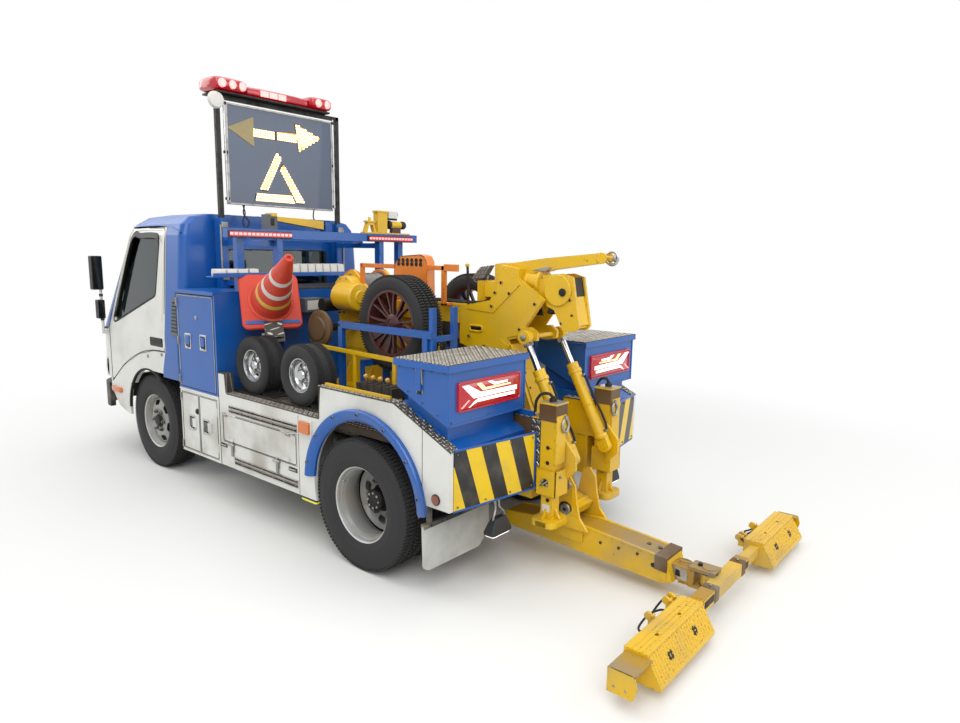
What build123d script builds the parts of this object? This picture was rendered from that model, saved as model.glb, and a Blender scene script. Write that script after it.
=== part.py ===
from build123d import *
from math import atan2, cos, degrees, hypot, radians, sin, sqrt
import os

os.makedirs("parts", exist_ok=True)

# Driving dimensions of the truck, in millimetres.
# X runs forward, Y to the truck's left and Z up, from the ground below the middle.
# Lengths along X are measured from the rear axle unless a name says otherwise.
WHEELBASE = 2600
FRONT_OVERHANG = 1045
REAR_REACH = 1745
REAR_AXLE_X = -(WHEELBASE + FRONT_OVERHANG - REAR_REACH) / 2
FRONT_END = WHEELBASE + FRONT_OVERHANG

# Wheels and tyres.
TYRE_R = 369
TYRE_W = 195
BEAD_W = 150
RIM_R = 218
BEAD_R = 204
RIM_GAUGE = 9
HUB_R = 95
HUB_BORE = 0.45
FRONT_TRACK_HALF = 721
TWIN_OUTER_Y = 833
TWIN_SPACING = 225
SEAT_FIT = 0.3
RUN_FIT = 0.05

# Chassis frame and running gear.
RAIL_Y = 320
RAIL_W = 60
RAIL_TOP = 680
RAIL_H = 180
RAIL_WALL = 8
RAIL_REAR = -640
RAIL_FRONT = 3400
SPRING_W = 60
SPRING_T = 36
AXLE_R = 52
KINGPIN_Y = 585
KINGPIN_R = 18

# Body of the load bed.
BODY_HALF = 928
SKIN_T = 25
BED_TOP = 795
BED_T = 40
BED_FRONT = 1934
ARCH_X = -30
ARCH_Z = 420
ARCH_R = 420
FLARE_W = 62
FLARE_PROUD = 30
DOOR_GAP = 5
HINGE_R = DOOR_GAP - SEAT_FIT

# Cab.
CAB_HALF = 847.5
CAB_REAR = 2060
CAB_WALL = 45
CAB_BELT = 1060
CAB_FRONT_CORNER = 290
CAB_REAR_CORNER = 60
CAB_BOTTOM = 640
CAB_FLOOR = 800
GLASS_INSET = 14
GLASS_T = 5
CAB_PIVOT = (3585, 605)
CAB_PIN_R = 12
BUMPER_Z = (380, 585)
BUMPER_T = 40
BUMPER_REAR = 3335
BUMPER_CORNER = 296

# Boom, mast and underlift.
BOOM_HALF = 100
BOOM_PLATE = 14
BOOM_PIVOT = (650, 1330)
BOOM_PIVOT_R = 30
BEAM_PIVOT = (-800, 330)
BEAM_PIVOT_R = 20
BEAM_HALF = 88
BEAM_SLOPE = 3.5
CYLINDER_Y = 170
BARREL_FOOT = (-865, 640)
ROD_EYE = (-530, 1268)
BARREL_R = 34
ROD_R = 18
SWIVEL_X = -1580
CROSSBAR_X = -1640
CROSSBAR_Z = 130
CROSSBAR_SIDE = 66
ARM_SIDE = 50
ARM_DRAWN = {"left": 40, "right": 200}
ARM_TIP = {"left": 1040, "right": 1100}
GRID_LENGTH = 550

# Legs.
LEG_X = -805
LEG_Y = 290
LEG_SIDE = 70
LEG_TUBE = 90
LEG_FOOT = 300

SIDES = (("left", 1), ("right", -1))


def side(y=0):
    """The plane of X and Z at one width, with its origin above the rear axle."""
    return Plane(origin=(REAR_AXLE_X, y, 0), x_dir=(1, 0, 0), z_dir=(0, -1, 0))


def level(z=0):
    """The plane of X and Y at one height, with its origin above the rear axle."""
    return Plane(origin=(REAR_AXLE_X, 0, z), x_dir=(1, 0, 0), z_dir=(0, 0, 1))


def station(x=0):
    """The plane of Y and Z at one distance ahead of the rear axle."""
    return Plane(origin=(REAR_AXLE_X + x, 0, 0), x_dir=(0, 1, 0), z_dir=(1, 0, 0))


def block(x, y, z, mode=Mode.ADD):
    """A box between two ends along each axis, whichever end comes first."""
    centre = (REAR_AXLE_X + sum(x) / 2, sum(y) / 2, sum(z) / 2)
    with Locations(centre):
        Box(abs(x[1] - x[0]), abs(y[1] - y[0]), abs(z[1] - z[0]), mode=mode)


def slab(points, y, mode=Mode.ADD, corner=0):
    """A plate of an outline in X and Z between two widths."""
    with BuildSketch(side(max(y)), mode=Mode.PRIVATE) as outline:
        with BuildLine():
            Polyline(*points, close=True)
        make_face()
        if corner:
            fillet(outline.vertices(), corner)
    extrude(outline.sketch, amount=abs(y[1] - y[0]), mode=mode)


def sheet(points, z, mode=Mode.ADD, corner=0):
    """A plate of an outline in X and Y between two heights."""
    with BuildSketch(level(min(z)), mode=Mode.PRIVATE) as outline:
        with BuildLine():
            Polyline(*points, close=True)
        make_face()
        if corner:
            fillet(outline.vertices(), corner)
    extrude(outline.sketch, amount=abs(z[1] - z[0]), mode=mode)


def across(x, z, radius, y, mode=Mode.ADD):
    """A round bar or bore along Y between two widths."""
    with Locations(Location((REAR_AXLE_X + x, sum(y) / 2, z), (90, 0, 0))):
        Cylinder(radius, abs(y[1] - y[0]), mode=mode)


def upright(x, y, radius, z, mode=Mode.ADD):
    """A round bar or bore along Z between two heights."""
    with Locations((REAR_AXLE_X + x, y, sum(z) / 2)):
        Cylinder(radius, abs(z[1] - z[0]), mode=mode)


def lengthways(y, z, radius, x, mode=Mode.ADD):
    """A round bar or bore along X between two places."""
    with Locations(Location((REAR_AXLE_X + sum(x) / 2, y, z), (0, 90, 0))):
        Cylinder(radius, abs(x[1] - x[0]), mode=mode)


def turned(profile, x, y, z, mode=Mode.ADD):
    """A ring about an axis along Y, from its section as (radius, width) points."""
    plane = Plane(origin=(REAR_AXLE_X + x, y, z), x_dir=(1, 0, 0), z_dir=(0, 0, 1))
    with BuildSketch(plane, mode=Mode.PRIVATE) as section:
        with BuildLine():
            Polyline(*profile, close=True)
        make_face()
    revolve(section.sketch, axis=Axis(plane.origin, (0, 1, 0)), mode=mode)


def tyre_section(radius, width, bead_radius, bead_width):
    """A tyre's section as (radius, width) points, from one bead round to the other."""
    wall = radius - bead_radius
    half = (
        (bead_radius, bead_width / 2),
        (bead_radius + 0.15 * wall, bead_width / 2),
        (bead_radius + 0.42 * wall, width / 2),
        (bead_radius + 0.75 * wall, width / 2 - 3),
        (radius - 0.03 * wall, 0.40 * width),
        (radius, 0.34 * width),
    )
    return half + tuple((r, -w) for r, w in reversed(half))


def rim_section(bead_radius, flange_radius, bead_width, gauge, disc_at, hub_radius):
    """A wheel's section: its barrel with two flanges, and a disc out at one width."""
    edge = bead_width / 2 + SEAT_FIT
    return (
        (bead_radius - SEAT_FIT, -edge),
        (flange_radius, -edge),
        (flange_radius, -edge - gauge),
        (bead_radius - gauge, -edge - gauge),
        (bead_radius - gauge, disc_at - gauge),
        (hub_radius * 1.6, disc_at - gauge),
        (hub_radius * 1.2, disc_at),
        (hub_radius * HUB_BORE, disc_at),
        (hub_radius * HUB_BORE, disc_at + gauge),
        (hub_radius * 1.25, disc_at + gauge),
        (hub_radius * 1.65, disc_at),
        (bead_radius - gauge, disc_at),
        (bead_radius - gauge, edge + gauge),
        (flange_radius, edge + gauge),
        (flange_radius, edge),
        (bead_radius - SEAT_FIT, edge),
    )


# Ladder frame: two channel rails, the members between them, the bumper and the engine's mounts.
ENGINE = ((2300, 2930), (-RAIL_Y + RAIL_W, RAIL_Y - RAIL_W), (470, 980))
ENGINE_MOUNTS = (2360, 2790)
CROSS_MEMBERS = (3300, 2150, 1350, 1000, 420, -250)
MEMBER_TOP = RAIL_TOP - RAIL_WALL - 10
with BuildPart() as chassis_frame:
    for name, hand in SIDES:
        inner = hand * (RAIL_Y - RAIL_W / 2)
        outer = hand * (RAIL_Y + RAIL_W / 2)
        block((RAIL_REAR, RAIL_FRONT), (inner, outer), (RAIL_TOP - RAIL_H, RAIL_TOP))
        channel_floor = RAIL_TOP - RAIL_H + RAIL_WALL
        block(
            (RAIL_REAR, RAIL_FRONT), (inner, outer - hand * RAIL_WALL),
            (channel_floor, RAIL_TOP - RAIL_WALL), mode=Mode.SUBTRACT,
        )
    for member in CROSS_MEMBERS:
        block(
            (member - 45, member + 45), (-RAIL_Y - RAIL_W / 2 + 1, RAIL_Y + RAIL_W / 2 - 1),
            (RAIL_TOP - RAIL_H + 30, MEMBER_TOP),
        )
    for name, hand in SIDES:
        slab(
            (
                (RAIL_FRONT - 150, RAIL_TOP - RAIL_H + 10), (RAIL_FRONT - 150, RAIL_TOP - 10),
                (RAIL_FRONT, RAIL_TOP - 20), (CAB_PIVOT[0] - 15, CAB_PIVOT[1] + 19),
                (CAB_PIVOT[0] + 15, CAB_PIVOT[1] + 12), (CAB_PIVOT[0] + 15, CAB_PIVOT[1] - 12),
                (CAB_PIVOT[0] - 10, CAB_PIVOT[1] - 17), (CAB_PIVOT[0] - 100, CAB_PIVOT[1] - 60),
            ),
            (hand * (RAIL_Y + RAIL_W / 2 - 18), hand * (RAIL_Y + RAIL_W / 2)),
        )
        across(CAB_PIVOT[0], CAB_PIVOT[1], CAB_PIN_R,
               (hand * (RAIL_Y - RAIL_W / 2), hand * (RAIL_Y + RAIL_W / 2)))
        block((RAIL_FRONT - 120, FRONT_END - BUMPER_T + 1),
              (hand * (RAIL_Y - RAIL_W / 2), hand * (RAIL_Y - 14)), (RAIL_TOP - RAIL_H, 560))
        for member in ENGINE_MOUNTS:
            block((member, member + 80), (hand * (ENGINE[1][1] + SEAT_FIT), hand * (RAIL_Y + 1)),
                  (RAIL_TOP - RAIL_H, RAIL_TOP - RAIL_H + 60))
    bumper_half = CAB_HALF + 5
    with BuildSketch(level(BUMPER_Z[0]), mode=Mode.PRIVATE) as bumper:
        for inset, shape_mode in ((0, Mode.ADD), (BUMPER_T, Mode.SUBTRACT)):
            front = (FRONT_END - inset, bumper_half - inset, BUMPER_CORNER - inset)
            with BuildLine():
                Line((BUMPER_REAR, -front[1]), (front[0] - front[2], -front[1]))
                RadiusArc((front[0] - front[2], -front[1]), (front[0], front[2] - front[1]), -front[2])
                Line((front[0], front[2] - front[1]), (front[0], front[1] - front[2]))
                RadiusArc((front[0], front[1] - front[2]), (front[0] - front[2], front[1]), -front[2])
                Line((front[0] - front[2], front[1]), (BUMPER_REAR, front[1]))
                Line((BUMPER_REAR, front[1]), (BUMPER_REAR, -front[1]))
            make_face(mode=shape_mode)
    extrude(bumper.sketch, amount=BUMPER_Z[1] - BUMPER_Z[0])
chassis_frame.part.label = "chassis_frame"
export_step(chassis_frame.part, "parts/chassis_frame.step")

# Engine, as one plain block on the frame's front members.
with BuildPart() as engine_block:
    block(*ENGINE)
engine_block.part.label = "engine_block"
export_step(engine_block.part, "parts/engine_block.step")

# Rear axle: housing, tube, springs and the shaft up to the engine.
SPRING_HALF = 560
with BuildPart() as rear_axle:
    tube_end = TWIN_OUTER_Y - TWIN_SPACING - 20
    across(0, TYRE_R, AXLE_R, (-tube_end, tube_end))
    with Locations((REAR_AXLE_X, 0, TYRE_R)):
        Sphere(140)
    lengthways(0, TYRE_R + 10, 62, (0, 190))
    lift = RAIL_TOP - RAIL_H - TYRE_R
    shaft = (150, ENGINE[0][0] - 60)
    slope = degrees(atan2(lift - 20, shaft[1] - shaft[0]))
    shaft_place = (REAR_AXLE_X + sum(shaft) / 2, 0, TYRE_R + lift / 2)
    with Locations(Location(shaft_place, (0, 90 - slope, 0))):
        Cylinder(36, shaft[1] - shaft[0])
    for name, hand in SIDES:
        spring = (hand * (RAIL_Y - SPRING_W / 2), hand * (RAIL_Y + SPRING_W / 2))
        slab(
            (
                (-SPRING_HALF, RAIL_TOP - RAIL_H - SEAT_FIT),
                (-SPRING_HALF, RAIL_TOP - RAIL_H - 40),
                (0, TYRE_R + AXLE_R - 6), (SPRING_HALF, RAIL_TOP - RAIL_H - 40),
                (SPRING_HALF, RAIL_TOP - RAIL_H - SEAT_FIT),
                (SPRING_HALF - 50, RAIL_TOP - RAIL_H - SEAT_FIT),
                (SPRING_HALF - 60, RAIL_TOP - RAIL_H - 28),
                (0, TYRE_R + AXLE_R + SPRING_T), (60 - SPRING_HALF, RAIL_TOP - RAIL_H - 28),
                (50 - SPRING_HALF, RAIL_TOP - RAIL_H - SEAT_FIT),
            ),
            spring,
        )
rear_axle.part.label = "rear_axle"
export_step(rear_axle.part, "parts/rear_axle.step")

# Front axle: a beam between the kingpins, on two leaf springs.
FRONT_SPRING_HALF = 520
BEAM_END = KINGPIN_Y + 32
KNUCKLE_JAW = 46
with BuildPart() as front_axle:
    block((WHEELBASE - 38, WHEELBASE + 38), (-BEAM_END + 40, BEAM_END - 40),
          (TYRE_R - 38, TYRE_R + 38))
    block((WHEELBASE - 38, WHEELBASE - 12), (-KINGPIN_Y + 90, KINGPIN_Y - 90),
          (TYRE_R - 24, TYRE_R + 24), mode=Mode.SUBTRACT)
    block((WHEELBASE + 12, WHEELBASE + 38), (-KINGPIN_Y + 90, KINGPIN_Y - 90),
          (TYRE_R - 24, TYRE_R + 24), mode=Mode.SUBTRACT)
    for name, hand in SIDES:
        upright(WHEELBASE, hand * KINGPIN_Y, 30, (TYRE_R - 38, TYRE_R + 38))
        upright(WHEELBASE, hand * KINGPIN_Y, KINGPIN_R, (TYRE_R - 90, TYRE_R + 90))
        spring = (hand * (RAIL_Y - SPRING_W / 2), hand * (RAIL_Y + SPRING_W / 2))
        slab(
            (
                (WHEELBASE - FRONT_SPRING_HALF, RAIL_TOP - RAIL_H - SEAT_FIT),
                (WHEELBASE - FRONT_SPRING_HALF, RAIL_TOP - RAIL_H - 40),
                (WHEELBASE, TYRE_R + 32), (WHEELBASE + FRONT_SPRING_HALF, RAIL_TOP - RAIL_H - 40),
                (WHEELBASE + FRONT_SPRING_HALF, RAIL_TOP - RAIL_H - SEAT_FIT),
                (WHEELBASE + FRONT_SPRING_HALF - 50, RAIL_TOP - RAIL_H - SEAT_FIT),
                (WHEELBASE + FRONT_SPRING_HALF - 60, RAIL_TOP - RAIL_H - 28),
                (WHEELBASE, TYRE_R + 32 + SPRING_T),
                (WHEELBASE - FRONT_SPRING_HALF + 60, RAIL_TOP - RAIL_H - 28),
                (WHEELBASE - FRONT_SPRING_HALF + 50, RAIL_TOP - RAIL_H - SEAT_FIT),
            ),
            spring,
        )
front_axle.part.label = "front_axle"
export_step(front_axle.part, "parts/front_axle.step")

# Knuckles: a jaw about each kingpin, with the stub axle and brake drum outside it.
DRUM_R = 150
for name, hand in SIDES:
    with BuildPart() as knuckle:
        jaw_in = hand * (KINGPIN_Y - 34)
        jaw_out = hand * (KINGPIN_Y + 58)
        block((WHEELBASE - 34, WHEELBASE + 34), (jaw_in, jaw_out), (TYRE_R - 82, TYRE_R + 82))
        block((WHEELBASE - 40, WHEELBASE + 40), (jaw_in, hand * (KINGPIN_Y + 38)),
              (TYRE_R - KNUCKLE_JAW, TYRE_R + KNUCKLE_JAW), mode=Mode.SUBTRACT)
        upright(WHEELBASE, hand * KINGPIN_Y, KINGPIN_R + RUN_FIT, (0, 2 * TYRE_R),
                mode=Mode.SUBTRACT)
        across(WHEELBASE, TYRE_R, DRUM_R,
               (hand * (KINGPIN_Y + 50), hand * (FRONT_TRACK_HALF - 40)))
        across(WHEELBASE, TYRE_R, HUB_R * HUB_BORE - RUN_FIT,
               (hand * (KINGPIN_Y + 50), hand * (FRONT_TRACK_HALF + 70)))
    knuckle.part.label = f"knuckle_{name}"
    export_step(knuckle.part, f"parts/knuckle_{name}.step")

# Road wheels: one outside disc at the front, two dished discs back to back behind.
DISC_OUT = 30
for name, hand in SIDES:
    for place, x, widths in (
        ("front", WHEELBASE, ((FRONT_TRACK_HALF, DISC_OUT),)),
        ("rear", 0, ((TWIN_OUTER_Y, -TWIN_SPACING / 2), (TWIN_OUTER_Y - TWIN_SPACING, TWIN_SPACING / 2))),
    ):
        with BuildPart() as tyre:
            for width, disc_at in widths:
                turned(tyre_section(TYRE_R, TYRE_W, BEAD_R, BEAD_W), x, hand * width, TYRE_R)
        tyre.part.label = f"tyre_{place}_{name}"
        export_step(tyre.part, f"parts/tyre_{place}_{name}.step")
        with BuildPart() as rim:
            for width, disc_at in widths:
                at = max(-BEAD_W / 2 + 6, min(BEAD_W / 2 - 6, disc_at))
                section = rim_section(BEAD_R, RIM_R, BEAD_W, RIM_GAUGE, at, HUB_R)
                turned(tuple((r, hand * w) for r, w in section), x, hand * width, TYRE_R)
            if place == "rear":
                gap = (TWIN_SPACING - BEAD_W) / 2
                middle = TWIN_OUTER_Y - TWIN_SPACING / 2
                across(x, TYRE_R, HUB_R, (hand * (middle - gap - 4), hand * (middle + gap + 4)))
                across(x, TYRE_R, HUB_R * 0.7, (hand * (middle - 150), hand * (middle + 60)))
                across(x, TYRE_R, AXLE_R + RUN_FIT, (hand * (middle - 151), hand * (middle - 90)),
                       mode=Mode.SUBTRACT)
            with Locations(Location((REAR_AXLE_X + x, hand * widths[0][0], TYRE_R), (90, 0, 0))):
                with PolarLocations((BEAD_R + HUB_R * 1.65) / 2 - 4, 6):
                    Cylinder(15, 4 * BEAD_W, mode=Mode.SUBTRACT)
        rim.part.label = f"rim_{place}_{name}"
        export_step(rim.part, f"parts/rim_{place}_{name}.step")

# Lockers behind the cab: where they stand.
LOCKER_X = (1414, BED_FRONT)
LOCKER_INNER = 500

# Bed floor: a plate on bearers along the rails, open in the middle for the mast.
MAST_WELL = 265
WELL_FRONT = 1165
SIDE_INNER = BODY_HALF - SKIN_T
BED_REAR = -270
with BuildPart() as bed_floor:
    block((BED_REAR, BED_FRONT), (-SIDE_INNER + 1, SIDE_INNER - 1), (BED_TOP - BED_T, BED_TOP))
    block((BED_REAR - 1, WELL_FRONT), (-MAST_WELL, MAST_WELL), (0, 2000), mode=Mode.SUBTRACT)
    for name, hand in SIDES:
        block((LOCKER_X[0], LOCKER_X[1] + 1), (hand * LOCKER_INNER, hand * (BODY_HALF + 1)),
              (0, 2000), mode=Mode.SUBTRACT)
    for name, hand in SIDES:
        block((BED_REAR, BED_FRONT), (hand * 275, hand * 345), (RAIL_TOP, BED_TOP - BED_T))
bed_floor.part.label = "bed_floor"
export_step(bed_floor.part, "parts/bed_floor.step")

# Side panels: the white skins, each with a low box behind its flap.
POST_FRONT = 1405
POST_TOP = 920
RECESS = (335, 1318)
PANEL_TOP = 980
PANEL_KNEE = BED_REAR
TAIL_X = -660
TAIL_TOP = 800
TAIL_BOTTOM = 500
PANEL_BOTTOM = 300
FLAP_X = (555, 1370)
FLAP_Z = (470, 655)
FLAP_BOX_DEPTH = 230
PANEL_OUTLINE = (
    (POST_FRONT, PANEL_BOTTOM), (POST_FRONT, POST_TOP), (RECESS[1] + 12, POST_TOP),
    (RECESS[1], BED_TOP), (RECESS[0], BED_TOP), (RECESS[0] - 16, PANEL_TOP),
    (PANEL_KNEE, PANEL_TOP), (TAIL_X, TAIL_TOP), (TAIL_X, TAIL_BOTTOM),
    (ARCH_X - ARCH_R, TAIL_BOTTOM), (ARCH_X - ARCH_R, PANEL_BOTTOM),
)
with BuildPart() as side_panels:
    for name, hand in SIDES:
        skin = (hand * SIDE_INNER, hand * BODY_HALF)
        slab(PANEL_OUTLINE, skin)
        across(ARCH_X, ARCH_Z, ARCH_R, skin, mode=Mode.SUBTRACT)
        block((ARCH_X - ARCH_R - 1, ARCH_X + ARCH_R - 25), skin, (0, ARCH_Z), mode=Mode.SUBTRACT)
        box_x = (FLAP_X[0] - 20, FLAP_X[1] + 20)
        box_z = (FLAP_Z[0] - 20, FLAP_Z[1] + 20)
        deep = SIDE_INNER - FLAP_BOX_DEPTH
        block(box_x, (hand * deep, hand * SIDE_INNER), box_z)
        block((FLAP_X[0] - 5, FLAP_X[1] + 5), (hand * (deep + 15), hand * BODY_HALF),
              (FLAP_Z[0] - 5, FLAP_Z[1] + 5), mode=Mode.SUBTRACT)
side_panels.part.label = "side_panels"
export_step(side_panels.part, "parts/side_panels.step")

# Flaps of the low boxes, hung from their top edges.
for name, hand in SIDES:
    with BuildPart() as flap:
        block(FLAP_X, (hand * (BODY_HALF - 20), hand * BODY_HALF), FLAP_Z)
        for along in (0.12, 0.88):
            place = FLAP_X[0] + along * (FLAP_X[1] - FLAP_X[0])
            block((place - 30, place + 30), (hand * BODY_HALF, hand * (BODY_HALF + 12)),
                  (FLAP_Z[0] + 12, FLAP_Z[0] + 34))
            lengthways(hand * BODY_HALF, FLAP_Z[1], HINGE_R, (place - 60, place + 60))
    flap.part.label = f"side_flap_{name}"
    export_step(flap.part, f"parts/side_flap_{name}.step")

# Arch guards: a flare round each arch and a mud flap behind each pair of wheels.
MUD_FLAP = ((-462, -450), (380, 907), (125, 375))
with BuildPart() as arch_guards:
    for name, hand in SIDES:
        flare = (hand * BODY_HALF, hand * (BODY_HALF + FLARE_PROUD))
        across(ARCH_X, ARCH_Z, ARCH_R + FLARE_W, flare)
        across(ARCH_X, ARCH_Z, ARCH_R, flare, mode=Mode.SUBTRACT)
        block((-900, 900), flare, (-200, ARCH_Z + 40), mode=Mode.SUBTRACT)
    for name, hand in SIDES:
        block(MUD_FLAP[0], (hand * MUD_FLAP[1][0], hand * MUD_FLAP[1][1]), MUD_FLAP[2])
        block((-500, -440), (hand * 350, hand * SIDE_INNER), (MUD_FLAP[2][1], MUD_FLAP[2][1] + 30))
        block((-475, -455), (hand * 350, hand * 385), (MUD_FLAP[2][1], RAIL_TOP - RAIL_H + 60))
arch_guards.part.label = "arch_guards"
export_step(arch_guards.part, "parts/arch_guards.step")

# Lockers behind the cab: a tall blue one over a low white one on each side.
LOCKER_WALL = 20
TALL_Z = (750, 1439)
LOW_Z = (298, 750)
DOOR_T = 22
LOCKER_FRAME = 18


def locker(z):
    """The carcass of a locker on each side, open at its outer face."""
    for name, hand in SIDES:
        block(LOCKER_X, (hand * LOCKER_INNER, hand * BODY_HALF), z)
        block(
            (LOCKER_X[0] + LOCKER_FRAME, LOCKER_X[1] - LOCKER_FRAME),
            (hand * (LOCKER_INNER + LOCKER_WALL), hand * (BODY_HALF + 1)),
            (z[0] + LOCKER_FRAME, z[1] - LOCKER_FRAME), mode=Mode.SUBTRACT,
        )


with BuildPart() as lockers:
    locker(TALL_Z)
    locker(LOW_Z)
lockers.part.label = "lockers"
export_step(lockers.part, "parts/lockers.step")

# Locker doors: one tall leaf each side, and two narrow leaves on each low locker.
LEAF_X = (LOCKER_X[0] + LOCKER_FRAME + DOOR_GAP, LOCKER_X[1] - LOCKER_FRAME - DOOR_GAP)
LEAF_MIDDLE = sum(LEAF_X) / 2
LATCH = (46, 60, 9)
LEAVES = (
    # title, span, height, latches, hinge
    ("tall_door", LEAF_X, TALL_Z, ((0.30, 0.52), (0.72, 0.52)), LEAF_X[1]),
    ("low_door_front", (LEAF_MIDDLE + DOOR_GAP / 2, LEAF_X[1]), LOW_Z, ((0.28, 0.50),), LEAF_X[1]),
    ("low_door_rear", (LEAF_X[0], LEAF_MIDDLE - DOOR_GAP / 2), LOW_Z, ((0.42, 0.50),), LEAF_X[0]),
)
for name, hand in SIDES:
    for title, span, height, latches, hinge in LEAVES:
        low = height[0] + LOCKER_FRAME + DOOR_GAP
        high = height[1] - LOCKER_FRAME - DOOR_GAP
        with BuildPart() as leaf:
            block(span, (hand * (BODY_HALF - DOOR_T), hand * BODY_HALF), (low, high))
            for along, up in latches:
                at = span[0] + along * (span[1] - span[0])
                rise = low + up * (high - low)
                block((at - LATCH[0] / 2, at + LATCH[0] / 2),
                      (hand * BODY_HALF, hand * (BODY_HALF + LATCH[2])),
                      (rise - LATCH[1] / 2, rise + LATCH[1] / 2))
            for up in (low + 50, high - 110):
                upright(hinge, hand * BODY_HALF, HINGE_R, (up, up + 60))
        leaf.part.label = f"{title}_{name}"
        export_step(leaf.part, f"parts/{title}_{name}.step")

# Tool boxes over the tail, each open at the top under its lid.
TOOL_X = (-628, -280)
TOOL_Y = (304, 907)
TOOL_TOP = 1193
TOOL_LOW = (906, 1062)
TOOL_WALL = 16
LID_T = 14
LID_LAP = 12
LID_GAP = 2
LID_HINGE = 7
with BuildPart() as tool_boxes:
    for name, hand in SIDES:
        slab(
            ((TOOL_X[0], TOOL_LOW[0]), (TOOL_X[1], TOOL_LOW[1]),
             (TOOL_X[1], TOOL_TOP), (TOOL_X[0], TOOL_TOP)),
            (hand * TOOL_Y[0], hand * TOOL_Y[1]),
        )
        slab(
            ((TOOL_X[0] + TOOL_WALL, TOOL_LOW[0] + 1.6 * TOOL_WALL),
             (TOOL_X[1] - TOOL_WALL, TOOL_LOW[1] + 0.8 * TOOL_WALL),
             (TOOL_X[1] - TOOL_WALL, TOOL_TOP + 1), (TOOL_X[0] + TOOL_WALL, TOOL_TOP + 1)),
            (hand * (TOOL_Y[0] + TOOL_WALL), hand * (TOOL_Y[1] - TOOL_WALL)),
            mode=Mode.SUBTRACT,
        )
tool_boxes.part.label = "tool_boxes"
export_step(tool_boxes.part, "parts/tool_boxes.step")
for name, hand in SIDES:
    with BuildPart() as lid:
        lid_x = (TOOL_X[0] - LID_LAP, TOOL_X[1] + LID_LAP)
        lid_y = (hand * (TOOL_Y[0] - LID_LAP), hand * (TOOL_Y[1] + LID_LAP))
        block(lid_x, lid_y, (TOOL_TOP + LID_GAP, TOOL_TOP + LID_T))
        block((-454, -420), (hand * (TOOL_Y[1] + LID_GAP), hand * (TOOL_Y[1] + LID_LAP)),
              (TOOL_TOP - 130, TOOL_TOP + LID_GAP))
        for x in (TOOL_X[0] + 30, TOOL_X[1] - 110):
            lengthways(hand * (TOOL_Y[0] - LID_HINGE), TOOL_TOP + LID_GAP, LID_HINGE - SEAT_FIT, (x, x + 80))
    lid.part.label = f"tool_lid_{name}"
    export_step(lid.part, f"parts/tool_lid_{name}.step")

# Rear panels: the sloped deck under each tool box and the angled striped board below.
BOARD_Z = (500, 800)
BOARD_OUT = (TAIL_X, SIDE_INNER - 2)
BOARD_IN = (-745, 345)
BOARD_T = 20
PLINTH_INSET = 40
with BuildPart() as rear_panels:
    for name, hand in SIDES:
        deck = (hand * 300, hand * (SIDE_INNER - SEAT_FIT))
        slab(
            ((BED_REAR - 1, PANEL_TOP), (BED_REAR - 1, PANEL_TOP - 60), (TAIL_X, TAIL_TOP - 60),
             (TAIL_X, TAIL_TOP)),
            deck,
        )
        slab(
            ((TOOL_X[1] - PLINTH_INSET, PANEL_TOP - 40), (TOOL_X[0] + PLINTH_INSET, TAIL_TOP),
             (TOOL_X[0] + PLINTH_INSET, TOOL_LOW[0] + 17.9 - SEAT_FIT),
             (TOOL_X[1] - PLINTH_INSET, TOOL_LOW[1] - 17.9 - SEAT_FIT)),
            (hand * (TOOL_Y[0] + PLINTH_INSET), hand * (TOOL_Y[1] - PLINTH_INSET)),
        )
        sheet(
            ((BOARD_OUT[0] + 2, hand * BOARD_OUT[1]), (BOARD_IN[0], hand * BOARD_IN[1]),
             (BOARD_IN[0] + BOARD_T, hand * BOARD_IN[1]),
             (BOARD_OUT[0] + BOARD_T, hand * BOARD_OUT[1])),
            BOARD_Z,
        )
        sheet(
            ((BOARD_OUT[0] + 2, hand * BOARD_OUT[1]), (BOARD_IN[0], hand * BOARD_IN[1]),
             (BOARD_IN[0], hand * 300), (-400, hand * 300), (-400, hand * BOARD_OUT[1])),
            (TAIL_TOP - 60, TAIL_TOP - 40),
        )
        block((-700, BED_REAR - 1), (hand * 300, hand * 316), (RAIL_TOP, PANEL_TOP - 80))
rear_panels.part.label = "rear_panels"
export_step(rear_panels.part, "parts/rear_panels.step")

# Lamps on the load bed: tail clusters, side lamps and work lamps.
TAIL_LAMP_Y = (360, 850)
TAIL_LAMP_Z = (970, 1120)
with BuildPart() as bed_lamps:
    for name, hand in SIDES:
        block((TOOL_X[0] - 24, TOOL_X[0]), (hand * TAIL_LAMP_Y[0], hand * TAIL_LAMP_Y[1]), TAIL_LAMP_Z)
        block((404, 514), (hand * BODY_HALF, hand * (BODY_HALF + 22)), (681, 761))
        block((380, 533), (hand * (BODY_HALF - 60), hand * BODY_HALF), (270, PANEL_BOTTOM))
        across(-571, 546, 32, (hand * BODY_HALF, hand * (BODY_HALF + 10)))
bed_lamps.part.label = "bed_lamps"
export_step(bed_lamps.part, "parts/bed_lamps.step")

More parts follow.
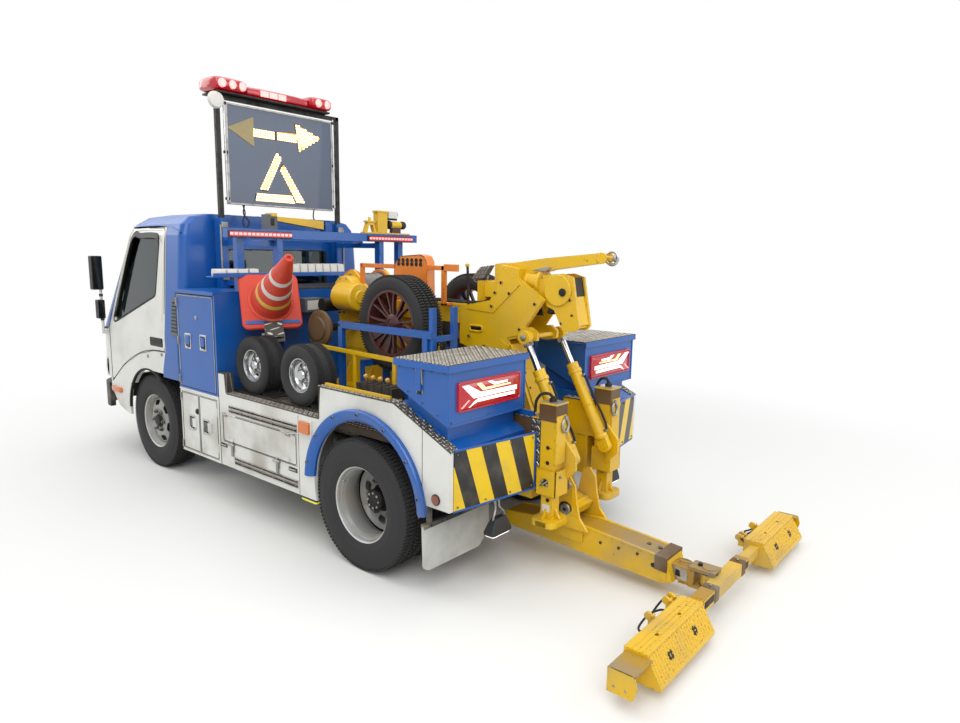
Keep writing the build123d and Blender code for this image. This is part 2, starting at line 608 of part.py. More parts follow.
# Headboard: posts, a lamp beam, the cabinet between the lockers and the sign's guides.
HEAD_X = 1380
HEAD_Z = 1830
TUBE = 60
GUIDE_X = (1950, 2030)
GUIDE_Y = 530
SIGN_RAIL = 34
SIGN_RAIL_X = (GUIDE_X[0] + 14, GUIDE_X[0] + 14 + SIGN_RAIL)
GUIDE_TOP = 1950
CABINET = ((1300, 1925), (-490, 490), (BED_TOP, 1450))
CONE_FOOT = (1250, 620, 1380)
CONE_AXIS = (-0.83, 0.35, 0.43)
CONE_SIDE = 380
CONE_H = 700
cone_plane = Plane(
    origin=(REAR_AXLE_X + CONE_FOOT[0], CONE_FOOT[1], CONE_FOOT[2]),
    x_dir=(CONE_AXIS[1], -CONE_AXIS[0], 0), z_dir=CONE_AXIS,
)
CONE_PLATE = 270
with BuildPart() as headboard:
    block((HEAD_X - TUBE / 2, HEAD_X + TUBE / 2), (-850, 850), (HEAD_Z - TUBE / 2, HEAD_Z + TUBE / 2))
    for name, hand in SIDES:
        block((HEAD_X - 28, HEAD_X + 28), (hand * 440, hand * 485), (CABINET[2][1], HEAD_Z))
        block((LOCKER_X[0], LOCKER_X[0] + 50), (hand * 700, hand * 750),
              (TALL_Z[1] + SEAT_FIT, HEAD_Z - 20))
        block((HEAD_X - 20, LOCKER_X[0] + 50), (hand * 700, hand * 750), (HEAD_Z - 30, HEAD_Z))
        guide_y = (hand * (GUIDE_Y - 30), hand * (GUIDE_Y + 30))
        block(GUIDE_X, guide_y, (BED_TOP - 300, GUIDE_TOP))
        block((SIGN_RAIL_X[0] - SEAT_FIT, SIGN_RAIL_X[1] + SEAT_FIT),
              (hand * (GUIDE_Y - SIGN_RAIL / 2 - SEAT_FIT), hand * (GUIDE_Y + SIGN_RAIL / 2 + SEAT_FIT)),
              (BED_TOP - 290, GUIDE_TOP + 1), mode=Mode.SUBTRACT)
        block((SIGN_RAIL_X[0] + 9, SIGN_RAIL_X[1] - 9), (hand * (GUIDE_Y - 31), hand * (GUIDE_Y - 10)),
              (BED_TOP - 200, GUIDE_TOP + 1), mode=Mode.SUBTRACT)
        for z in (1460, 1750):
            block((HEAD_X + 20, GUIDE_X[0] + 1), (hand * (GUIDE_Y - 30), hand * (GUIDE_Y - 5)), (z, z + 40))
            block((HEAD_X + 20, HEAD_X + 60), (hand * 450, hand * (GUIDE_Y - 5)), (z, z + 40))
        block((HEAD_X + 20, HEAD_X + 28.5), (hand * 450, hand * 484), (CABINET[2][1], HEAD_Z))
    block(CABINET[0], CABINET[1], CABINET[2])
    block((CABINET[0][0] + 20, CABINET[0][1] - 20), (-470, 470), (BED_TOP - 1, CABINET[2][1] - 20),
          mode=Mode.SUBTRACT)
    with BuildSketch(cone_plane.offset(-SEAT_FIT)):
        Rectangle(CONE_PLATE, CONE_PLATE)
    extrude(amount=-8)
    block((CONE_FOOT[0] - 12, CABINET[0][0] + 30), (CABINET[1][1] - 20, CONE_FOOT[1] + 20),
          (CONE_FOOT[2] - 100, CONE_FOOT[2] - 52))
headboard.part.label = "headboard"
export_step(headboard.part, "parts/headboard.step")

# Sign: a board on two rails that slide in the guides, with the light bar on top.
SIGN_Z = (2060, 2760)
SIGN_HALF = 470
SIGN_X = (GUIDE_X[0] + 15, GUIDE_X[0] + 45)
LIGHT_BAR = ((GUIDE_X[0] - 80, GUIDE_X[0] + 200), (-600, 600), (2815, 2930))
LIGHT_BAR_LENGTH = LIGHT_BAR[1][1] - LIGHT_BAR[1][0]
with BuildPart() as sign_board:
    block(SIGN_X, (-SIGN_HALF, SIGN_HALF), SIGN_Z)
    for name, hand in SIDES:
        rail_y = (hand * (GUIDE_Y - SIGN_RAIL / 2), hand * (GUIDE_Y + SIGN_RAIL / 2))
        block(SIGN_RAIL_X, rail_y, (1420, LIGHT_BAR[2][0]))
        for z in (2100, 2400, 2700):
            block((SIGN_RAIL_X[0] + 10, SIGN_RAIL_X[1] - 10), (hand * (SIGN_HALF - 1), hand * GUIDE_Y),
                  (z, z + 30))
    block((SIGN_RAIL_X[0], SIGN_RAIL_X[1]), (-GUIDE_Y, GUIDE_Y), (LIGHT_BAR[2][0] - 30, LIGHT_BAR[2][0]))
    block(*LIGHT_BAR)
    fillet(sign_board.edges().filter_by(Axis.Y).filter_by(lambda edge: edge.length == LIGHT_BAR_LENGTH), 30)
sign_board.part.label = "sign_board"
export_step(sign_board.part, "parts/sign_board.step")

# Stowed wheels: two car wheels upright in the racks, and four small dolly wheels.
CAR_WHEEL = (280, 1300, 290, 180, 185, 150)
DOLLY_WHEELS = (1160, 653)
DOLLY_TYRE = (190, 165, 105, 120)
DOLLY_Y = 762
with BuildPart() as stowed_tyres:
    for name, hand in SIDES:
        turned(tyre_section(CAR_WHEEL[2], CAR_WHEEL[3], CAR_WHEEL[4] - 12, CAR_WHEEL[5]),
               CAR_WHEEL[0], hand * 360, CAR_WHEEL[1])
        for x in DOLLY_WHEELS:
            turned(tyre_section(DOLLY_TYRE[0], DOLLY_TYRE[1], DOLLY_TYRE[2] - 8, DOLLY_TYRE[3]),
                   x, hand * DOLLY_Y, BED_TOP + DOLLY_TYRE[0] + SEAT_FIT)
stowed_tyres.part.label = "stowed_tyres"
export_step(stowed_tyres.part, "parts/stowed_tyres.step")
with BuildPart() as stowed_rims:
    for name, hand in SIDES:
        section = rim_section(CAR_WHEEL[4] - 12, CAR_WHEEL[4], CAR_WHEEL[5], 8, 55, 60)
        turned(tuple((r, hand * w) for r, w in section), CAR_WHEEL[0], hand * 360, CAR_WHEEL[1])
        for x in DOLLY_WHEELS:
            section = rim_section(DOLLY_TYRE[2] - 8, DOLLY_TYRE[2], DOLLY_TYRE[3], 6, 30, 36)
            turned(tuple((r, hand * w) for r, w in section), x, hand * DOLLY_Y,
                   BED_TOP + DOLLY_TYRE[0] + SEAT_FIT)
stowed_rims.part.label = "stowed_rims"
export_step(stowed_rims.part, "parts/stowed_rims.step")

# Racks: side bars, ladder posts and cradles for the car wheels.
RACK_X = (-110, 670)
RACK_BAR = (490, 520)
RACK_Z = (1250, 1290)
LADDER_TOP = 1420
CRADLE = 170
with BuildPart() as wheel_racks:
    for name, hand in SIDES:
        block(RACK_X, (hand * RACK_BAR[0], hand * RACK_BAR[1]), RACK_Z)
        for x in (RACK_X[0], RACK_X[1] - 40):
            block((x, x + 40), (hand * RACK_BAR[0], hand * RACK_BAR[1]), (BED_TOP, RACK_Z[1]))
        for y in (RACK_BAR[0] - 15, 300):
            block((-140, -110), (hand * y, hand * (y + 32)), (BED_TOP, LADDER_TOP))
        for z in (1000, 1230):
            block((-140, -110), (hand * 300, hand * (RACK_BAR[0] + 10)), (z, z + 30))
        block((-140, -109), (hand * (RACK_BAR[0] - 15), hand * RACK_BAR[1]), RACK_Z)
        reach = sqrt((CAR_WHEEL[2] + SEAT_FIT) ** 2 - CRADLE ** 2)
        cradle_top = CAR_WHEEL[1] - reach
        for x in (CAR_WHEEL[0] - CRADLE - 40, CAR_WHEEL[0] + CRADLE):
            block((x, x + 40), (hand * 280, hand * (RACK_BAR[0] + 5)), (cradle_top - 40, cradle_top))
            block((x, x + 40), (hand * 280, hand * 310), (BED_TOP, cradle_top))
            block((x, x + 40), (hand * RACK_BAR[0], hand * (RACK_BAR[0] + 5)), (BED_TOP, cradle_top))
wheel_racks.part.label = "wheel_racks"
export_step(wheel_racks.part, "parts/wheel_racks.step")

# Traffic cone: a hollow cone on its square foot, leaning back from its bracket.
with BuildPart(cone_plane) as traffic_cone:
    with BuildSketch(cone_plane):
        RectangleRounded(CONE_SIDE, CONE_SIDE, 45)
    extrude(amount=18)
    with Locations((0, 0, CONE_H / 2)):
        Cone(125, 28, CONE_H)
        Cone(120, 23, CONE_H, mode=Mode.SUBTRACT)
traffic_cone.part.label = "traffic_cone"
export_step(traffic_cone.part, "parts/traffic_cone.step")

# Lift frame: plates along the rails, the boom's stand, and the towers that hold the legs.
FRAME_PLATE = (232, 262)
STAND_Y = (130, 152)
TOWER_X = (LEG_X - LEG_TUBE / 2, LEG_X + LEG_TUBE / 2)
TOWER_Z = (500, 960)
TOWER_Y = (FRAME_PLATE[0], LEG_Y + LEG_TUBE / 2)
BARREL_PIN_R = 14
STAND_OUTLINE = (
    (300, BED_TOP + 20), (1100, BED_TOP + 20), (1120, 1380), (1060, 1560),
    (960, 1600), (840, 1500), (BOOM_PIVOT[0] + 60, BOOM_PIVOT[1] + 95),
    (BOOM_PIVOT[0] - 60, BOOM_PIVOT[1] + 95), (BOOM_PIVOT[0] - 110, BOOM_PIVOT[1] - 40),
    (380, 1000),
)
DRUM = (1000, 1480)
DRUM_SHAFT_R = 22
with BuildPart() as lift_frame:
    for name, hand in SIDES:
        plate = (hand * FRAME_PLATE[0], hand * FRAME_PLATE[1])
        block((TOWER_X[0], 1150), plate, (MEMBER_TOP, BED_TOP + 21))
        block((440, 1150), (hand * 10, hand * FRAME_PLATE[0]), (BED_TOP + 1, BED_TOP + 21))
        slab(STAND_OUTLINE, (hand * STAND_Y[0], hand * STAND_Y[1]))
        across(BOOM_PIVOT[0], BOOM_PIVOT[1], BOOM_PIVOT_R,
               (hand * (BOOM_HALF - 40), hand * (STAND_Y[1] + 12)))
        block(TOWER_X, (hand * TOWER_Y[0], hand * TOWER_Y[1]), TOWER_Z)
        block((TOWER_X[0] + 10 - SEAT_FIT, TOWER_X[1] - 10 + SEAT_FIT),
              (hand * (LEG_Y - LEG_SIDE / 2 - SEAT_FIT), hand * (LEG_Y + LEG_SIDE / 2 + SEAT_FIT)),
              (TOWER_Z[0] - 1, TOWER_Z[1] - 10), mode=Mode.SUBTRACT)
        slab(
            ((TOWER_X[0] - 70, BARREL_FOOT[1] - 45), (TOWER_X[0] - 70, BARREL_FOOT[1] + 35),
             (TOWER_X[0] + 5, BARREL_FOOT[1] + 120), (TOWER_X[0] + 5, BARREL_FOOT[1] - 120)),
            (hand * (FRAME_PLATE[0] - 16), hand * (FRAME_PLATE[0] + 4)),
        )
        across(BARREL_FOOT[0], BARREL_FOOT[1], BARREL_PIN_R,
               (hand * (CYLINDER_Y - 24), hand * (FRAME_PLATE[0] - 10)))
    block((1000, 1110), (-STAND_Y[0] - 1, STAND_Y[0] + 1), (BED_TOP + 20, 1000))
    across(DRUM[0], DRUM[1], DRUM_SHAFT_R, (-STAND_Y[0], STAND_Y[0]))
    block((440, 500), (-STAND_Y[1], STAND_Y[1]), (BED_TOP + 20, BED_TOP + 60))
lift_frame.part.label = "lift_frame"
export_step(lift_frame.part, "parts/lift_frame.step")

# Winch drum between the stand's plates.
with BuildPart() as winch_drum:
    half = STAND_Y[0] - 6
    across(DRUM[0], DRUM[1], 70, (-half, half))
    for hand in (1, -1):
        across(DRUM[0], DRUM[1], 118, (hand * half, hand * (half - 8)))
    across(DRUM[0], DRUM[1], DRUM_SHAFT_R + RUN_FIT, (-half - 1, half + 1), mode=Mode.SUBTRACT)
winch_drum.part.label = "winch_drum"
export_step(winch_drum.part, "parts/winch_drum.step")

# Boom: a box tube from its pivot, deep side plates behind it, the mast below and the arm above.
TUBE_Z = (1300, 1404)
MAST_REAR = ((-367, 1205), (-549, 782), (-742, 365))
MAST_DEPTH = 130
MAST_HALF = 92
BOOM_SIDE = (
    (20, TUBE_Z[1]), (-213, 1454), (-270, 1560), (-262, 1662), (-300, 1662), (-603, 1476), (-479, 1311),
    (-460, 1258), (-353, 1231), (-367, 1205), (-330, 1110), (-200, 1120), (20, 1180),
)
ARM = ((-262, 1572), (-262, 1662), (-894, 1728), (-894, 1690), (-600, 1640), (-420, 1600))
ARM_HALF = 32
ROD_PIN_R = 14
ROD_LUG = ((-430, 1310), (-520, 1318), (-562, 1290), (-562, 1246), (-500, 1232), (-430, 1236))
mast_slope = (MAST_REAR[0][0] - MAST_REAR[2][0]) / (MAST_REAR[0][1] - MAST_REAR[2][1])
with BuildPart() as boom:
    block((-20, BOOM_PIVOT[0]), (-BOOM_HALF + 20, BOOM_HALF - 20), TUBE_Z)
    across(BOOM_PIVOT[0], BOOM_PIVOT[1], 75, (-BOOM_HALF, BOOM_HALF))
    across(BOOM_PIVOT[0], BOOM_PIVOT[1], BOOM_PIVOT_R + RUN_FIT, (-200, 200), mode=Mode.SUBTRACT)
    for name, hand in SIDES:
        slab(BOOM_SIDE, (hand * (BOOM_HALF - BOOM_PLATE), hand * BOOM_HALF))
    block((-260, -19), (-BOOM_HALF + BOOM_PLATE - 1, BOOM_HALF - BOOM_PLATE + 1), TUBE_Z)
    slab(
        (MAST_REAR[0], MAST_REAR[1], MAST_REAR[2],
         (MAST_REAR[2][0] + MAST_DEPTH, MAST_REAR[2][1] - 20),
         (MAST_REAR[1][0] + MAST_DEPTH + 10, MAST_REAR[1][1] - 40),
         (MAST_REAR[0][0] + MAST_DEPTH + 10, MAST_REAR[0][1] + 20)),
        (-MAST_HALF, MAST_HALF),
    )
    slab(
        (MAST_REAR[2], (BEAM_PIVOT[0] - 50, BEAM_PIVOT[1]), (BEAM_PIVOT[0] - 30, BEAM_PIVOT[1] - 48),
         (BEAM_PIVOT[0] + 30, BEAM_PIVOT[1] - 55), (MAST_REAR[2][0] + MAST_DEPTH, MAST_REAR[2][1] - 20)),
        (-MAST_HALF, MAST_HALF),
    )
    across(BEAM_PIVOT[0], BEAM_PIVOT[1], BEAM_PIVOT_R + RUN_FIT, (-200, 200), mode=Mode.SUBTRACT)
    slab(ARM, (-ARM_HALF, ARM_HALF))
    slab(((-262, 1440), (-262, 1662), (-420, 1640), (-420, 1440)), (-BOOM_HALF + 1, BOOM_HALF - 1))
    across(-665, 1530, 78, (-60, 60))
    block((-650, -415), (-58, 58), (1470, 1590))
    slab(((-600, 1520), (-735, 1500), (-792, 1330), (-700, 1318), (-640, 1440)), (-56, 56))
    for name, hand in SIDES:
        slab(ROD_LUG, (hand * (BOOM_HALF - BOOM_PLATE), hand * (BOOM_HALF + 10)))
    across(ROD_EYE[0], ROD_EYE[1], ROD_PIN_R, (-CYLINDER_Y - 24, CYLINDER_Y + 24))
    lengthways(0, 1709, 14, (-960, -890))
boom.part.label = "boom"
export_step(boom.part, "parts/boom.step")

# Lift cylinders: a barrel on each tower's pin and a rod up to the boom.
stroke_line = (ROD_EYE[0] - BARREL_FOOT[0], ROD_EYE[1] - BARREL_FOOT[1])
closed_length = hypot(*stroke_line)
lean = degrees(atan2(stroke_line[0], stroke_line[1]))
BARREL_LENGTH = 470
EYE_HALF = 20
EYE_R = 33
EYE_DRIFT = 11
for name, hand in SIDES:
    foot = Plane(
        origin=(REAR_AXLE_X + BARREL_FOOT[0], hand * CYLINDER_Y, BARREL_FOOT[1]),
        x_dir=(0, 1, 0), z_dir=(stroke_line[0], 0, stroke_line[1]),
    )
    with BuildPart(foot) as barrel:
        with Locations((0, 0, 45 + BARREL_LENGTH / 2)):
            Cylinder(BARREL_R, BARREL_LENGTH)
        with Locations((0, 0, 30)):
            Box(2 * EYE_HALF, 2 * EYE_R, 60)
        with Locations(Location((0, 0, 0), (0, 90, 0))):
            Cylinder(EYE_R, 2 * EYE_HALF)
            Cylinder(BARREL_PIN_R + RUN_FIT, 4 * EYE_HALF, mode=Mode.SUBTRACT)
        with Locations((0, 0, 70 + BARREL_LENGTH / 2)):
            Cylinder(ROD_R + RUN_FIT, BARREL_LENGTH, mode=Mode.SUBTRACT)
    barrel.part.label = f"lift_barrel_{name}"
    export_step(barrel.part, f"parts/lift_barrel_{name}.step")
    with BuildPart(foot) as rod:
        with Locations((0, 0, (75 + closed_length - 40) / 2 + 20)):
            Cylinder(ROD_R, closed_length - 40 - 75)
        with Locations(Location((0, 0, closed_length), (0, 90, 0))):
            Cylinder(EYE_R, 2 * EYE_HALF)
        with Locations((0, 0, closed_length - 35)):
            Box(2 * EYE_HALF, 40, 40)
        with Locations(Location((0, 0, closed_length), (0, 90, 0))):
            Cylinder(ROD_PIN_R + EYE_DRIFT, 4 * EYE_HALF, mode=Mode.SUBTRACT)
    rod.part.label = f"lift_rod_{name}"
    export_step(rod.part, f"parts/lift_rod_{name}.step")

# Underlift beam: a tapered box with two ears on the mast's foot pin.
BEAM_TOP = ((-359, 195), (-896, 244), (-1392, 202))
BEAM_BOTTOM = ((-1426, 88), (-1363, 67), (-903, 88), (-353, 118))
EAR = ((-700, 215), (-730, 300), (-752, 420), (-770, 505), (-812, 518), (-850, 470), (-862, 380),
       (-885, 290), (-940, 225))
EAR_Y = (BEAM_HALF + 12, BEAM_HALF + 30)
STINGER = (100, 76)
BEAM_AXIS = (-cos(radians(BEAM_SLOPE)), 0, -sin(radians(BEAM_SLOPE)))
BEAM_START = (-903, 164)
beam_plane = Plane(
    origin=(REAR_AXLE_X + BEAM_START[0], 0, BEAM_START[1]), x_dir=(0, 1, 0), z_dir=BEAM_AXIS
)
with BuildPart() as underlift_beam:
    slab(BEAM_TOP + BEAM_BOTTOM, (-BEAM_HALF, BEAM_HALF))
    for name, hand in SIDES:
        slab(EAR, (hand * EAR_Y[0], hand * EAR_Y[1]))
        block((-900, -720), (hand * (BEAM_HALF - 1), hand * EAR_Y[0]), (150, 225))
    across(BEAM_PIVOT[0], BEAM_PIVOT[1], BEAM_PIVOT_R, (-EAR_Y[1] - 10, EAR_Y[1] + 10))
with BuildPart(beam_plane) as beam_cavity:
    with Locations((0, 0, 150)):
        Box(STINGER[0] + 2 * SEAT_FIT, STINGER[1] + 2 * SEAT_FIT, 900)
with BuildPart() as beam_bored:
    add(underlift_beam.part)
    add(beam_cavity.part, mode=Mode.SUBTRACT)
beam_bored.part.label = "underlift_beam"
export_step(beam_bored.part, "parts/underlift_beam.step")

# Stinger: the tube that slides in the beam, with the fork of the crossbar's swivel.
stinger_reach = (-SWIVEL_X + BEAM_START[0]) / cos(radians(BEAM_SLOPE))
SWIVEL_R = 24
FORK_T = 16
FORK_GAP = 74
STINGER_NECK = 60
STINGER_TAIL = 240
with BuildPart(beam_plane) as stinger_tube:
    with Locations((0, 0, (stinger_reach - STINGER_NECK - STINGER_TAIL) / 2)):
        Box(STINGER[0], STINGER[1], stinger_reach - STINGER_NECK + STINGER_TAIL)
with BuildPart() as stinger:
    add(stinger_tube.part)
    swivel_z = CROSSBAR_Z
    for hand in (1, -1):
        base = swivel_z + hand * (FORK_GAP / 2)
        sheet(
            ((SWIVEL_X - 40, -48), (SWIVEL_X + 90, -48), (SWIVEL_X + 90, 48), (SWIVEL_X - 40, 48)),
            (base, base + hand * FORK_T),
        )
    upright(SWIVEL_X, 0, SWIVEL_R, (swivel_z - FORK_GAP / 2 - FORK_T, swivel_z + FORK_GAP / 2 + FORK_T))
stinger.part.label = "stinger"
export_step(stinger.part, "parts/stinger.step")

# Crossbar: the tube behind the stinger, hung on its swivel between the fork's jaws.
CROSSBAR_HALF = 300
LUG_H = FORK_GAP - 4
with BuildPart() as crossbar:
    block((CROSSBAR_X - CROSSBAR_SIDE / 2, CROSSBAR_X + CROSSBAR_SIDE / 2),
          (-CROSSBAR_HALF, CROSSBAR_HALF),
          (CROSSBAR_Z - CROSSBAR_SIDE / 2, CROSSBAR_Z + CROSSBAR_SIDE / 2))
    upright(SWIVEL_X, 0, 42, (CROSSBAR_Z - LUG_H / 2, CROSSBAR_Z + LUG_H / 2))
    block((CROSSBAR_X, SWIVEL_X), (-42, 42), (CROSSBAR_Z - CROSSBAR_SIDE / 2, CROSSBAR_Z + CROSSBAR_SIDE / 2))
    cavity = ARM_SIDE / 2 + SEAT_FIT
    block((CROSSBAR_X - cavity, CROSSBAR_X + cavity), (-CROSSBAR_HALF - 1, CROSSBAR_HALF + 1),
          (CROSSBAR_Z - cavity, CROSSBAR_Z + cavity), mode=Mode.SUBTRACT)
    upright(SWIVEL_X, 0, SWIVEL_R + RUN_FIT, (0, 300), mode=Mode.SUBTRACT)
crossbar.part.label = "crossbar"
export_step(crossbar.part, "parts/crossbar.step")

# Crossbar arms: a square tube in the crossbar and a folded wheel plate on its outer length.
GRID_T = 8
GRID = ((-1578, 178), (-1676, 178), (REAR_REACH * -1, 62), (REAR_REACH * -1, 46), (-1600, 46), (-1578, 80))
GRID_INNER = ((-1578 - GRID_T, 178 - GRID_T), (-1672, 178 - GRID_T), (-1735, 62), (-1733, 46 + GRID_T),
              (-1604, 46 + GRID_T), (-1578 - GRID_T, 84))
ARM_ROOT = 25
STAKE_R = 11
for name, hand in SIDES:
    root = hand * (ARM_ROOT + ARM_DRAWN[name])
    inner_end = CROSSBAR_HALF + ARM_DRAWN[name]
    outer_end = inner_end + GRID_LENGTH
    tube_x = (CROSSBAR_X - ARM_SIDE / 2, CROSSBAR_X + ARM_SIDE / 2)
    tube_z = (CROSSBAR_Z - ARM_SIDE / 2, CROSSBAR_Z + ARM_SIDE / 2)
    with BuildPart() as arm:
        slab(GRID, (hand * inner_end, hand * outer_end))
        slab(GRID_INNER, (hand * (inner_end + GRID_T), hand * (outer_end - GRID_T)), mode=Mode.SUBTRACT)
        block(tube_x, (root, hand * ARM_TIP[name]), tube_z)
        for along in (0.3, 0.7):
            upright(CROSSBAR_X, hand * (inner_end + along * GRID_LENGTH), STAKE_R, (GRID[0][1] - 12, 200),
                    mode=Mode.SUBTRACT)
    arm.part.label = f"crossbar_arm_{name}"
    export_step(arm.part, f"parts/crossbar_arm_{name}.step")

# Legs: a tube in each tower with its rounded foot drawn up.
for name, hand in SIDES:
    with BuildPart() as leg:
        block((LEG_X - LEG_SIDE / 2, LEG_X + LEG_SIDE / 2),
              (hand * (LEG_Y - LEG_SIDE / 2), hand * (LEG_Y + LEG_SIDE / 2)), (LEG_FOOT + 10, 930))
        with BuildSketch(level(LEG_FOOT)):
            with Locations((LEG_X, hand * LEG_Y)):
                RectangleRounded(150, 170, 40)
        extrude(amount=34)
    leg.part.label = f"leg_{name}"
    export_step(leg.part, f"parts/leg_{name}.step")

# Cab: the outside as rounded sections, one above another.
CAB_SECTIONS = (
    # height, front, half width, front corner
    (CAB_BOTTOM, 3620, CAB_HALF, CAB_FRONT_CORNER),
    (CAB_BELT, 3590, CAB_HALF, CAB_FRONT_CORNER),
    (1820, 3085, CAB_HALF - 52, 250),
    (1900, 2990, CAB_HALF - 72, 220),
    (1955, 2860, CAB_HALF - 130, 180),
    (1978, 2680, CAB_HALF - 240, 120),
)


def cab_skin(inset, mode=Mode.ADD):
    """The cab's form, drawn in from its outside by an even inset."""
    top = CAB_SECTIONS[-1][0]
    slices = []
    for height, front, half, corner in CAB_SECTIONS:
        z = height + inset
        if height > CAB_BOTTOM:
            z = height - inset * (height > CAB_BELT) * (height / top) ** 3
        with BuildSketch(level(z), mode=Mode.PRIVATE) as section:
            length = front - CAB_REAR - 2 * inset
            with Locations(((front + CAB_REAR) / 2, 0)):
                Rectangle(length, 2 * (half - inset))
            ends = section.vertices().group_by(Axis.X)
            fillet(ends[-1], corner - min(inset, 40))
            fillet(section.vertices().group_by(Axis.X)[0], CAB_REAR_CORNER - min(inset, 40))
        slices.append(section.sketch)
    loft(slices, ruled=True, mode=mode)


# Cab outlines along the side: the door, its window and the seam over the front arch.
DOOR_REAR = 2303
DOOR_FRONT = 3280
DOOR_TOP = 1880
DOOR_CUT = 640
SEAM = ((DOOR_REAR, 955), (2500, 948), (2730, 903), (3020, 781), (DOOR_FRONT, 607))
PILLAR_TOP = (2905, 1868)
DOOR_OUTLINE = SEAM + ((DOOR_FRONT, CAB_BELT - 8), PILLAR_TOP, (DOOR_REAR, DOOR_TOP))
DOOR_HOLE = (
    (DOOR_REAR - 8, 935), (DOOR_FRONT + 1, 607), (DOOR_FRONT + 1, CAB_BELT),
    (DOOR_FRONT + DOOR_GAP, CAB_BELT), (PILLAR_TOP[0] + DOOR_GAP, DOOR_TOP + DOOR_GAP),
    (DOOR_REAR - 8, DOOR_TOP + DOOR_GAP),
)
DOOR_LIP = 8
DOOR_RELIEF = ((3120, 713), (DOOR_FRONT + 1, 605), (DOOR_FRONT + 1, 645), (3120, 726))
DOOR_WINDOW = ((3215, 1098), (2455, 1368), (2400, 1798), (2868, 1808))
HANDLE_CUP = ((2335, 2540), (985, 1052), 22)
FENDER_REAR = 2350
FENDER_T = 20
FENDER_LEG = ((3300, 700), (3300, 545), (3170, 415), (2990, 370), (2930, 370), (2930, 700))
FRONT_ARCH = ((2610, 435), 350)
SCREEN = ((-760, 1112), (760, 1112), (668, 1795), (-668, 1795))
REAR_WINDOW = ((-450, 450), (1350, 1720))
HUMP_X = (CAB_REAR + CAB_WALL - 1, 2990)
HUMP_HALF = 700
HUMP_TOP = 1040
FLOOR_T = 40
HUMP_T = 20
FLOOR_FRONT = (3300, 3440)
LAMP_X = 3335
LAMP_Y = 560
LAMP_Z = (655, 800)
SILL_Z = 760
LUG_Y = (RAIL_Y - RAIL_W / 2 + 6, RAIL_Y + RAIL_W / 2 - 22)
MIRROR_X = (3290, 3342)
MIRROR_Y = 20
MIRRORS = ((78, (1380, 1650)), (48, (1140, 1290)))


def shifted(points, drop):
    """An outline moved down, for the gap under it."""
    return tuple((x, z - drop) for x, z in points)


def windscreen(inset, mode):
    """The windscreen's opening, run forward through the cab's front."""
    with BuildSketch(station(2700), mode=Mode.PRIVATE) as opening:
        with BuildLine():
            Polyline(*SCREEN, close=True)
        make_face()
        fillet(opening.vertices(), 60)
        if inset:
            offset(amount=-inset, mode=Mode.REPLACE)
    extrude(opening.sketch, amount=1200, mode=mode)


def door_window(hand, inset, mode):
    """The opening of one door's window, through the cab's side."""
    with BuildSketch(side(hand * CAB_HALF + 100), mode=Mode.PRIVATE) as opening:
        with BuildLine():
            Polyline(*DOOR_WINDOW, close=True)
        make_face()
        fillet(opening.vertices(), 40)
        if inset:
            offset(amount=-inset, mode=Mode.REPLACE)
    extrude(opening.sketch, amount=350, mode=mode)


def headlamp(hand, inset, mode):
    """The opening of one headlamp, round the cab's front corner."""
    block((LAMP_X + inset, FRONT_END), (hand * (LAMP_Y + inset), hand * BODY_HALF),
          (LAMP_Z[0] + inset, LAMP_Z[1] - inset), mode=mode)


lower_region = shifted(SEAM, DOOR_GAP) + (
    (DOOR_FRONT + DOOR_GAP, 600), (DOOR_FRONT + DOOR_GAP, CAB_BELT), (3800, CAB_BELT), (3800, 300),
    (FENDER_REAR, 300), (FENDER_REAR, 812),
)
cab_inner_y = CAB_HALF - CAB_WALL
panel_inner_x = CAB_SECTIONS[0][1] - CAB_WALL
with BuildPart() as cab_form:
    cab_skin(0)
with BuildPart() as cab_hollow:
    cab_skin(CAB_WALL)
    block((CAB_REAR + CAB_WALL, panel_inner_x - 100), (-cab_inner_y, cab_inner_y),
          (500, CAB_BOTTOM + 100))
    block((panel_inner_x - 101, panel_inner_x), (-520, 520), (500, CAB_BOTTOM + CAB_WALL + 1))
with BuildPart() as cab_walls:
    add(cab_form.part)
    add(cab_hollow.part, mode=Mode.SUBTRACT)

# Cab shell: roof, pillars, rear wall and floor, with the hump over the engine.
with BuildPart() as cab_shell:
    add(cab_walls.part)
    slab(lower_region, (-1000, 1000), mode=Mode.SUBTRACT)
    block((DOOR_FRONT, 3900), (-1000, 1000), (590, CAB_BELT), mode=Mode.SUBTRACT)
    for name, hand in SIDES:
        slab(DOOR_HOLE, (hand * DOOR_CUT, hand * 1000), mode=Mode.SUBTRACT)
    windscreen(0, Mode.SUBTRACT)
    block((CAB_REAR - 1, CAB_REAR + CAB_WALL + 1), REAR_WINDOW[0], REAR_WINDOW[1], mode=Mode.SUBTRACT)
    block((2000, FENDER_REAR + 1), (-1000, 1000), (500, SILL_Z), mode=Mode.SUBTRACT)
    floor_z = (CAB_FLOOR, CAB_FLOOR + FLOOR_T)
    block((HUMP_X[0], FLOOR_FRONT[0]), (-cab_inner_y + 2, cab_inner_y - 2), floor_z)
    block((HUMP_X[0], FLOOR_FRONT[1]), (-HUMP_HALF, HUMP_HALF), floor_z)
    block(HUMP_X, (-HUMP_HALF, HUMP_HALF), (CAB_FLOOR, HUMP_TOP))
    block((HUMP_X[0], HUMP_X[1] - HUMP_T), (-HUMP_HALF + HUMP_T, HUMP_HALF - HUMP_T),
          (CAB_FLOOR - 1, HUMP_TOP - HUMP_T), mode=Mode.SUBTRACT)
cab_shell.part.label = "cab_shell"
export_step(cab_shell.part, "parts/cab_shell.step")

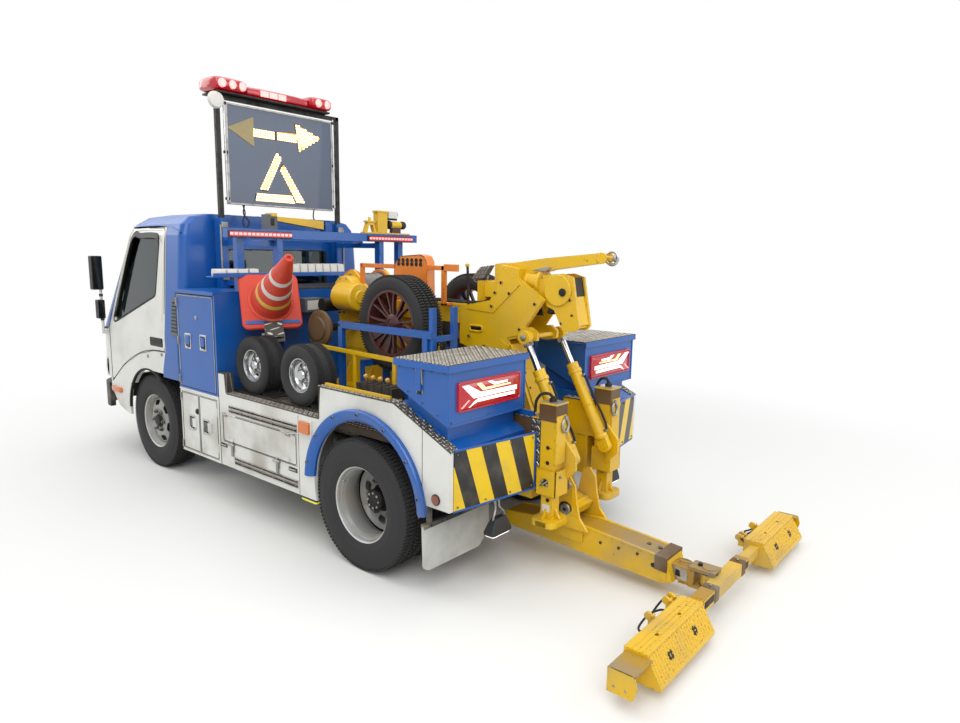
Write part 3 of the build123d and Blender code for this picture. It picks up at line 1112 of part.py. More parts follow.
# Cab lower: front panel and fenders, with the tilt lugs and the mirrors on their stays.
with BuildPart() as cab_lower:
    add(cab_walls.part)
    for name, hand in SIDES:
        slab(FENDER_LEG, (hand * (CAB_HALF - FENDER_T), hand * CAB_HALF))
    slab(lower_region, (-1000, 1000), mode=Mode.INTERSECT)
    for name, hand in SIDES:
        wheel_well = (hand * 500, hand * 1000)
        across(FRONT_ARCH[0][0], FRONT_ARCH[0][1], FRONT_ARCH[1], wheel_well, mode=Mode.SUBTRACT)
        block((2000, FRONT_ARCH[0][0] + FRONT_ARCH[1]), wheel_well, (300, FRONT_ARCH[0][1]),
              mode=Mode.SUBTRACT)
        block((2000, FRONT_ARCH[0][0]), wheel_well, (300, FRONT_ARCH[0][1] + FRONT_ARCH[1]),
              mode=Mode.SUBTRACT)
        headlamp(hand, 0, Mode.SUBTRACT)
        lug = (hand * LUG_Y[0], hand * LUG_Y[1])
        block((CAB_PIVOT[0] - 14, CAB_PIVOT[0] + 14), lug, (CAB_PIVOT[1], CAB_BOTTOM + 60))
        across(CAB_PIVOT[0], CAB_PIVOT[1], CAB_PIN_R + 8, lug)
        across(CAB_PIVOT[0], CAB_PIVOT[1], CAB_PIN_R + RUN_FIT, lug, mode=Mode.SUBTRACT)
        stay = hand * (CAB_HALF + MIRROR_Y + 12)
        block((MIRROR_X[0] + 8, MIRROR_X[0] + 38), (hand * (CAB_HALF - 5), stay), (1010, 1040))
        upright(MIRROR_X[0] + 26, stay, 11, (1010, MIRRORS[0][1][1] - 20))
        for reach, height in MIRRORS:
            block(MIRROR_X, (hand * (CAB_HALF + MIRROR_Y), hand * (CAB_HALF + MIRROR_Y + reach)), height)
cab_lower.part.label = "cab_lower"
export_step(cab_lower.part, "parts/cab_lower.step")

# Cab glass: windscreen, rear window and headlamp lenses, each seated in its opening.
with BuildPart() as cab_inside_glass:
    cab_skin(GLASS_INSET + GLASS_T)
with BuildPart() as cab_glass:
    cab_skin(GLASS_INSET)
    add(cab_inside_glass.part, mode=Mode.SUBTRACT)
    windscreen(SEAT_FIT, Mode.INTERSECT)
    block((CAB_REAR + GLASS_INSET, CAB_REAR + GLASS_INSET + GLASS_T),
          (REAR_WINDOW[0][0] + SEAT_FIT, REAR_WINDOW[0][1] - SEAT_FIT),
          (REAR_WINDOW[1][0] + SEAT_FIT, REAR_WINDOW[1][1] - SEAT_FIT))
    for name, hand in SIDES:
        with BuildPart(mode=Mode.PRIVATE) as lens:
            add(cab_walls.part)
            headlamp(hand, SEAT_FIT, Mode.INTERSECT)
        add(lens.part)
cab_glass.part.label = "cab_glass"
export_step(cab_glass.part, "parts/cab_glass.step")

# Cab doors, each with its window's glass.
for name, hand in SIDES:
    with BuildPart() as door:
        add(cab_walls.part)
        slab(DOOR_OUTLINE, (hand * DOOR_CUT, hand * 1000), mode=Mode.INTERSECT)
        door_window(hand, 0, Mode.SUBTRACT)
        slab(DOOR_RELIEF, (hand * DOOR_CUT, hand * (CAB_HALF - DOOR_LIP)), mode=Mode.SUBTRACT)
        block(HANDLE_CUP[0], (hand * (CAB_HALF - HANDLE_CUP[2]), hand * 1000), HANDLE_CUP[1],
              mode=Mode.SUBTRACT)
        for z in (680, 950):
            upright(DOOR_FRONT, hand * CAB_HALF, HINGE_R, (z, z + 60))
    door.part.label = f"cab_door_{name}"
    export_step(door.part, f"parts/cab_door_{name}.step")
    with BuildPart() as pane:
        cab_skin(GLASS_INSET)
        add(cab_inside_glass.part, mode=Mode.SUBTRACT)
        slab(((DOOR_REAR, 955), (DOOR_FRONT, 955), (DOOR_FRONT, DOOR_TOP), (DOOR_REAR, DOOR_TOP)),
             (hand * DOOR_CUT, hand * 1000), mode=Mode.INTERSECT)
        door_window(hand, SEAT_FIT, Mode.INTERSECT)
    pane.part.label = f"door_glass_{name}"
    export_step(pane.part, f"parts/door_glass_{name}.step")

# Seats on the hump.
SEAT_Y = (150, 640)
CUSHION = ((2440, 2950), (HUMP_TOP + SEAT_FIT, 1165))
BACK = ((2330, 2460), (HUMP_TOP + SEAT_FIT, 1640))
with BuildPart() as seats:
    for name, hand in SIDES:
        width = (hand * SEAT_Y[0], hand * SEAT_Y[1])
        block(CUSHION[0], width, CUSHION[1])
        block(BACK[0], width, BACK[1])
        block((BACK[0][0] + 20, BACK[0][1] - 20), (hand * 300, hand * 490), (BACK[1][1] - 1, 1790))
    fillet(seats.edges().filter_by(Axis.Z), 24)
seats.part.label = "seats"
export_step(seats.part, "parts/seats.step")

# Dashboard with its console, and the steering wheel on its column on the right.
DASH = ((3150, 3440), (-690, 690), (930, 1085))
WHEEL_AT = (3000, -395, 1350)
WHEEL_LEAN = 30
WHEEL_R = 205
wheel_plane = Plane(
    origin=(REAR_AXLE_X + WHEEL_AT[0], WHEEL_AT[1], WHEEL_AT[2]), x_dir=(0, 1, 0),
    z_dir=(-sin(radians(WHEEL_LEAN)), 0, cos(radians(WHEEL_LEAN))),
)
with BuildPart() as dashboard:
    block(*DASH)
    fillet(dashboard.edges().filter_by(Axis.Y), 30)
    block((3220, 3400), (-150, 150), (CAB_FLOOR + FLOOR_T + SEAT_FIT, DASH[2][0] + 40))
    with Locations(wheel_plane):
        Torus(WHEEL_R, 15)
        Cylinder(48, 40)
        Box(34, 2 * WHEEL_R, 12)
        with Locations((0, 0, -190)):
            Cylinder(26, 380)
dashboard.part.label = "dashboard"
export_step(dashboard.part, "parts/dashboard.step")
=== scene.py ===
import logging
import math
from collections.abc import Sequence
from dataclasses import dataclass
from enum import Enum

import bmesh
import bpy
from mathutils import Matrix, Vector


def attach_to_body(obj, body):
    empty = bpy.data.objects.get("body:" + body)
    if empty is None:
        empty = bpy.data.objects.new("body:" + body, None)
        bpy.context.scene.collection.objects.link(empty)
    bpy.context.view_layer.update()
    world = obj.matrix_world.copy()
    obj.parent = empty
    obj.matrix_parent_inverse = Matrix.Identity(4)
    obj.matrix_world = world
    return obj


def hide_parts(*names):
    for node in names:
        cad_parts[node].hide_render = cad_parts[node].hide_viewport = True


LOG = logging.getLogger("tow_truck")
Point = Sequence[float]
Span = tuple[float, float]
SIDES = (("left", 1), ("right", -1))
# The rear axle's place along the frame, in millimetres. Every size below is measured from it.
AXLE_X = -950.0
FRAME = Matrix.Scale(0.001, 4) @ Matrix.Translation((AXLE_X, 0, 0))
LOCAL = Matrix.Scale(0.001, 4)


def linear(code: str, alpha: float = 1.0) -> tuple[float, ...]:
    """Turns an sRGB hex colour to linear values.

    Args:
        code: The colour as #rrggbb.
        alpha: The value that follows the three colours.

    Returns:
        Red, green, blue and alpha.
    """
    values = [int(code[at : at + 2], 16) / 255 for at in (1, 3, 5)]
    return (*(v / 12.92 if v <= 0.04045 else ((v + 0.055) / 1.055) ** 2.4 for v in values), alpha)


def add(tree: bpy.types.NodeTree, kind: str, settings: dict | None = None,
        inputs: dict | None = None) -> bpy.types.Node:
    """Adds a node with its settings and links.

    Args:
        tree: The tree that gets the node.
        kind: The node's type.
        settings: Properties to set on it.
        inputs: Values, or sockets to link from, by input name or number.

    Returns:
        The node.
    """
    node = tree.nodes.new(kind)
    for name, value in (settings or {}).items():
        setattr(node, name, value)
    for name, value in (inputs or {}).items():
        if isinstance(value, bpy.types.NodeSocket):
            tree.links.new(value, node.inputs[name])
        else:
            node.inputs[name].default_value = value
    return node


class Plane(Enum):
    """The two axes that a flat pattern follows."""

    LEVEL = ("X", "Y")
    SIDE = ("X", "Z")
    CROSS = ("Y", "Z")


@dataclass(frozen=True)
class Finish:
    """A surface as it is made; each kind adds its own pattern to these values."""

    name: str
    colour: str
    roughness: float = 0.5
    metallic: float = 0.0
    ior: float = 1.5
    coat: float = 0.0
    glow: float = 0.0
    clear: float = 0.0

    def material(self) -> bpy.types.Material:
        """The finish's material, made the first time it is asked for."""
        return bpy.data.materials.get(self.name) or self.make()

    def make(self) -> bpy.types.Material:
        """Builds the material.

        Returns:
            The new material.
        """
        material = bpy.data.materials.new(self.name)
        material.use_nodes = True
        tree = material.node_tree
        tree.nodes.clear()
        shader = add(tree, "ShaderNodeBsdfPrincipled", inputs={
            "Base Color": linear(self.colour), "Roughness": self.roughness, "Metallic": self.metallic,
            "IOR": self.ior, "Coat Weight": self.coat, "Transmission Weight": self.clear,
            "Emission Color": linear(self.colour), "Emission Strength": self.glow,
        })
        output = add(tree, "ShaderNodeOutputMaterial", inputs={"Surface": shader.outputs[0]})
        output.is_active_output = True
        self.pattern(tree, shader, add(tree, "ShaderNodeTexCoord").outputs["Object"])
        return material

    def pattern(self, tree: bpy.types.NodeTree, shader: bpy.types.Node, place: bpy.types.NodeSocket) -> None:
        """Adds a faint mottle, as handled plastic and cast parts have.

        Args:
            tree: The material's nodes.
            shader: The surface that the pattern feeds.
            place: The place on the object, in metres.
        """
        cloud = noise(tree, place, 40)
        self.paint(tree, shader, blend(tree, cloud, linear(self.colour), dimmed(self.colour, 0.82)))
        rough(tree, shader, cloud, self.roughness, 0.12)
        bump(tree, shader, noise(tree, place, 900), 0.1)

    def paint(self, tree: bpy.types.NodeTree, shader: bpy.types.Node, colour: bpy.types.NodeSocket) -> None:
        """Puts a colour on the shader, and on its light where it glows.

        Args:
            tree: The material's nodes.
            shader: The surface.
            colour: The colour's socket.
        """
        tree.links.new(colour, shader.inputs["Base Color"])
        if self.glow:
            tree.links.new(colour, shader.inputs["Emission Color"])


def dimmed(code: str, share: float) -> tuple[float, ...]:
    """A hex colour turned to linear and darkened to a share of itself."""
    return (*(v * share for v in linear(code)[:3]), 1.0)


def noise(tree: bpy.types.NodeTree, place: bpy.types.NodeSocket, scale: float,
          detail: float = 4.0) -> bpy.types.NodeSocket:
    """A cloud noise's value; the scale is in waves a metre."""
    return add(tree, "ShaderNodeTexNoise", inputs={"Vector": place, "Scale": scale, "Detail": detail}).outputs["Fac"]


def sums(tree: bpy.types.NodeTree, operation: str, *values: object) -> bpy.types.NodeSocket:
    """The result of one sum on sockets or numbers."""
    return add(tree, "ShaderNodeMath", {"operation": operation}, dict(enumerate(values))).outputs[0]


def ramp(tree: bpy.types.NodeTree, value: object, low: float, high: float) -> bpy.types.NodeSocket:
    """A value's place between two limits, from 0 to 1."""
    return add(tree, "ShaderNodeMapRange", {"interpolation_type": "SMOOTHSTEP"},
               {"Value": value, "From Min": low, "From Max": high}).outputs[0]


def blend(tree: bpy.types.NodeTree, share: object, first: object, second: object) -> bpy.types.NodeSocket:
    """Two colours mixed by a share."""
    return add(tree, "ShaderNodeMix", {"data_type": "RGBA"}, {0: share, 6: first, 7: second}).outputs[2]


def axes(tree: bpy.types.NodeTree, place: bpy.types.NodeSocket) -> dict[str, bpy.types.NodeSocket]:
    """A place's three parts by their letters."""
    split = add(tree, "ShaderNodeSeparateXYZ", inputs={0: place})
    return {letter: split.outputs[letter] for letter in "XYZ"}


def rough(tree: bpy.types.NodeTree, shader: bpy.types.Node, share: bpy.types.NodeSocket, low: float,
          more: float) -> None:
    """Lets the roughness rise from low by a share of more."""
    tree.links.new(sums(tree, "MULTIPLY_ADD", share, more, low), shader.inputs["Roughness"])


def bump(tree: bpy.types.NodeTree, shader: bpy.types.Node, height: bpy.types.NodeSocket, strength: float,
         depth: float = 0.001, soft: float = 0.0) -> None:
    """Raises the surface by a height's pattern.

    Args:
        tree: The material's nodes.
        shader: The surface.
        height: The pattern, from 0 to 1.
        strength: How much of the depth shows.
        depth: The pattern's depth in metres.
        soft: The radius that rounds the edges, in metres.
    """
    inputs = {"Height": height, "Strength": strength, "Distance": depth}
    if soft:
        inputs["Normal"] = add(tree, "ShaderNodeBevel", {"samples": 4}, {"Radius": soft}).outputs[0]
    tree.links.new(add(tree, "ShaderNodeBump", inputs=inputs).outputs[0], shader.inputs["Normal"])


@dataclass(frozen=True)
class Enamel(Finish):
    """Sprayed and baked vehicle enamel: a glossy skin over steel, with road film and worn edges."""

    dust: float = 0.25
    worn: float = 0.0
    under: str = ""
    parting: float = 0.0
    roughness: float = 0.3
    coat: float = 0.35

    def pattern(self, tree: bpy.types.NodeTree, shader: bpy.types.Node, place: bpy.types.NodeSocket) -> None:
        """Adds road film low down, rubbed edges and the sprayed skin's slight waves.

        Args:
            tree: The material's nodes.
            shader: The surface that the pattern feeds.
            place: The place on the object, in metres.
        """
        height = axes(tree, place)["Z"]
        cloud = noise(tree, place, 3.5, 8.0)
        spots = noise(tree, place, 70, 6.0)
        base = linear(self.colour)
        if self.under:
            base = blend(tree, ramp(tree, height, self.parting - 0.0005, self.parting + 0.0005),
                         linear(self.under), base)
        tone = blend(tree, cloud, base, blend(tree, 0.14, base, (0.0, 0.0, 0.0, 1.0)))
        low = sums(tree, "MULTIPLY_ADD", ramp(tree, height, 1.1, 0.1), 0.75, 0.25)
        film = sums(tree, "MULTIPLY", sums(tree, "MULTIPLY", low, ramp(tree, cloud, 0.42, 0.75)), self.dust * 1.6)
        colour = blend(tree, film, tone, linear("#8a8374"))
        if self.worn:
            soft = add(tree, "ShaderNodeBevel", {"samples": 4}, {"Radius": 0.006}).outputs[0]
            flat = add(tree, "ShaderNodeNewGeometry").outputs["Normal"]
            turn = add(tree, "ShaderNodeVectorMath", {"operation": "DOT_PRODUCT"}, {0: soft, 1: flat}).outputs["Value"]
            edge = sums(tree, "MULTIPLY", ramp(tree, turn, 0.985, 0.86), ramp(tree, spots, 0.5, 0.62))
            scuff = ramp(tree, sums(tree, "MULTIPLY", spots, noise(tree, place, 9)), 0.40, 0.46)
            mask = sums(tree, "MULTIPLY", sums(tree, "MAXIMUM", edge, scuff), self.worn)
            colour = blend(tree, mask, colour, linear("#4b3d2c"))
        self.paint(tree, shader, colour)
        rough(tree, shader, film, self.roughness, 0.5)
        bump(tree, shader, spots, 0.06, 0.0008, 0.002)


@dataclass(frozen=True)
class Metal(Finish):
    """Bare metal: its own colour in the reflection, with rubbed and dull patches."""

    metallic: float = 1.0
    stain: str = "#3a3631"
    soiled: float = 0.3

    def pattern(self, tree: bpy.types.NodeTree, shader: bpy.types.Node, place: bpy.types.NodeSocket) -> None:
        """Adds stains and fine scratches.

        Args:
            tree: The material's nodes.
            shader: The surface that the pattern feeds.
            place: The place on the object, in metres.
        """
        cloud = noise(tree, place, 16, 8.0)
        dirt = sums(tree, "MULTIPLY", ramp(tree, cloud, 0.45, 0.7), self.soiled)
        self.paint(tree, shader, blend(tree, dirt, linear(self.colour), linear(self.stain)))
        rough(tree, shader, dirt, self.roughness, 0.45)
        bump(tree, shader, noise(tree, place, 450), 0.05, 0.0005, 0.0015)


@dataclass(frozen=True)
class Chequer(Metal):
    """Rolled chequer plate: short raised bars that cross from cell to cell, rubbed bright on top."""

    pitch: float = 0.03
    plane: Plane = Plane.LEVEL
    top: str = "#b6afa4"

    def pattern(self, tree: bpy.types.NodeTree, shader: bpy.types.Node, place: bpy.types.NodeSocket) -> None:
        """Adds the raised bars and the dirt between them.

        Args:
            tree: The material's nodes.
            shader: The surface that the pattern feeds.
            place: The place on the object, in metres.
        """
        parts = axes(tree, place)
        cells = [sums(tree, "DIVIDE", parts[letter], self.pitch) for letter in self.plane.value]
        steps = [sums(tree, "FLOOR", cell) for cell in cells]
        odd = sums(tree, "FLOORED_MODULO", sums(tree, "ADD", *steps), 2.0)
        turn = sums(tree, "MULTIPLY_ADD", odd, 2.0, -1.0)
        local = [sums(tree, "SUBTRACT", sums(tree, "FRACT", cell), 0.5) for cell in cells]
        along = sums(tree, "MULTIPLY_ADD", local[1], turn, local[0])
        aside = sums(tree, "MULTIPLY_ADD", sums(tree, "MULTIPLY", local[1], turn), -1.0, local[0])
        reach = sums(tree, "ADD", sums(tree, "POWER", sums(tree, "DIVIDE", along, 0.66), 2.0),
                     sums(tree, "POWER", sums(tree, "DIVIDE", aside, 0.2), 2.0))
        raised = ramp(tree, reach, 1.1, 0.55)
        cloud = noise(tree, place, 7, 8.0)
        colour = blend(tree, raised, blend(tree, cloud, linear(self.colour), linear(self.stain)), linear(self.top))
        self.paint(tree, shader, colour)
        rough(tree, shader, sums(tree, "SUBTRACT", 1.0, raised), self.roughness, 0.3)
        bump(tree, shader, raised, 0.9, 0.0018)


@dataclass(frozen=True)
class Rubber(Finish):
    """Filled black rubber: dull and grey-brown where road dust has settled."""

    roughness: float = 0.78
    dust: str = "#4c4842"
    settled: float = 0.35

    def pattern(self, tree: bpy.types.NodeTree, shader: bpy.types.Node, place: bpy.types.NodeSocket) -> None:
        """Adds dust and the mould's fine grain.

        Args:
            tree: The material's nodes.
            shader: The surface that the pattern feeds.
            place: The place on the object, in metres.
        """
        cloud = ramp(tree, noise(tree, place, 12, 8.0), 0.38, 0.72)
        self.paint(tree, shader, blend(tree, sums(tree, "MULTIPLY", cloud, self.settled), linear(self.colour),
                                       linear(self.dust)))
        rough(tree, shader, cloud, self.roughness, 0.15)
        bump(tree, shader, noise(tree, place, 700), 0.25, 0.0006)


@dataclass(frozen=True)
class Striped(Enamel):
    """Reflective film in slanting bands: each second band is black."""

    band: str = "#17181a"
    width: float = 0.095
    slant: float = 0.32

    def pattern(self, tree: bpy.types.NodeTree, shader: bpy.types.Node, place: bpy.types.NodeSocket) -> None:
        """Adds the bands, which lean out at the top on both sides of the truck.

        Args:
            tree: The material's nodes.
            shader: The surface that the pattern feeds.
            place: The place on the object, in metres.
        """
        parts = axes(tree, place)
        out = sums(tree, "ABSOLUTE", parts["Y"])
        run = sums(tree, "MULTIPLY_ADD", parts["Z"], -self.slant, out)
        phase = sums(tree, "FRACT", sums(tree, "DIVIDE", sums(tree, "ADD", run, -0.005), 2 * self.width))
        band = ramp(tree, phase, 0.498, 0.502)
        film = sums(tree, "MULTIPLY", ramp(tree, noise(tree, place, 8, 8.0), 0.42, 0.75), self.dust)
        colour = blend(tree, film, blend(tree, band, linear(self.band), linear(self.colour)), linear("#7d7565"))
        self.paint(tree, shader, colour)
        rough(tree, shader, film, self.roughness, 0.4)
        bump(tree, shader, noise(tree, place, 500), 0.08, 0.0004)


@dataclass(frozen=True)
class Pane(Finish):
    """Float glass or clear moulding: it shows what lies behind, a little tinted."""

    roughness: float = 0.02
    clear: float = 1.0
    smear: float = 0.08

    def pattern(self, tree: bpy.types.NodeTree, shader: bpy.types.Node, place: bpy.types.NodeSocket) -> None:
        """Adds wiped smears to the gloss."""
        rough(tree, shader, ramp(tree, noise(tree, place, 5, 6.0), 0.45, 0.75), self.roughness, self.smear)


@dataclass(frozen=True)
class Ribbed(Finish):
    """Moulded lens plastic: coloured all through, with fine optic ribs inside."""

    roughness: float = 0.12
    coat: float = 0.6
    rib: float = 0.006
    plane: Plane = Plane.CROSS

    def pattern(self, tree: bpy.types.NodeTree, shader: bpy.types.Node, place: bpy.types.NodeSocket) -> None:
        """Adds the ribs' relief and the deeper colour between them.

        Args:
            tree: The material's nodes.
            shader: The surface that the pattern feeds.
            place: The place on the object, in metres.
        """
        parts = axes(tree, place)
        waves = [sums(tree, "SINE", sums(tree, "MULTIPLY", parts[letter], math.tau / self.rib))
                 for letter in self.plane.value]
        relief = sums(tree, "MULTIPLY_ADD", sums(tree, "ADD", *waves), 0.25, 0.5)
        self.paint(tree, shader, blend(tree, relief, dimmed(self.colour, 0.7), linear(self.colour)))
        rough(tree, shader, noise(tree, place, 30), self.roughness, 0.08)
        bump(tree, shader, relief, 0.3, 0.0006)


@dataclass(frozen=True)
class Woven(Finish):
    """Woven seat cloth: crossing threads with a soft sheen at the edges."""

    roughness: float = 0.85
    thread: float = 0.003

    def pattern(self, tree: bpy.types.NodeTree, shader: bpy.types.Node, place: bpy.types.NodeSocket) -> None:
        """Adds the threads; they are drawn thicker than real so that they show.

        Args:
            tree: The material's nodes.
            shader: The surface that the pattern feeds.
            place: The place on the object, in metres.
        """
        shader.inputs["Sheen Weight"].default_value = 0.3
        parts = axes(tree, place)
        waves = [sums(tree, "SINE", sums(tree, "MULTIPLY", parts[letter], math.tau / self.thread)) for letter in "XYZ"]
        weave = sums(tree, "MULTIPLY_ADD", sums(tree, "ADD", sums(tree, "ADD", waves[0], waves[1]), waves[2]), 0.16,
                     0.5)
        self.paint(tree, shader, blend(tree, weave, dimmed(self.colour, 0.6), linear(self.colour)))
        rough(tree, shader, weave, self.roughness, 0.1)
        bump(tree, shader, weave, 0.5, 0.001)


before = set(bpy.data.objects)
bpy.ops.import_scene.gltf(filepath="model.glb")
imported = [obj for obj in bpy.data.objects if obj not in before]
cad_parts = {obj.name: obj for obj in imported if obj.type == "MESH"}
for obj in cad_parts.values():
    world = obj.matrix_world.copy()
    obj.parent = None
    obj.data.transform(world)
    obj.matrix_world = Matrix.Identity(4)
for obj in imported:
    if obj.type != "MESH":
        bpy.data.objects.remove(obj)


def settle(holder: bpy.types.Object) -> None:
    """Turns an object's modifiers into its plain mesh."""
    graph = bpy.context.evaluated_depsgraph_get()
    mesh = bpy.data.meshes.new_from_object(holder.evaluated_get(graph))
    holder.modifiers.clear()
    holder.data = mesh


def finished(holder: bpy.types.Object, sharp: float = 35.0, even: bool = False) -> bpy.types.Object:
    """Applies an object's modifiers and smooths all but its sharp edges.

    Args:
        holder: The object.
        sharp: The angle in degrees past which an edge stays sharp.
        even: Whether large faces keep flat shading up to their rounded edges.

    Returns:
        The same object with a plain mesh.
    """
    if holder.modifiers:
        settle(holder)
    holder.data.shade_smooth()
    holder.data.set_sharp_from_angle(angle=math.radians(sharp))
    if even:
        holder.modifiers.new("even", "WEIGHTED_NORMAL").keep_sharp = True
        settle(holder)
    return holder


class Form:
    """A mesh being built, in millimetres from the rear axle; its faces take the finish in use."""

    def __init__(self, finish: Finish) -> None:
        """Starts an empty mesh in one finish."""
        self.mesh = bmesh.new()
        self.finishes = [finish]
        self.slot = 0

    def use(self, finish: Finish) -> "Form":
        """Gives the faces that follow this finish, and returns the form."""
        if finish not in self.finishes:
            self.finishes.append(finish)
        self.slot = self.finishes.index(finish)
        return self

    def face(self, corners: Sequence[bmesh.types.BMVert]) -> None:
        """Adds one face in the finish in use."""
        self.mesh.faces.new(corners).material_index = self.slot

    def rows(self, rows: Sequence[Sequence[Point]], around: bool = False, along: bool = False,
             caps: bool = False) -> "Form":
        """Joins rows of points by faces.

        Args:
            rows: Rows of as many points each.
            around: Whether each row closes on itself.
            along: Whether the last row joins the first.
            caps: Whether a face closes the first and last rows.

        Returns:
            The form.
        """
        made = [[self.mesh.verts.new(p) for p in row] for row in rows]
        for i in range(len(made) - (not along)):
            near, far = made[i], made[(i + 1) % len(made)]
            for j in range(len(near) - (not around)):
                k = (j + 1) % len(near)
                self.face((near[j], near[k], far[k], far[j]))
        if caps:
            self.face(made[0][::-1])
            self.face(made[-1])
        return self

    def loft(self, rows: Sequence[Sequence[Point]]) -> "Form":
        """Joins closed rows of points by faces, with a face over each end."""
        return self.rows(rows, around=True, caps=True)

    def slab(self, outline: Sequence[Span], y: Span) -> "Form":
        """Adds a plate of an outline in X and Z between two widths."""
        return self.loft([[(a, w, b) for a, b in outline] for w in y])

    def sheet(self, outline: Sequence[Span], z: Span) -> "Form":
        """Adds a plate of an outline in X and Y between two heights."""
        return self.loft([[(a, b, h) for a, b in outline] for h in z])

    def board(self, outline: Sequence[Span], x: Span) -> "Form":
        """Adds a plate of an outline in Y and Z between two places along the truck."""
        return self.loft([[(d, a, b) for a, b in outline] for d in x])

    def block(self, x: Span, y: Span, z: Span) -> "Form":
        """Adds a right-angled bar between two ends along each axis."""
        return self.sheet(((x[0], y[0]), (x[1], y[0]), (x[1], y[1]), (x[0], y[1])), z)

    def lathe(self, profile: Sequence[Span], centre: Point, axis: Point = (0, 1, 0), sides: int = 40,
              ring: bool = False) -> "Form":
        """Turns a profile about an axis.

        Args:
            profile: Points as (radius, place along the axis).
            centre: A point on the axis.
            axis: The axis's direction.
            sides: How many faces go round.
            ring: Whether the profile closes on itself; else its ends are capped.

        Returns:
            The form.
        """
        middle, line = Vector(centre), Vector(axis).normalized()
        one = line.orthogonal().normalized()
        two = line.cross(one)
        turns = [(math.cos(math.tau * n / sides), math.sin(math.tau * n / sides)) for n in range(sides)]
        made = [[middle + line * d + (one * c + two * s) * r for c, s in turns] for r, d in profile]
        return self.rows(made, around=True, along=ring, caps=not ring)

    def rod(self, start: Point, end: Point, radius: float, tip: float | None = None, sides: int = 20) -> "Form":
        """Adds a round bar between two points, with small chamfers at its ends.

        Args:
            start: Its first end.
            end: Its other end.
            radius: Its radius at the start.
            tip: Its radius at the end, if that differs.
            sides: How many faces go round.

        Returns:
            The form.
        """
        run = Vector(end) - Vector(start)
        last = radius if tip is None else tip
        cut = min(1.5, radius / 3, run.length / 4)
        profile = ((radius - cut, 0), (radius, cut), (last, run.length - cut), (last - min(cut, last / 2), run.length))
        return self.lathe(profile, start, run, sides)

    def pipe(self, points: Sequence[Point], radius: float, sides: int = 12, smooth: int = 0,
             loop: bool = False) -> "Form":
        """Sweeps a round section along a line.

        Args:
            points: The line's points.
            radius: The section's radius.
            sides: How many faces go round.
            smooth: How many points a smooth curve puts between each two.
            loop: Whether the line closes on itself.

        Returns:
            The form.
        """
        line = [Vector(p) for p in points]
        if smooth:
            line = curved(line, smooth, loop)
        count = len(line)
        rows, side = [], None
        for i, point in enumerate(line):
            before = line[i - 1] if i or loop else point
            after = line[(i + 1) % count] if i + 1 < count or loop else point
            run = (after - before).normalized()
            side = run.orthogonal() if side is None else side - run * side.dot(run)
            side.normalize()
            other = run.cross(side)
            stretch = 1.0
            if (i and i + 1 < count) or loop:
                lean = (point - before).normalized().dot(run)
                stretch = 1 / max(0.5, lean)
            bend = ((after - point).normalized() - (point - before).normalized()) if stretch > 1.001 else Vector()
            bend = bend.normalized() if bend.length > 1e-6 else bend
            ring = []
            for n in range(sides):
                arm = (side * math.cos(math.tau * n / sides) + other * math.sin(math.tau * n / sides)) * radius
                ring.append(point + arm + bend * arm.dot(bend) * (stretch - 1))
            rows.append(ring)
        return self.rows(rows, around=True, along=loop, caps=not loop)

    def object(self, name: str, sharp: float = 35.0, bevel: float = 0.0, thick: float = 0.0, levels: int = 0,
               place: Matrix = FRAME) -> bpy.types.Object:
        """Turns the form into an object with a plain mesh.

        Args:
            name: The object's name.
            sharp: The angle past which an edge stays sharp.
            bevel: The width of the rounded edges, in millimetres.
            thick: A wall to give an open surface, in millimetres.
            levels: Subdivision levels.
            place: What takes the form's points to the object's.

        Returns:
            The object.
        """
        bmesh.ops.transform(self.mesh, matrix=place, verts=self.mesh.verts)
        bmesh.ops.recalc_face_normals(self.mesh, faces=self.mesh.faces)
        data = bpy.data.meshes.new(name)
        self.mesh.to_mesh(data)
        self.mesh.free()
        for finish in self.finishes:
            data.materials.append(finish.material())
        holder = bpy.data.objects.new(name, data)
        bpy.context.scene.collection.objects.link(holder)
        if thick:
            wall = holder.modifiers.new("wall", "SOLIDIFY")
            wall.thickness, wall.offset = abs(thick) / 1000, -1 if thick > 0 else 1
            wall.use_even_offset = True
        if levels:
            rounding = holder.modifiers.new("rounding", "SUBSURF")
            rounding.levels = rounding.render_levels = levels
        if bevel:
            edge = holder.modifiers.new("edge", "BEVEL")
            edge.width, edge.segments, edge.limit_method = bevel / 1000, 2, "ANGLE"
            edge.angle_limit = math.radians(38)
        return finished(holder, sharp, bevel > 0)

    def piece(self, name: str, body: str, slot: str = "", replaces: Sequence[str] = (),
              **finish: float) -> bpy.types.Object:
        """Turns the form into a piece that rides on a body.

        Args:
            name: The piece's name.
            body: The body that carries it.
            slot: Not used.
            replaces: The construction nodes that it stands for.
            finish: What object() takes.

        Returns:
            The piece.
        """
        finish.setdefault("bevel", 1.5)
        return attach(self.object(name, **finish), body, replaces)


def attach(holder: bpy.types.Object, body: str, replaces: Sequence[str] = ()) -> bpy.types.Object:
    """Makes an object ride on a body, and hides the nodes that it stands for.

    Args:
        holder: The object.
        body: The body that carries it.
        replaces: The construction nodes that it stands for.

    Returns:
        The object.
    """
    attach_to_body(holder, body)
    if replaces:
        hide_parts(*replaces)
    return holder


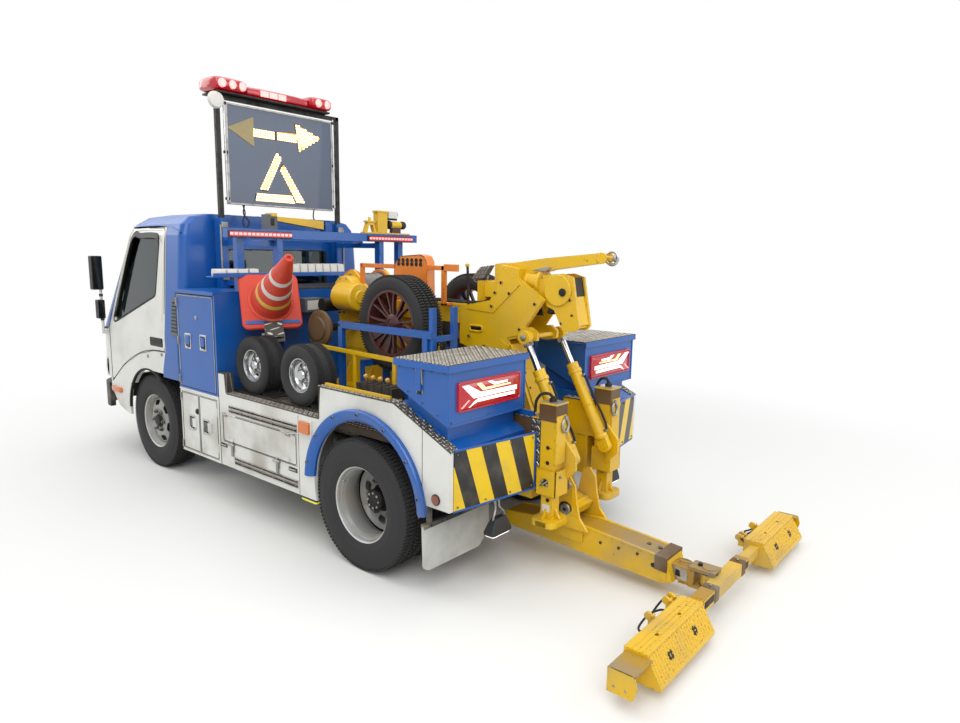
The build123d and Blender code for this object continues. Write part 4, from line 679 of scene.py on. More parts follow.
def curved(line: Sequence[Vector], steps: int, loop: bool = False) -> list[Vector]:
    """Puts points on a smooth curve through a line's points.

    Args:
        line: The points that it goes through.
        steps: How many points stand for each stretch.
        loop: Whether it closes on itself.

    Returns:
        The curve's points.
    """
    count = len(line)
    found = []
    for i in range(count if loop else count - 1):
        corners = [line[(i + n) % count] if loop else line[min(max(i + n, 0), count - 1)] for n in (-1, 0, 1, 2)]
        a, b, c, d = corners
        for step in range(steps):
            t = step / steps
            found.append(0.5 * ((2 * b) + (c - a) * t + (2 * a - 5 * b + 4 * c - d) * t * t
                                + (3 * b - a - 3 * c + d) * t ** 3))
    if not loop:
        found.append(line[-1])
    return found


class Layout(Enum):
    """How a small part is repeated."""

    RING = "round a circle about Y"
    GRID = "over a flat grid, each next one turned"
    ROW = "along lines, all the same way round"
    CHAIN = "along lines, following them and turning from one to the next"


class Repeater:
    """Geometry Nodes trees that repeat one small part, and the pieces made with them."""

    SIZES = (
        ("Part", "NodeSocketObject"), ("Finish", "NodeSocketMaterial"), ("Count", "NodeSocketInt"),
        ("Rows", "NodeSocketInt"), ("Reach", "NodeSocketVector"), ("Spacing", "NodeSocketFloat"),
        ("Twist", "NodeSocketFloat"), ("Place", "NodeSocketVector"), ("Turn", "NodeSocketVector"),
    )

    def __init__(self) -> None:
        """Starts with no trees; each is built when first asked for."""
        self.trees: dict[Layout, bpy.types.NodeTree] = {}

    def tree(self, layout: Layout) -> bpy.types.NodeTree:
        """Builds the tree of one layout.

        Args:
            layout: How the part is repeated.

        Returns:
            The tree.
        """
        if layout in self.trees:
            return self.trees[layout]
        tree = self.trees[layout] = bpy.data.node_groups.new(f"repeat_{layout.name.lower()}", "GeometryNodeTree")
        tree.interface.new_socket("Geometry", in_out="INPUT", socket_type="NodeSocketGeometry")
        for name, kind in self.SIZES:
            tree.interface.new_socket(name, in_out="INPUT", socket_type=kind)
        tree.interface.new_socket("Geometry", in_out="OUTPUT", socket_type="NodeSocketGeometry")
        given = tree.nodes.new("NodeGroupInput").outputs
        index = add(tree, "GeometryNodeInputIndex").outputs[0]
        part = add(tree, "GeometryNodeObjectInfo", inputs={"Object": given["Part"],
                                                           "As Instance": True}).outputs["Geometry"]
        turn = add(tree, "FunctionNodeEulerToRotation", inputs={0: given["Turn"]}).outputs[0]
        points, rotation, moved = self.points(tree, layout, given, index, turn)
        copies = add(tree, "GeometryNodeInstanceOnPoints", inputs={"Points": points, "Instance": part,
                                                                   "Rotation": rotation})
        real = add(tree, "GeometryNodeRealizeInstances", inputs={0: copies.outputs[0]}).outputs[0]
        if moved:
            real = add(tree, "GeometryNodeTransform", inputs={
                "Geometry": real, "Translation": given["Place"], "Rotation": turn}).outputs[0]
        dressed = add(tree, "GeometryNodeSetMaterial", inputs={"Geometry": real, "Material": given["Finish"]})
        add(tree, "NodeGroupOutput", inputs={0: dressed.outputs[0]})
        return tree

    def points(self, tree: bpy.types.NodeTree, layout: Layout, given: bpy.types.NodeInputs, index: bpy.types.NodeSocket,
               turn: bpy.types.NodeSocket) -> tuple[bpy.types.NodeSocket, bpy.types.NodeSocket, bool]:
        """Adds the nodes that say where the copies stand.

        Args:
            tree: The tree.
            layout: How the part is repeated.
            given: The tree's inputs.
            index: The number of each copy.
            turn: The rotation that Turn gives.

        Returns:
            The points, each copy's rotation, and whether the whole is then moved to Place.
        """
        if layout is Layout.RING:
            angle = sums(tree, "DIVIDE", sums(tree, "MULTIPLY", index, math.tau), given["Count"])
            radius = axes(tree, given["Reach"])["X"]
            spot = add(tree, "ShaderNodeCombineXYZ", inputs={
                "X": sums(tree, "MULTIPLY", sums(tree, "COSINE", angle), radius),
                "Z": sums(tree, "MULTIPLY", sums(tree, "SINE", angle), radius)}).outputs[0]
            points = add(tree, "GeometryNodePoints", inputs={"Count": given["Count"], "Position": spot}).outputs[0]
            facing = add(tree, "ShaderNodeCombineXYZ", inputs={"Y": sums(tree, "MULTIPLY", angle, -1.0)}).outputs[0]
            return points, add(tree, "FunctionNodeEulerToRotation", inputs={0: facing}).outputs[0], True
        if layout is Layout.GRID:
            reach = axes(tree, given["Reach"])
            grid = add(tree, "GeometryNodeMeshGrid", inputs={
                "Size X": reach["X"], "Size Y": reach["Y"], "Vertices X": given["Count"], "Vertices Y": given["Rows"]})
            row = sums(tree, "FLOOR", sums(tree, "DIVIDE", sums(tree, "ADD", index, 0.5), given["Rows"]))
            even = sums(tree, "FLOORED_MODULO", sums(tree, "ADD", row, sums(
                tree, "SUBTRACT", index, sums(tree, "MULTIPLY", row, given["Rows"]))), 2.0)
            swing = sums(tree, "MULTIPLY", even, given["Twist"])
            facing = add(tree, "ShaderNodeCombineXYZ", inputs={"Z": swing}).outputs[0]
            return grid.outputs[0], add(tree, "FunctionNodeEulerToRotation", inputs={0: facing}).outputs[0], True
        line = add(tree, "GeometryNodeMeshToCurve", inputs={0: given["Geometry"]}).outputs[0]
        even = add(tree, "GeometryNodeResampleCurve", {"mode": "LENGTH"}, {"Curve": line, "Length": given["Spacing"]})
        spots = add(tree, "GeometryNodeCurveToPoints", {"mode": "EVALUATED"}, {0: even.outputs[0]})
        if layout is Layout.ROW:
            return spots.outputs["Points"], turn, False
        twist = add(tree, "FunctionNodeAxisAngleToRotation", inputs={
            "Axis": (0.0, 0.0, 1.0), "Angle": sums(tree, "MULTIPLY", index, given["Twist"])}).outputs[0]
        turned = add(tree, "FunctionNodeRotateRotation", {"rotation_space": "LOCAL"},
                     {0: spots.outputs["Rotation"], 1: twist})
        return spots.outputs["Points"], turned.outputs[0], False

    def make(self, name: str, layout: Layout, part: Form, paths: Sequence[Sequence[Point]] = (), sharp: float = 35.0,
             **sizes: object) -> bpy.types.Object:
        """Makes the copies as one plain mesh.

        Args:
            name: The new object's name.
            layout: How the part is repeated.
            part: The small part, drawn about its own origin in millimetres.
            paths: The lines for rows and chains, in millimetres from the rear axle.
            sharp: The angle past which an edge stays sharp.
            sizes: Values for the tree's named inputs, in lower case.

        Returns:
            The new object.
        """
        finish = part.finishes[0].material()
        pattern = part.object(f"{name}_part", place=LOCAL)
        mesh = bpy.data.meshes.new(name)
        spots = [FRAME @ Vector(p) for path in paths for p in path]
        ends = [n for path in paths for n in [True] * (len(path) - 1) + [False]]
        mesh.from_pydata(spots, [(i, i + 1) for i, on in enumerate(ends) if on], [])
        holder = bpy.data.objects.new(name, mesh)
        bpy.context.scene.collection.objects.link(holder)
        tree = self.tree(layout)
        repeat = holder.modifiers.new("repeat", "NODES")
        repeat.node_group = tree
        values = {"part": pattern, "finish": finish, **sizes}
        for socket in tree.interface.items_tree:
            if socket.in_out == "INPUT" and socket.name.lower() in values:
                repeat[socket.identifier] = values[socket.name.lower()]
        finished(holder, sharp)
        bpy.data.objects.remove(pattern)
        return holder


REPEAT = Repeater()


def at(x: float, y: float, z: float) -> tuple[float, float, float]:
    """A place in millimetres from the rear axle, in the frame's metres."""
    return tuple(FRAME @ Vector((x, y, z)))


def bolt(finish: Finish, width: float = 13.0, height: float = 6.0) -> Form:
    """A hexagon bolt head that stands up along its own Z, in the finish given."""
    return Form(finish).lathe(((width / 2, -1), (width / 2, height * 0.7), (width * 0.42, height)), (0, 0, 0),
                              (0, 0, 1), 6)


# The turn that stands a small part's own Z out of each face.
FACING = {"left": (-math.pi / 2, 0.0, 0.0), "right": (math.pi / 2, 0.0, 0.0), "rear": (0.0, -math.pi / 2, 0.0)}
# The deck's top, less the half millimetre that its pieces are let into it.
DECK = 795.5
# The pin at the mast's foot, on which the underlift's beam turns.
BEAM_PIN = (-800, 0, 330)
# One raised bar of chequer plate, seen from above.
STUD_OUTLINE = ((-11, 0), (-6, 3.4), (6, 3.4), (11, 0), (6, -3.4), (-6, -3.4))


def bolts(name: str, body: str, finish: Finish, facing: str, spots: Sequence[Point],
          width: float = 13.0) -> bpy.types.Object:
    """Sets bolt heads at places on a face.

    Args:
        name: The piece's name.
        body: The body that carries them.
        finish: What they are made of.
        facing: The side that they face.
        spots: Where they stand, in millimetres from the rear axle.
        width: The width across a head.

    Returns:
        The piece.
    """
    paths = [(spot, Vector(spot) + Vector((0, 0, 0.01))) for spot in spots]
    made = REPEAT.make(name, Layout.ROW, bolt(finish, width, width * 0.45), paths, spacing=1.0, turn=FACING[facing])
    return attach(made, body)


def stud(finish: Finish, foot: float, waist: float, top: float) -> Form:
    """One raised bar of chequer plate about its own middle, with the heights of its foot, waist and top."""
    return Form(finish).loft([[(a * k, b * k, z) for a, b in STUD_OUTLINE]
                              for k, z in ((1, foot), (0.95, waist), (0.62, top))])


def mirrored(profile: Sequence[Span], hand: int) -> list[Span]:
    """A turned profile on the left side, or its mirror image on the right."""
    return [(radius, along * hand) for radius, along in profile]


def oblong(wide: float, high: float) -> tuple[Span, ...]:
    """A rectangle's corners about its middle, from its half sizes."""
    return (-wide, -high), (wide, -high), (wide, high), (-wide, high)


# Sprayed enamel: a deep even colour with a clear gloss, dulled by road film low down.
BLUE = Enamel("blue_enamel", "#0b56a6", dust=0.15, coat=0.1)
WHITE = Enamel("white_enamel", "#d9d9d3", dust=0.5)
LOCKER = Enamel("locker_enamel", "#0b56a6", under="#d9d9d3", parting=0.75, coat=0.2)
# Cream enamel trim; on the doors the cream strip is a painted highlight along the glossy white frame.
CREAM = Enamel("cream_enamel_and_painted_highlight", "#e6e2d2", dust=0.1)
# Machinery enamel: thicker and duller, rubbed through to brown steel along edges and where chains scrape.
YELLOW = Enamel("yellow_enamel", "#dfb206", dust=0.3, worn=0.8, roughness=0.38, coat=0.15)
RUBBED = Enamel("rubbed_yellow_enamel", "#a9821f", dust=0.7, worn=1.0, roughness=0.45, coat=0.0)
# Brown primer on some parts; on the towers the same brown is painted shade on yellow faces, tinted by the lamps.
PRIMER_AND_SHADE = Enamel("brown_primer_and_painted_shade", "#5a3d14", dust=0.5, worn=0.4, roughness=0.5, coat=0.0)
# Painted amber light: parts that are yellow enamel, drawn orange as the amber lamps light them.
AMBER_LIT_YELLOW = Enamel("yellow_enamel_in_painted_amber_light", "#e07c14", dust=0.2, worn=0.7, roughness=0.4)
RED = Enamel("red_enamel", "#430c11", dust=0.2, worn=0.2, coat=0.1)
BLACK = Enamel("chassis_enamel", "#1d1e20", dust=0.7, roughness=0.55, coat=0.1)
SILVER = Enamel("wheel_enamel", "#8f8f8c", dust=0.8, roughness=0.4)
LIP = Enamel("bright_wheel_enamel", "#c6c7c6", dust=0.3, roughness=0.3)
SLATE = Enamel("sign_enamel", "#48566c", dust=0.1, roughness=0.4)
# Retroreflective film: flat, evenly bright bands with crisp edges.
STRIPES = Striped("stripe_film", "#e3bd08", dust=0.25, coat=0.1)
# Bare metals, from dull zinc on small parts to bright chromium on rods and rims.
ZINC = Metal("zinc_plated_steel", "#9d9b96", roughness=0.42)
STEEL = Metal("worn_steel", "#77736c", roughness=0.45, soiled=0.6)
# Blackened steel; also laid flat over holes, slots and windows as painted shade inside them.
DARK = Metal("blackened_steel_and_painted_opening_shade", "#3b3a39", roughness=0.5, soiled=0.5)
CHROME = Metal("chromium_plate", "#b9babb", roughness=0.16, soiled=0.3)
CAST = Metal("cast_iron", "#514a43", roughness=0.62, metallic=0.7, soiled=0.8)
ROPE = Metal("steel_rope", "#8c8a86", roughness=0.5, soiled=0.5)
PLATE = Chequer("chequer_plate", "#5d5347", roughness=0.45, stain="#312b24", soiled=0.5)
LID_PLATE = Chequer("aluminium_chequer", "#6f6b63", roughness=0.42, stain="#4a453d", top="#a5a198", soiled=0.5)
STRIP_PLATE = Chequer("upright_aluminium_chequer", "#6c6a66", roughness=0.4, stain="#4b4842", top="#b9b7b1",
                      plane=Plane.SIDE)
STUD = Metal("rubbed_aluminium", "#b4b0a8", roughness=0.36, soiled=0.35)
# Rubbers and mouldings: no sharp reflection, a fine grain, and dust in the hollows.
TYRE = Rubber("tyre_rubber", "#1a1a1b", settled=0.45)
# Trim rubber; also laid as black discs over holes, as painted shade inside them.
TRIM_AND_HOLE_SHADE = Rubber("trim_rubber_and_painted_hole_shade", "#151516", settled=0.12)
GUARD = Rubber("mud_flap_rubber", "#b9bab6", dust="#918e86", settled=0.3)
PLASTIC = Finish("black_polypropylene", "#1c1d1f", roughness=0.5)
GREY = Finish("grey_polypropylene", "#63666a", roughness=0.6)
PALE = Finish("white_abs", "#dcdbd4", roughness=0.4)
KNOB = Finish("amber_knob", "#d9a648", roughness=0.35)
HOSE = Rubber("hose_rubber", "#141414", settled=0.3)
PVC_RED = Finish("cone_pvc", "#cf3f26", roughness=0.5)
PVC_WHITE = Finish("cone_film", "#d5d3cc", roughness=0.35)
PVC_YELLOW = Finish("worn_cone_film", "#d9b545", roughness=0.4)
# Glass and lenses: float glass shows the room behind it; lens plastic is coloured all through.
GLASS = Pane("float_glass", "#5c6868", ior=1.52)
# Painted reflection: the mirror faces are drawn as dark glass, standing for the dark surroundings that they reflect.
MIRROR = Finish("mirror_glass_painted_dark_reflection", "#121417", roughness=0.05)
RED_LENS = Ribbed("red_acrylic", "#b0061c", glow=0.25)
RED_LAMP = Ribbed("lit_red_acrylic", "#ff8a86", glow=2.2)
AMBER_LENS = Ribbed("amber_acrylic", "#cf6a10", glow=0.05)
# Painted light: this reflector lens glows faintly, though it is no lamp.
BROWN_LENS = Ribbed("faded_amber_acrylic_painted_glow", "#7c3519", glow=0.02)
YELLOW_LENS = Ribbed("yellow_acrylic", "#d7d21f", glow=0.5)
CLEAR_LENS = Ribbed("clear_acrylic", "#dfe3e4", roughness=0.08)
WHITE_LIGHT = Finish("lit_diffuser", "#fff4ee", roughness=0.3, glow=1.6)
AMBER_LIGHT = Finish("amber_diode", "#ffe9b8", roughness=0.3, glow=2.6)
AMBER_GLOW = Finish("amber_glow", "#f5a11f", roughness=0.4, glow=0.9)
AMBER_PALE = Finish("warm_diffuser", "#ffe2a0", roughness=0.3, glow=1.2)
UNLIT = Finish("unlit_diodes", "#a5976c", roughness=0.6)
# Cloth: threads that cross, with a soft pale edge where it curves away.
CLOTH = Woven("seat_weave", "#474b50")


def pierced(form: Form, rings: Sequence[Span], centre: Point, holes: int, run: int, wide: int, ring: int) -> Form:
    """Adds a wheel disc whose holes are left out of one of its rings.

    Args:
        form: The form that gets the disc.
        rings: The disc's profile as (radius, place along Y).
        centre: A point on the axle's line.
        holes: How many holes there are.
        run: How many faces stand for each hole and the metal beside it.
        wide: How many of those the hole takes.
        ring: Which stretch of the profile has the holes.

    Returns:
        The form.
    """
    count = holes * run
    turns = [math.tau * n / count for n in range(count)]
    made = [[form.mesh.verts.new((centre[0] + r * math.cos(t), centre[1] + y, centre[2] + r * math.sin(t)))
             for t in turns] for r, y in rings]
    for i in range(len(made) - 1):
        for j in range(count):
            if i != ring or j % run >= wide:
                k = (j + 1) % count
                form.face((made[i][j], made[i][k], made[i + 1][k], made[i + 1][j]))
    return form


@dataclass
class RoadWheels:
    """The six road tyres on pressed steel wheels: single in front, twin and deeply dished behind."""

    radius: float = 369.0
    wheelbase: float = 2600.0
    front: float = 721.0
    outer: float = 833.0
    inner: float = 608.0
    blocks: int = 104
    section: tuple[Span, ...] = (
        (206, -74), (212, -86), (226, -91), (252, -95), (262, -97.4), (268, -96), (292, -97.4), (318, -95),
        (322, -93.4),
        (340, -91), (350, -90), (358, -86), (361, -80), (361, -22), (355, -20), (355, -16), (361, -14), (361, 14),
        (355, 16), (355, 20), (361, 22), (361, 80), (358, 86), (350, 90), (340, 91), (322, 93.4), (318, 95),
        (292, 97.4),
        (268, 96), (262, 97.4), (252, 95), (226, 91), (212, 86), (206, 74), (240, 82), (330, 78), (342, 60), (342, -60),
        (330, -78), (240, -82))

    def tyre(self, form: Form, x: float, y: float) -> None:
        """Turns one tyre's carcass with its centre at a place."""
        form.lathe(self.section, (x, y, self.radius), sides=96, ring=True)

    def tread(self) -> Form:
        """One pitch of the tread: shoulder blocks and two ribs between them."""
        form = Form(TYRE)
        for inner, outer, lean in ((64, 92, 3), (27, 60, 2), (-4, 12, -2)):
            for hand in (1, -1):
                near, far = hand * inner, hand * outer
                edge = self.radius - 0.4 - (3.5 if outer > 80 else 0)
                rows = []
                for radial in (357, edge):
                    rows.append([(radial, near, -7.6 - lean), (radial - (1.5 if outer > 80 else 0), far, -7.6 + lean),
                                 (radial - (1.5 if outer > 80 else 0), far, 7.6 + lean), (radial, near, 7.6 - lean)])
                form.loft(rows)
                if outer == 12:
                    break
        return form

    def rim(self, form: Form, x: float, y: float, hand: int) -> None:
        """Turns one wheel's barrel, with its bright rolled flange outside.

        Args:
            form: The form that gets it.
            x: The wheel's place along the truck.
            y: Its centre plane.
            hand: 1 on the left and -1 on the right.
        """
        barrel = ((212, 83), (217.5, 82), (218, 78), (212, 74), (205, 70), (203, 58), (196, 50), (188, 40), (188, -30),
                  (203, -50), (205, -70), (212, -74), (218, -78), (217, -82), (211, -83), (206, -79), (200, -70),
                  (196, -50), (181, -34), (181, 34), (189, 50), (197, 60), (199, 72), (206, 80))
        form.lathe(mirrored(barrel, hand), (x, y, self.radius), sides=72, ring=True)

    def disc(self, name: str, body: str, x: float, y: float, hand: int, rings: Sequence[Span], holes: int) -> None:
        """Presses a wheel disc with round hand holes.

        Args:
            name: The piece's name.
            body: The wheel that carries it.
            x: Its place along the truck.
            y: The plane that the profile is measured from.
            hand: 1 on the left and -1 on the right.
            rings: The profile as (radius, place along Y).
            holes: How many hand holes it has.
        """
        form = Form(SILVER)
        pierced(form, mirrored(rings, hand), (x, y, self.radius), holes, 6, 3, 2)
        form.piece(name, body, "wheel_steel", thick=-6.0, levels=1, bevel=0)

    def nuts(self, name: str, body: str, x: float, y: float, hand: int, reach: float, count: int) -> None:
        """Sets the wheel nuts round the hub, each on its stud.

        Args:
            name: The piece's name.
            body: The wheel that carries them.
            x: Their place along the truck.
            y: The face that they stand on.
            hand: 1 on the left and -1 on the right.
            reach: The radius of their circle.
            count: How many there are.
        """
        nut = Form(STEEL).lathe(mirrored(((19, -2), (19, 3), (16.5, 4), (16.5, 19), (14, 22), (9, 22), (9, 31),
                                                           (7, 33)), hand), (0, 0, 0), (0, 1, 0), 6)
        attach(REPEAT.make(name, Layout.RING, nut, count=count, reach=(reach / 1000, 0.0, 0.0),
                           place=at(x, y, self.radius)), body)

    def build(self) -> None:
        """Builds the four wheel bodies."""
        for side, hand in SIDES:
            for place, x, planes in (("front", self.wheelbase, (self.front,)), ("rear", 0.0, (self.outer, self.inner))):
                body = f"{place}_wheel_{side}"
                tyres = Form(TYRE)
                rims = Form(SILVER)
                for number, plane in enumerate(planes):
                    self.tyre(tyres, x, hand * plane)
                    self.rim(rims, x, hand * plane, hand if number == 0 else -hand)
                    tread = REPEAT.make(f"{place}_tread_{number}_{side}", Layout.RING, self.tread(), count=self.blocks,
                                        reach=(0.0, 0.0, 0.0), place=at(x, hand * plane, self.radius))
                    attach(tread, body)
                tyres.piece(f"{place}_tyre_{side}_dressed", body, "tyre_rubber", (f"tyre_{place}_{side}",), bevel=0,
                            sharp=50)
                if place == "rear":
                    middle = hand * 735.0
                    rims.lathe(mirrored(((181, 700), (188, 700), (188, 760), (181, 760)), hand),
                               (x, 0, self.radius), sides=72, ring=True)
                    self.disc(f"rear_disc_{side}", body, x, middle, hand, (
                        (184, 30), (176, 14), (164, 6), (126, 2), (112, 4), (98, 10), (84, 12), (60, 12)), 8)
                    hub = Form(DARK).lathe(mirrored((
                        (30, -215), (72, -215), (72, 0), (78, 4), (78, 26), (66, 34), (60, 78), (56, 84), (50, 86),
                        (50, 90),
                        (34, 94), (20, 95)), hand), (x, middle, self.radius), sides=48)
                    hub.piece(f"rear_hub_{side}", body, "dark_steel", bevel=0)
                    self.nuts(f"rear_nuts_{side}", body, x, middle + hand * 16, hand, 101, 6)
                    caps = REPEAT.make(f"rear_shaft_bolts_{side}", Layout.RING, Form(ZINC).lathe(
                        mirrored(((8, -3), (8, 5), (6, 7)), hand), (0, 0, 0), (0, 1, 0), 6), count=8,
                        reach=(0.043, 0.0, 0.0), place=at(x, middle + hand * 90, self.radius))
                    attach(caps, body)
                else:
                    plane = hand * self.front
                    self.disc(f"front_disc_{side}", body, x, plane, hand, (
                        (185, 20), (178, 34), (164, 44), (124, 58), (110, 62), (98, 58), (84, 54), (46, 54)), 6)
                    hub = Form(DARK).lathe(mirrored((
                        (20, 20), (46, 20), (56, 52), (56, 62), (44, 70), (44, 78), (38, 82), (22, 83)), hand),
                        (x, plane, self.radius), sides=40)
                    hub.piece(f"front_hub_{side}", body, "dark_steel", bevel=0)
                    self.nuts(f"front_nuts_{side}", body, x, plane + hand * 54, hand, 78, 6)
                for r, w in ((205, 76), (190, 52), (184, 36)):
                    rims.use(LIP if r > 200 else SILVER)
                    rims.lathe([(r + a, hand * (w + b)) for a, b in ((12, 2), (13.5, 6), (13, 8.5), (8, 9.5), (1, 5),
                                                                     (-1, 0))],
                               (x, hand * planes[0], self.radius), sides=72, ring=True)
                rims.use(ZINC).rod((x + 150, hand * (planes[0] + 60), self.radius + 96),
                                   (x + 158, hand * (planes[0] + 78), self.radius + 101), 4, sides=12)
                rims.piece(f"{place}_rim_{side}_dressed", body, "wheel_steel", (f"rim_{place}_{side}",), bevel=0,
                           sharp=50)
                LOG.info("%s wheel, %s: tyres, tread, rims, disc, hub and nuts", place, side)


@dataclass
class StowedWheels:
    """Two car wheels upright in the racks and four small dolly wheels behind the lockers."""

    car: Point = (280.0, 360.0, 1300.0)
    dolly: tuple[float, float] = (1160.0, 653.0)
    dolly_place: Span = (762.0, 985.0)

    def build(self) -> None:
        """Builds tyres, rims, spokes and treads."""
        tyres, rims = Form(TYRE), Form(RED)
        dishes = Form(CHROME)
        for side, hand in SIDES:
            x, y, z = self.car
            section = ((196, -76), (204, -84), (222, -89), (246, -89.5), (262, -86), (272, -80), (276, -72), (276, 72),
                       (272, 80), (262, 86), (246, 89.5), (222, 89), (204, 84), (196, 76), (220, 70), (262, 60),
                       (262, -60), (220, -70))
            tyres.lathe(section, (x, hand * y, z), sides=80, ring=True)
            rims.lathe(mirrored(((186, 80), (202, 82), (206, 78), (198, 70), (188, 58), (188, -70), (206, -78),
                                                   (200, -82), (182, -74), (180, 56)), hand), (x, hand * y, z),
                                                   sides=72, ring=True)
            rims.lathe(mirrored(((20, 20), (52, 20), (56, 62), (46, 70), (30, 72), (28, 66), (12, 66)), hand),
                       (x, hand * y, z), sides=40)
            spoke = Form(RED)
            for lean in (-1, 1):
                spoke.loft([[(r, hand * (w - 24), lean * m - 8), (r, hand * w, lean * m - 6),
                             (r, hand * w, lean * m + 6),
                             (r, hand * (w - 24), lean * m + 8)]
                             for r, w, m in ((40, 60, 7), (105, 68, 13), (160, 75, 24), (191, 76, 34))])
            attach(REPEAT.make(f"car_wheel_spokes_{side}", Layout.RING, spoke, count=8, reach=(0.0, 0.0, 0.0),
                               place=at(x, hand * y, z)), "chassis")
            block = Form(TYRE).board(((-76, -8), (-44, -3), (-44, 5), (-76, 0)), (272, 288))
            for low, high in ((-36, -6), (6, 36), (44, 76)):
                block.board(((low, -5), (high, -2), (high, 6), (low, 3)), (272, 289.5))
            attach(REPEAT.make(f"car_wheel_tread_{side}", Layout.RING, block, count=100, reach=(0.0, 0.0, 0.0),
                               place=at(x, hand * y, z)), "chassis")
            for x in self.dolly:
                y, z = self.dolly_place
                small = ((104, -66), (112, -74), (134, -81), (154, -82), (170, -78), (180, -70), (184, -62), (184, -26),
                         (180, -23),
                         (184, -20), (184, 20), (180, 23), (184, 26), (184, 62), (180, 70), (170, 78), (154, 82),
                         (134, 81),
                         (112, 74), (104, 66), (130, 66), (172, 50), (172, -50), (130, -66))
                tyres.lathe(small, (x, hand * y, z), sides=64, ring=True)
                dishes.lathe(mirrored(((98, 64), (110, 66), (113, 62), (104, 54), (96, 46), (96, -46), (104, -54),
                                                         (112, -62), (106, -64), (92, -50), (90, 44)), hand),
                             (x, hand * y, z), sides=56, ring=True)
                pierced(dishes, mirrored(((92, 40), (84, 26), (76, 22), (56, 26), (46, 34), (40, 36), (20, 36)), hand),
                        (x, hand * y, z), 8, 5, 2, 2)
                dishes.lathe(mirrored(((16, 20), (34, 34), (34, 52), (28, 60), (12, 63)), hand), (x, hand * y, z),
                             sides=32)
                nut = Form(ZINC).lathe(mirrored(((8, -4), (8, 9), (5, 12)), hand), (0, 0, 0), (0, 1, 0), 6)
                attach(REPEAT.make(f"dolly_nuts_{round(x)}_{side}", Layout.RING, nut, count=5, reach=(0.0415, 0.0, 0.0),
                                   place=at(x, hand * (y + 36), z)), "chassis")
                tread = Form(TYRE)
                for low, high, lean in ((-68, -46, 4), (-42, -28, -3), (28, 42, 3), (46, 68, -4)):
                    tread.board(((low, -4 - lean), (high, -4 + lean), (high, 4 + lean), (low, 4 - lean)), (180, 189))
                attach(REPEAT.make(f"dolly_tread_{round(x)}_{side}", Layout.RING, tread, count=80,
                                   reach=(0.0, 0.0, 0.0),
                                   place=at(x, hand * y, z)), "chassis")
        tyres.piece("stowed_tyres_dressed", "chassis", "tyre_rubber", ("stowed_tyres",), bevel=0, sharp=50)
        rims.piece("car_rims", "chassis", "bright_rim", ("stowed_rims",), bevel=0)
        dishes.piece("dolly_rims", "chassis", "bright_rim", ("stowed_rims",), bevel=0)
        LOG.info("stowed wheels: two car wheels and four dolly wheels")


@dataclass
class TrafficCone:
    """The traffic cone that hangs by its square foot behind the left locker."""

    foot: Point = (1250.0, 620.0, 1380.0)
    axis: Point = (-0.83, 0.35, 0.43)
    side: float = 380.0
    height: float = 700.0

    def build(self) -> None:
        """Builds the foot with rounded corners, the cone with its three bands, and the strap that holds it."""
        line = Vector(self.axis).normalized()
        across = Vector((self.axis[1], -self.axis[0], 0)).normalized()
        up = line.cross(across)
        middle = Vector(self.foot)
        form = Form(PVC_RED)
        half, corner = self.side / 2, 42.0
        loops = []
        for inset, rise in ((0, 0), (-3, 4), (-3, 16), (4, 24)):
            loop = []
            for n in range(32):
                turn = math.tau * (n + 0.5) / 32
                c, s = math.cos(turn), math.sin(turn)
                u = math.copysign(half - corner, c) + (corner - inset) * c
                v = math.copysign(half - corner, s) + (corner - inset) * s
                loop.append(middle + across * u + up * v + line * rise)
            loops.append(loop)
        form.loft(loops)
        wall = ((150, 20), (146, 30), (132, 34), (118, 90))
        form.lathe(wall, middle, line, 48)
        for finish, low, high, proud in ((PVC_RED, 90, 150, 0), (PVC_YELLOW, 150, 186, 1.5), (PVC_RED, 186, 268, 0),
                                         (PVC_WHITE, 268, 310, 1.5),
                                         (PVC_RED, 310, 422, 0), (PVC_WHITE, 422, 458, 1.5),
                                         (PVC_RED, 458, self.height - 16, 0)):
            near, far = 137 - 0.158 * low, 137 - 0.158 * high
            form.use(finish).lathe(((near - 6, low), (near + proud, low), (far + proud, high), (far - 6, high)), middle,
                                   line, 48)
        form.use(PVC_RED).lathe(((14, self.height - 18), (27, self.height - 16), (27, self.height - 8),
                                 (22, self.height),
                                 (12, self.height), (12, self.height - 12)), middle, line, 32)
        form.piece("traffic_cone_dressed", "chassis", "cone_orange", ("traffic_cone",), bevel=0)
        strap = Form(BLUE)
        for finish, drop, wide, deep in ((BLUE, -150, 175, 12), (STRIP_PLATE, -196, 60, 60)):
            a = middle + up * (-drop if up.z < 0 else drop)
            strap.use(finish).loft([[a + across * u + up * v + line * w
                                     for u, w in ((-wide, -6), (wide, -6), (wide, 30), (-wide, 30))]
                                     for v in (-deep, deep)])
        strap.piece("cone_strap", "chassis", "blue_paint", bevel=2)
        LOG.info("traffic cone: foot, cone, bands and strap")


def rounded(outline: Sequence[Span], radius: float, steps: int = 6) -> list[Span]:
    """Rounds the corners of a flat outline.

    Args:
        outline: Its corners in order.
        radius: The radius of each corner.
        steps: How many points stand for each corner.

    Returns:
        The outline's points.
    """
    found: list[Span] = []
    for i, corner in enumerate(outline):
        here = Vector(corner)
        back, on = Vector(outline[i - 1]) - here, Vector(outline[(i + 1) % len(outline)]) - here
        run = min(radius / math.tan(back.angle(on) / 2), back.length * 0.48, on.length * 0.48)
        first, last = here + back.normalized() * run, here + on.normalized() * run
        for n in range(steps + 1):
            t = n / steps
            found.append(tuple(first * (1 - t) ** 2 + here * 2 * t * (1 - t) + last * t ** 2))
    return found


def eased(line: Sequence[Span], steps: int) -> list[Span]:
    """Puts points on a smooth flat curve through a line's points."""
    return [(v.x, v.y) for v in curved([Vector((*p, 0)) for p in line], steps)]


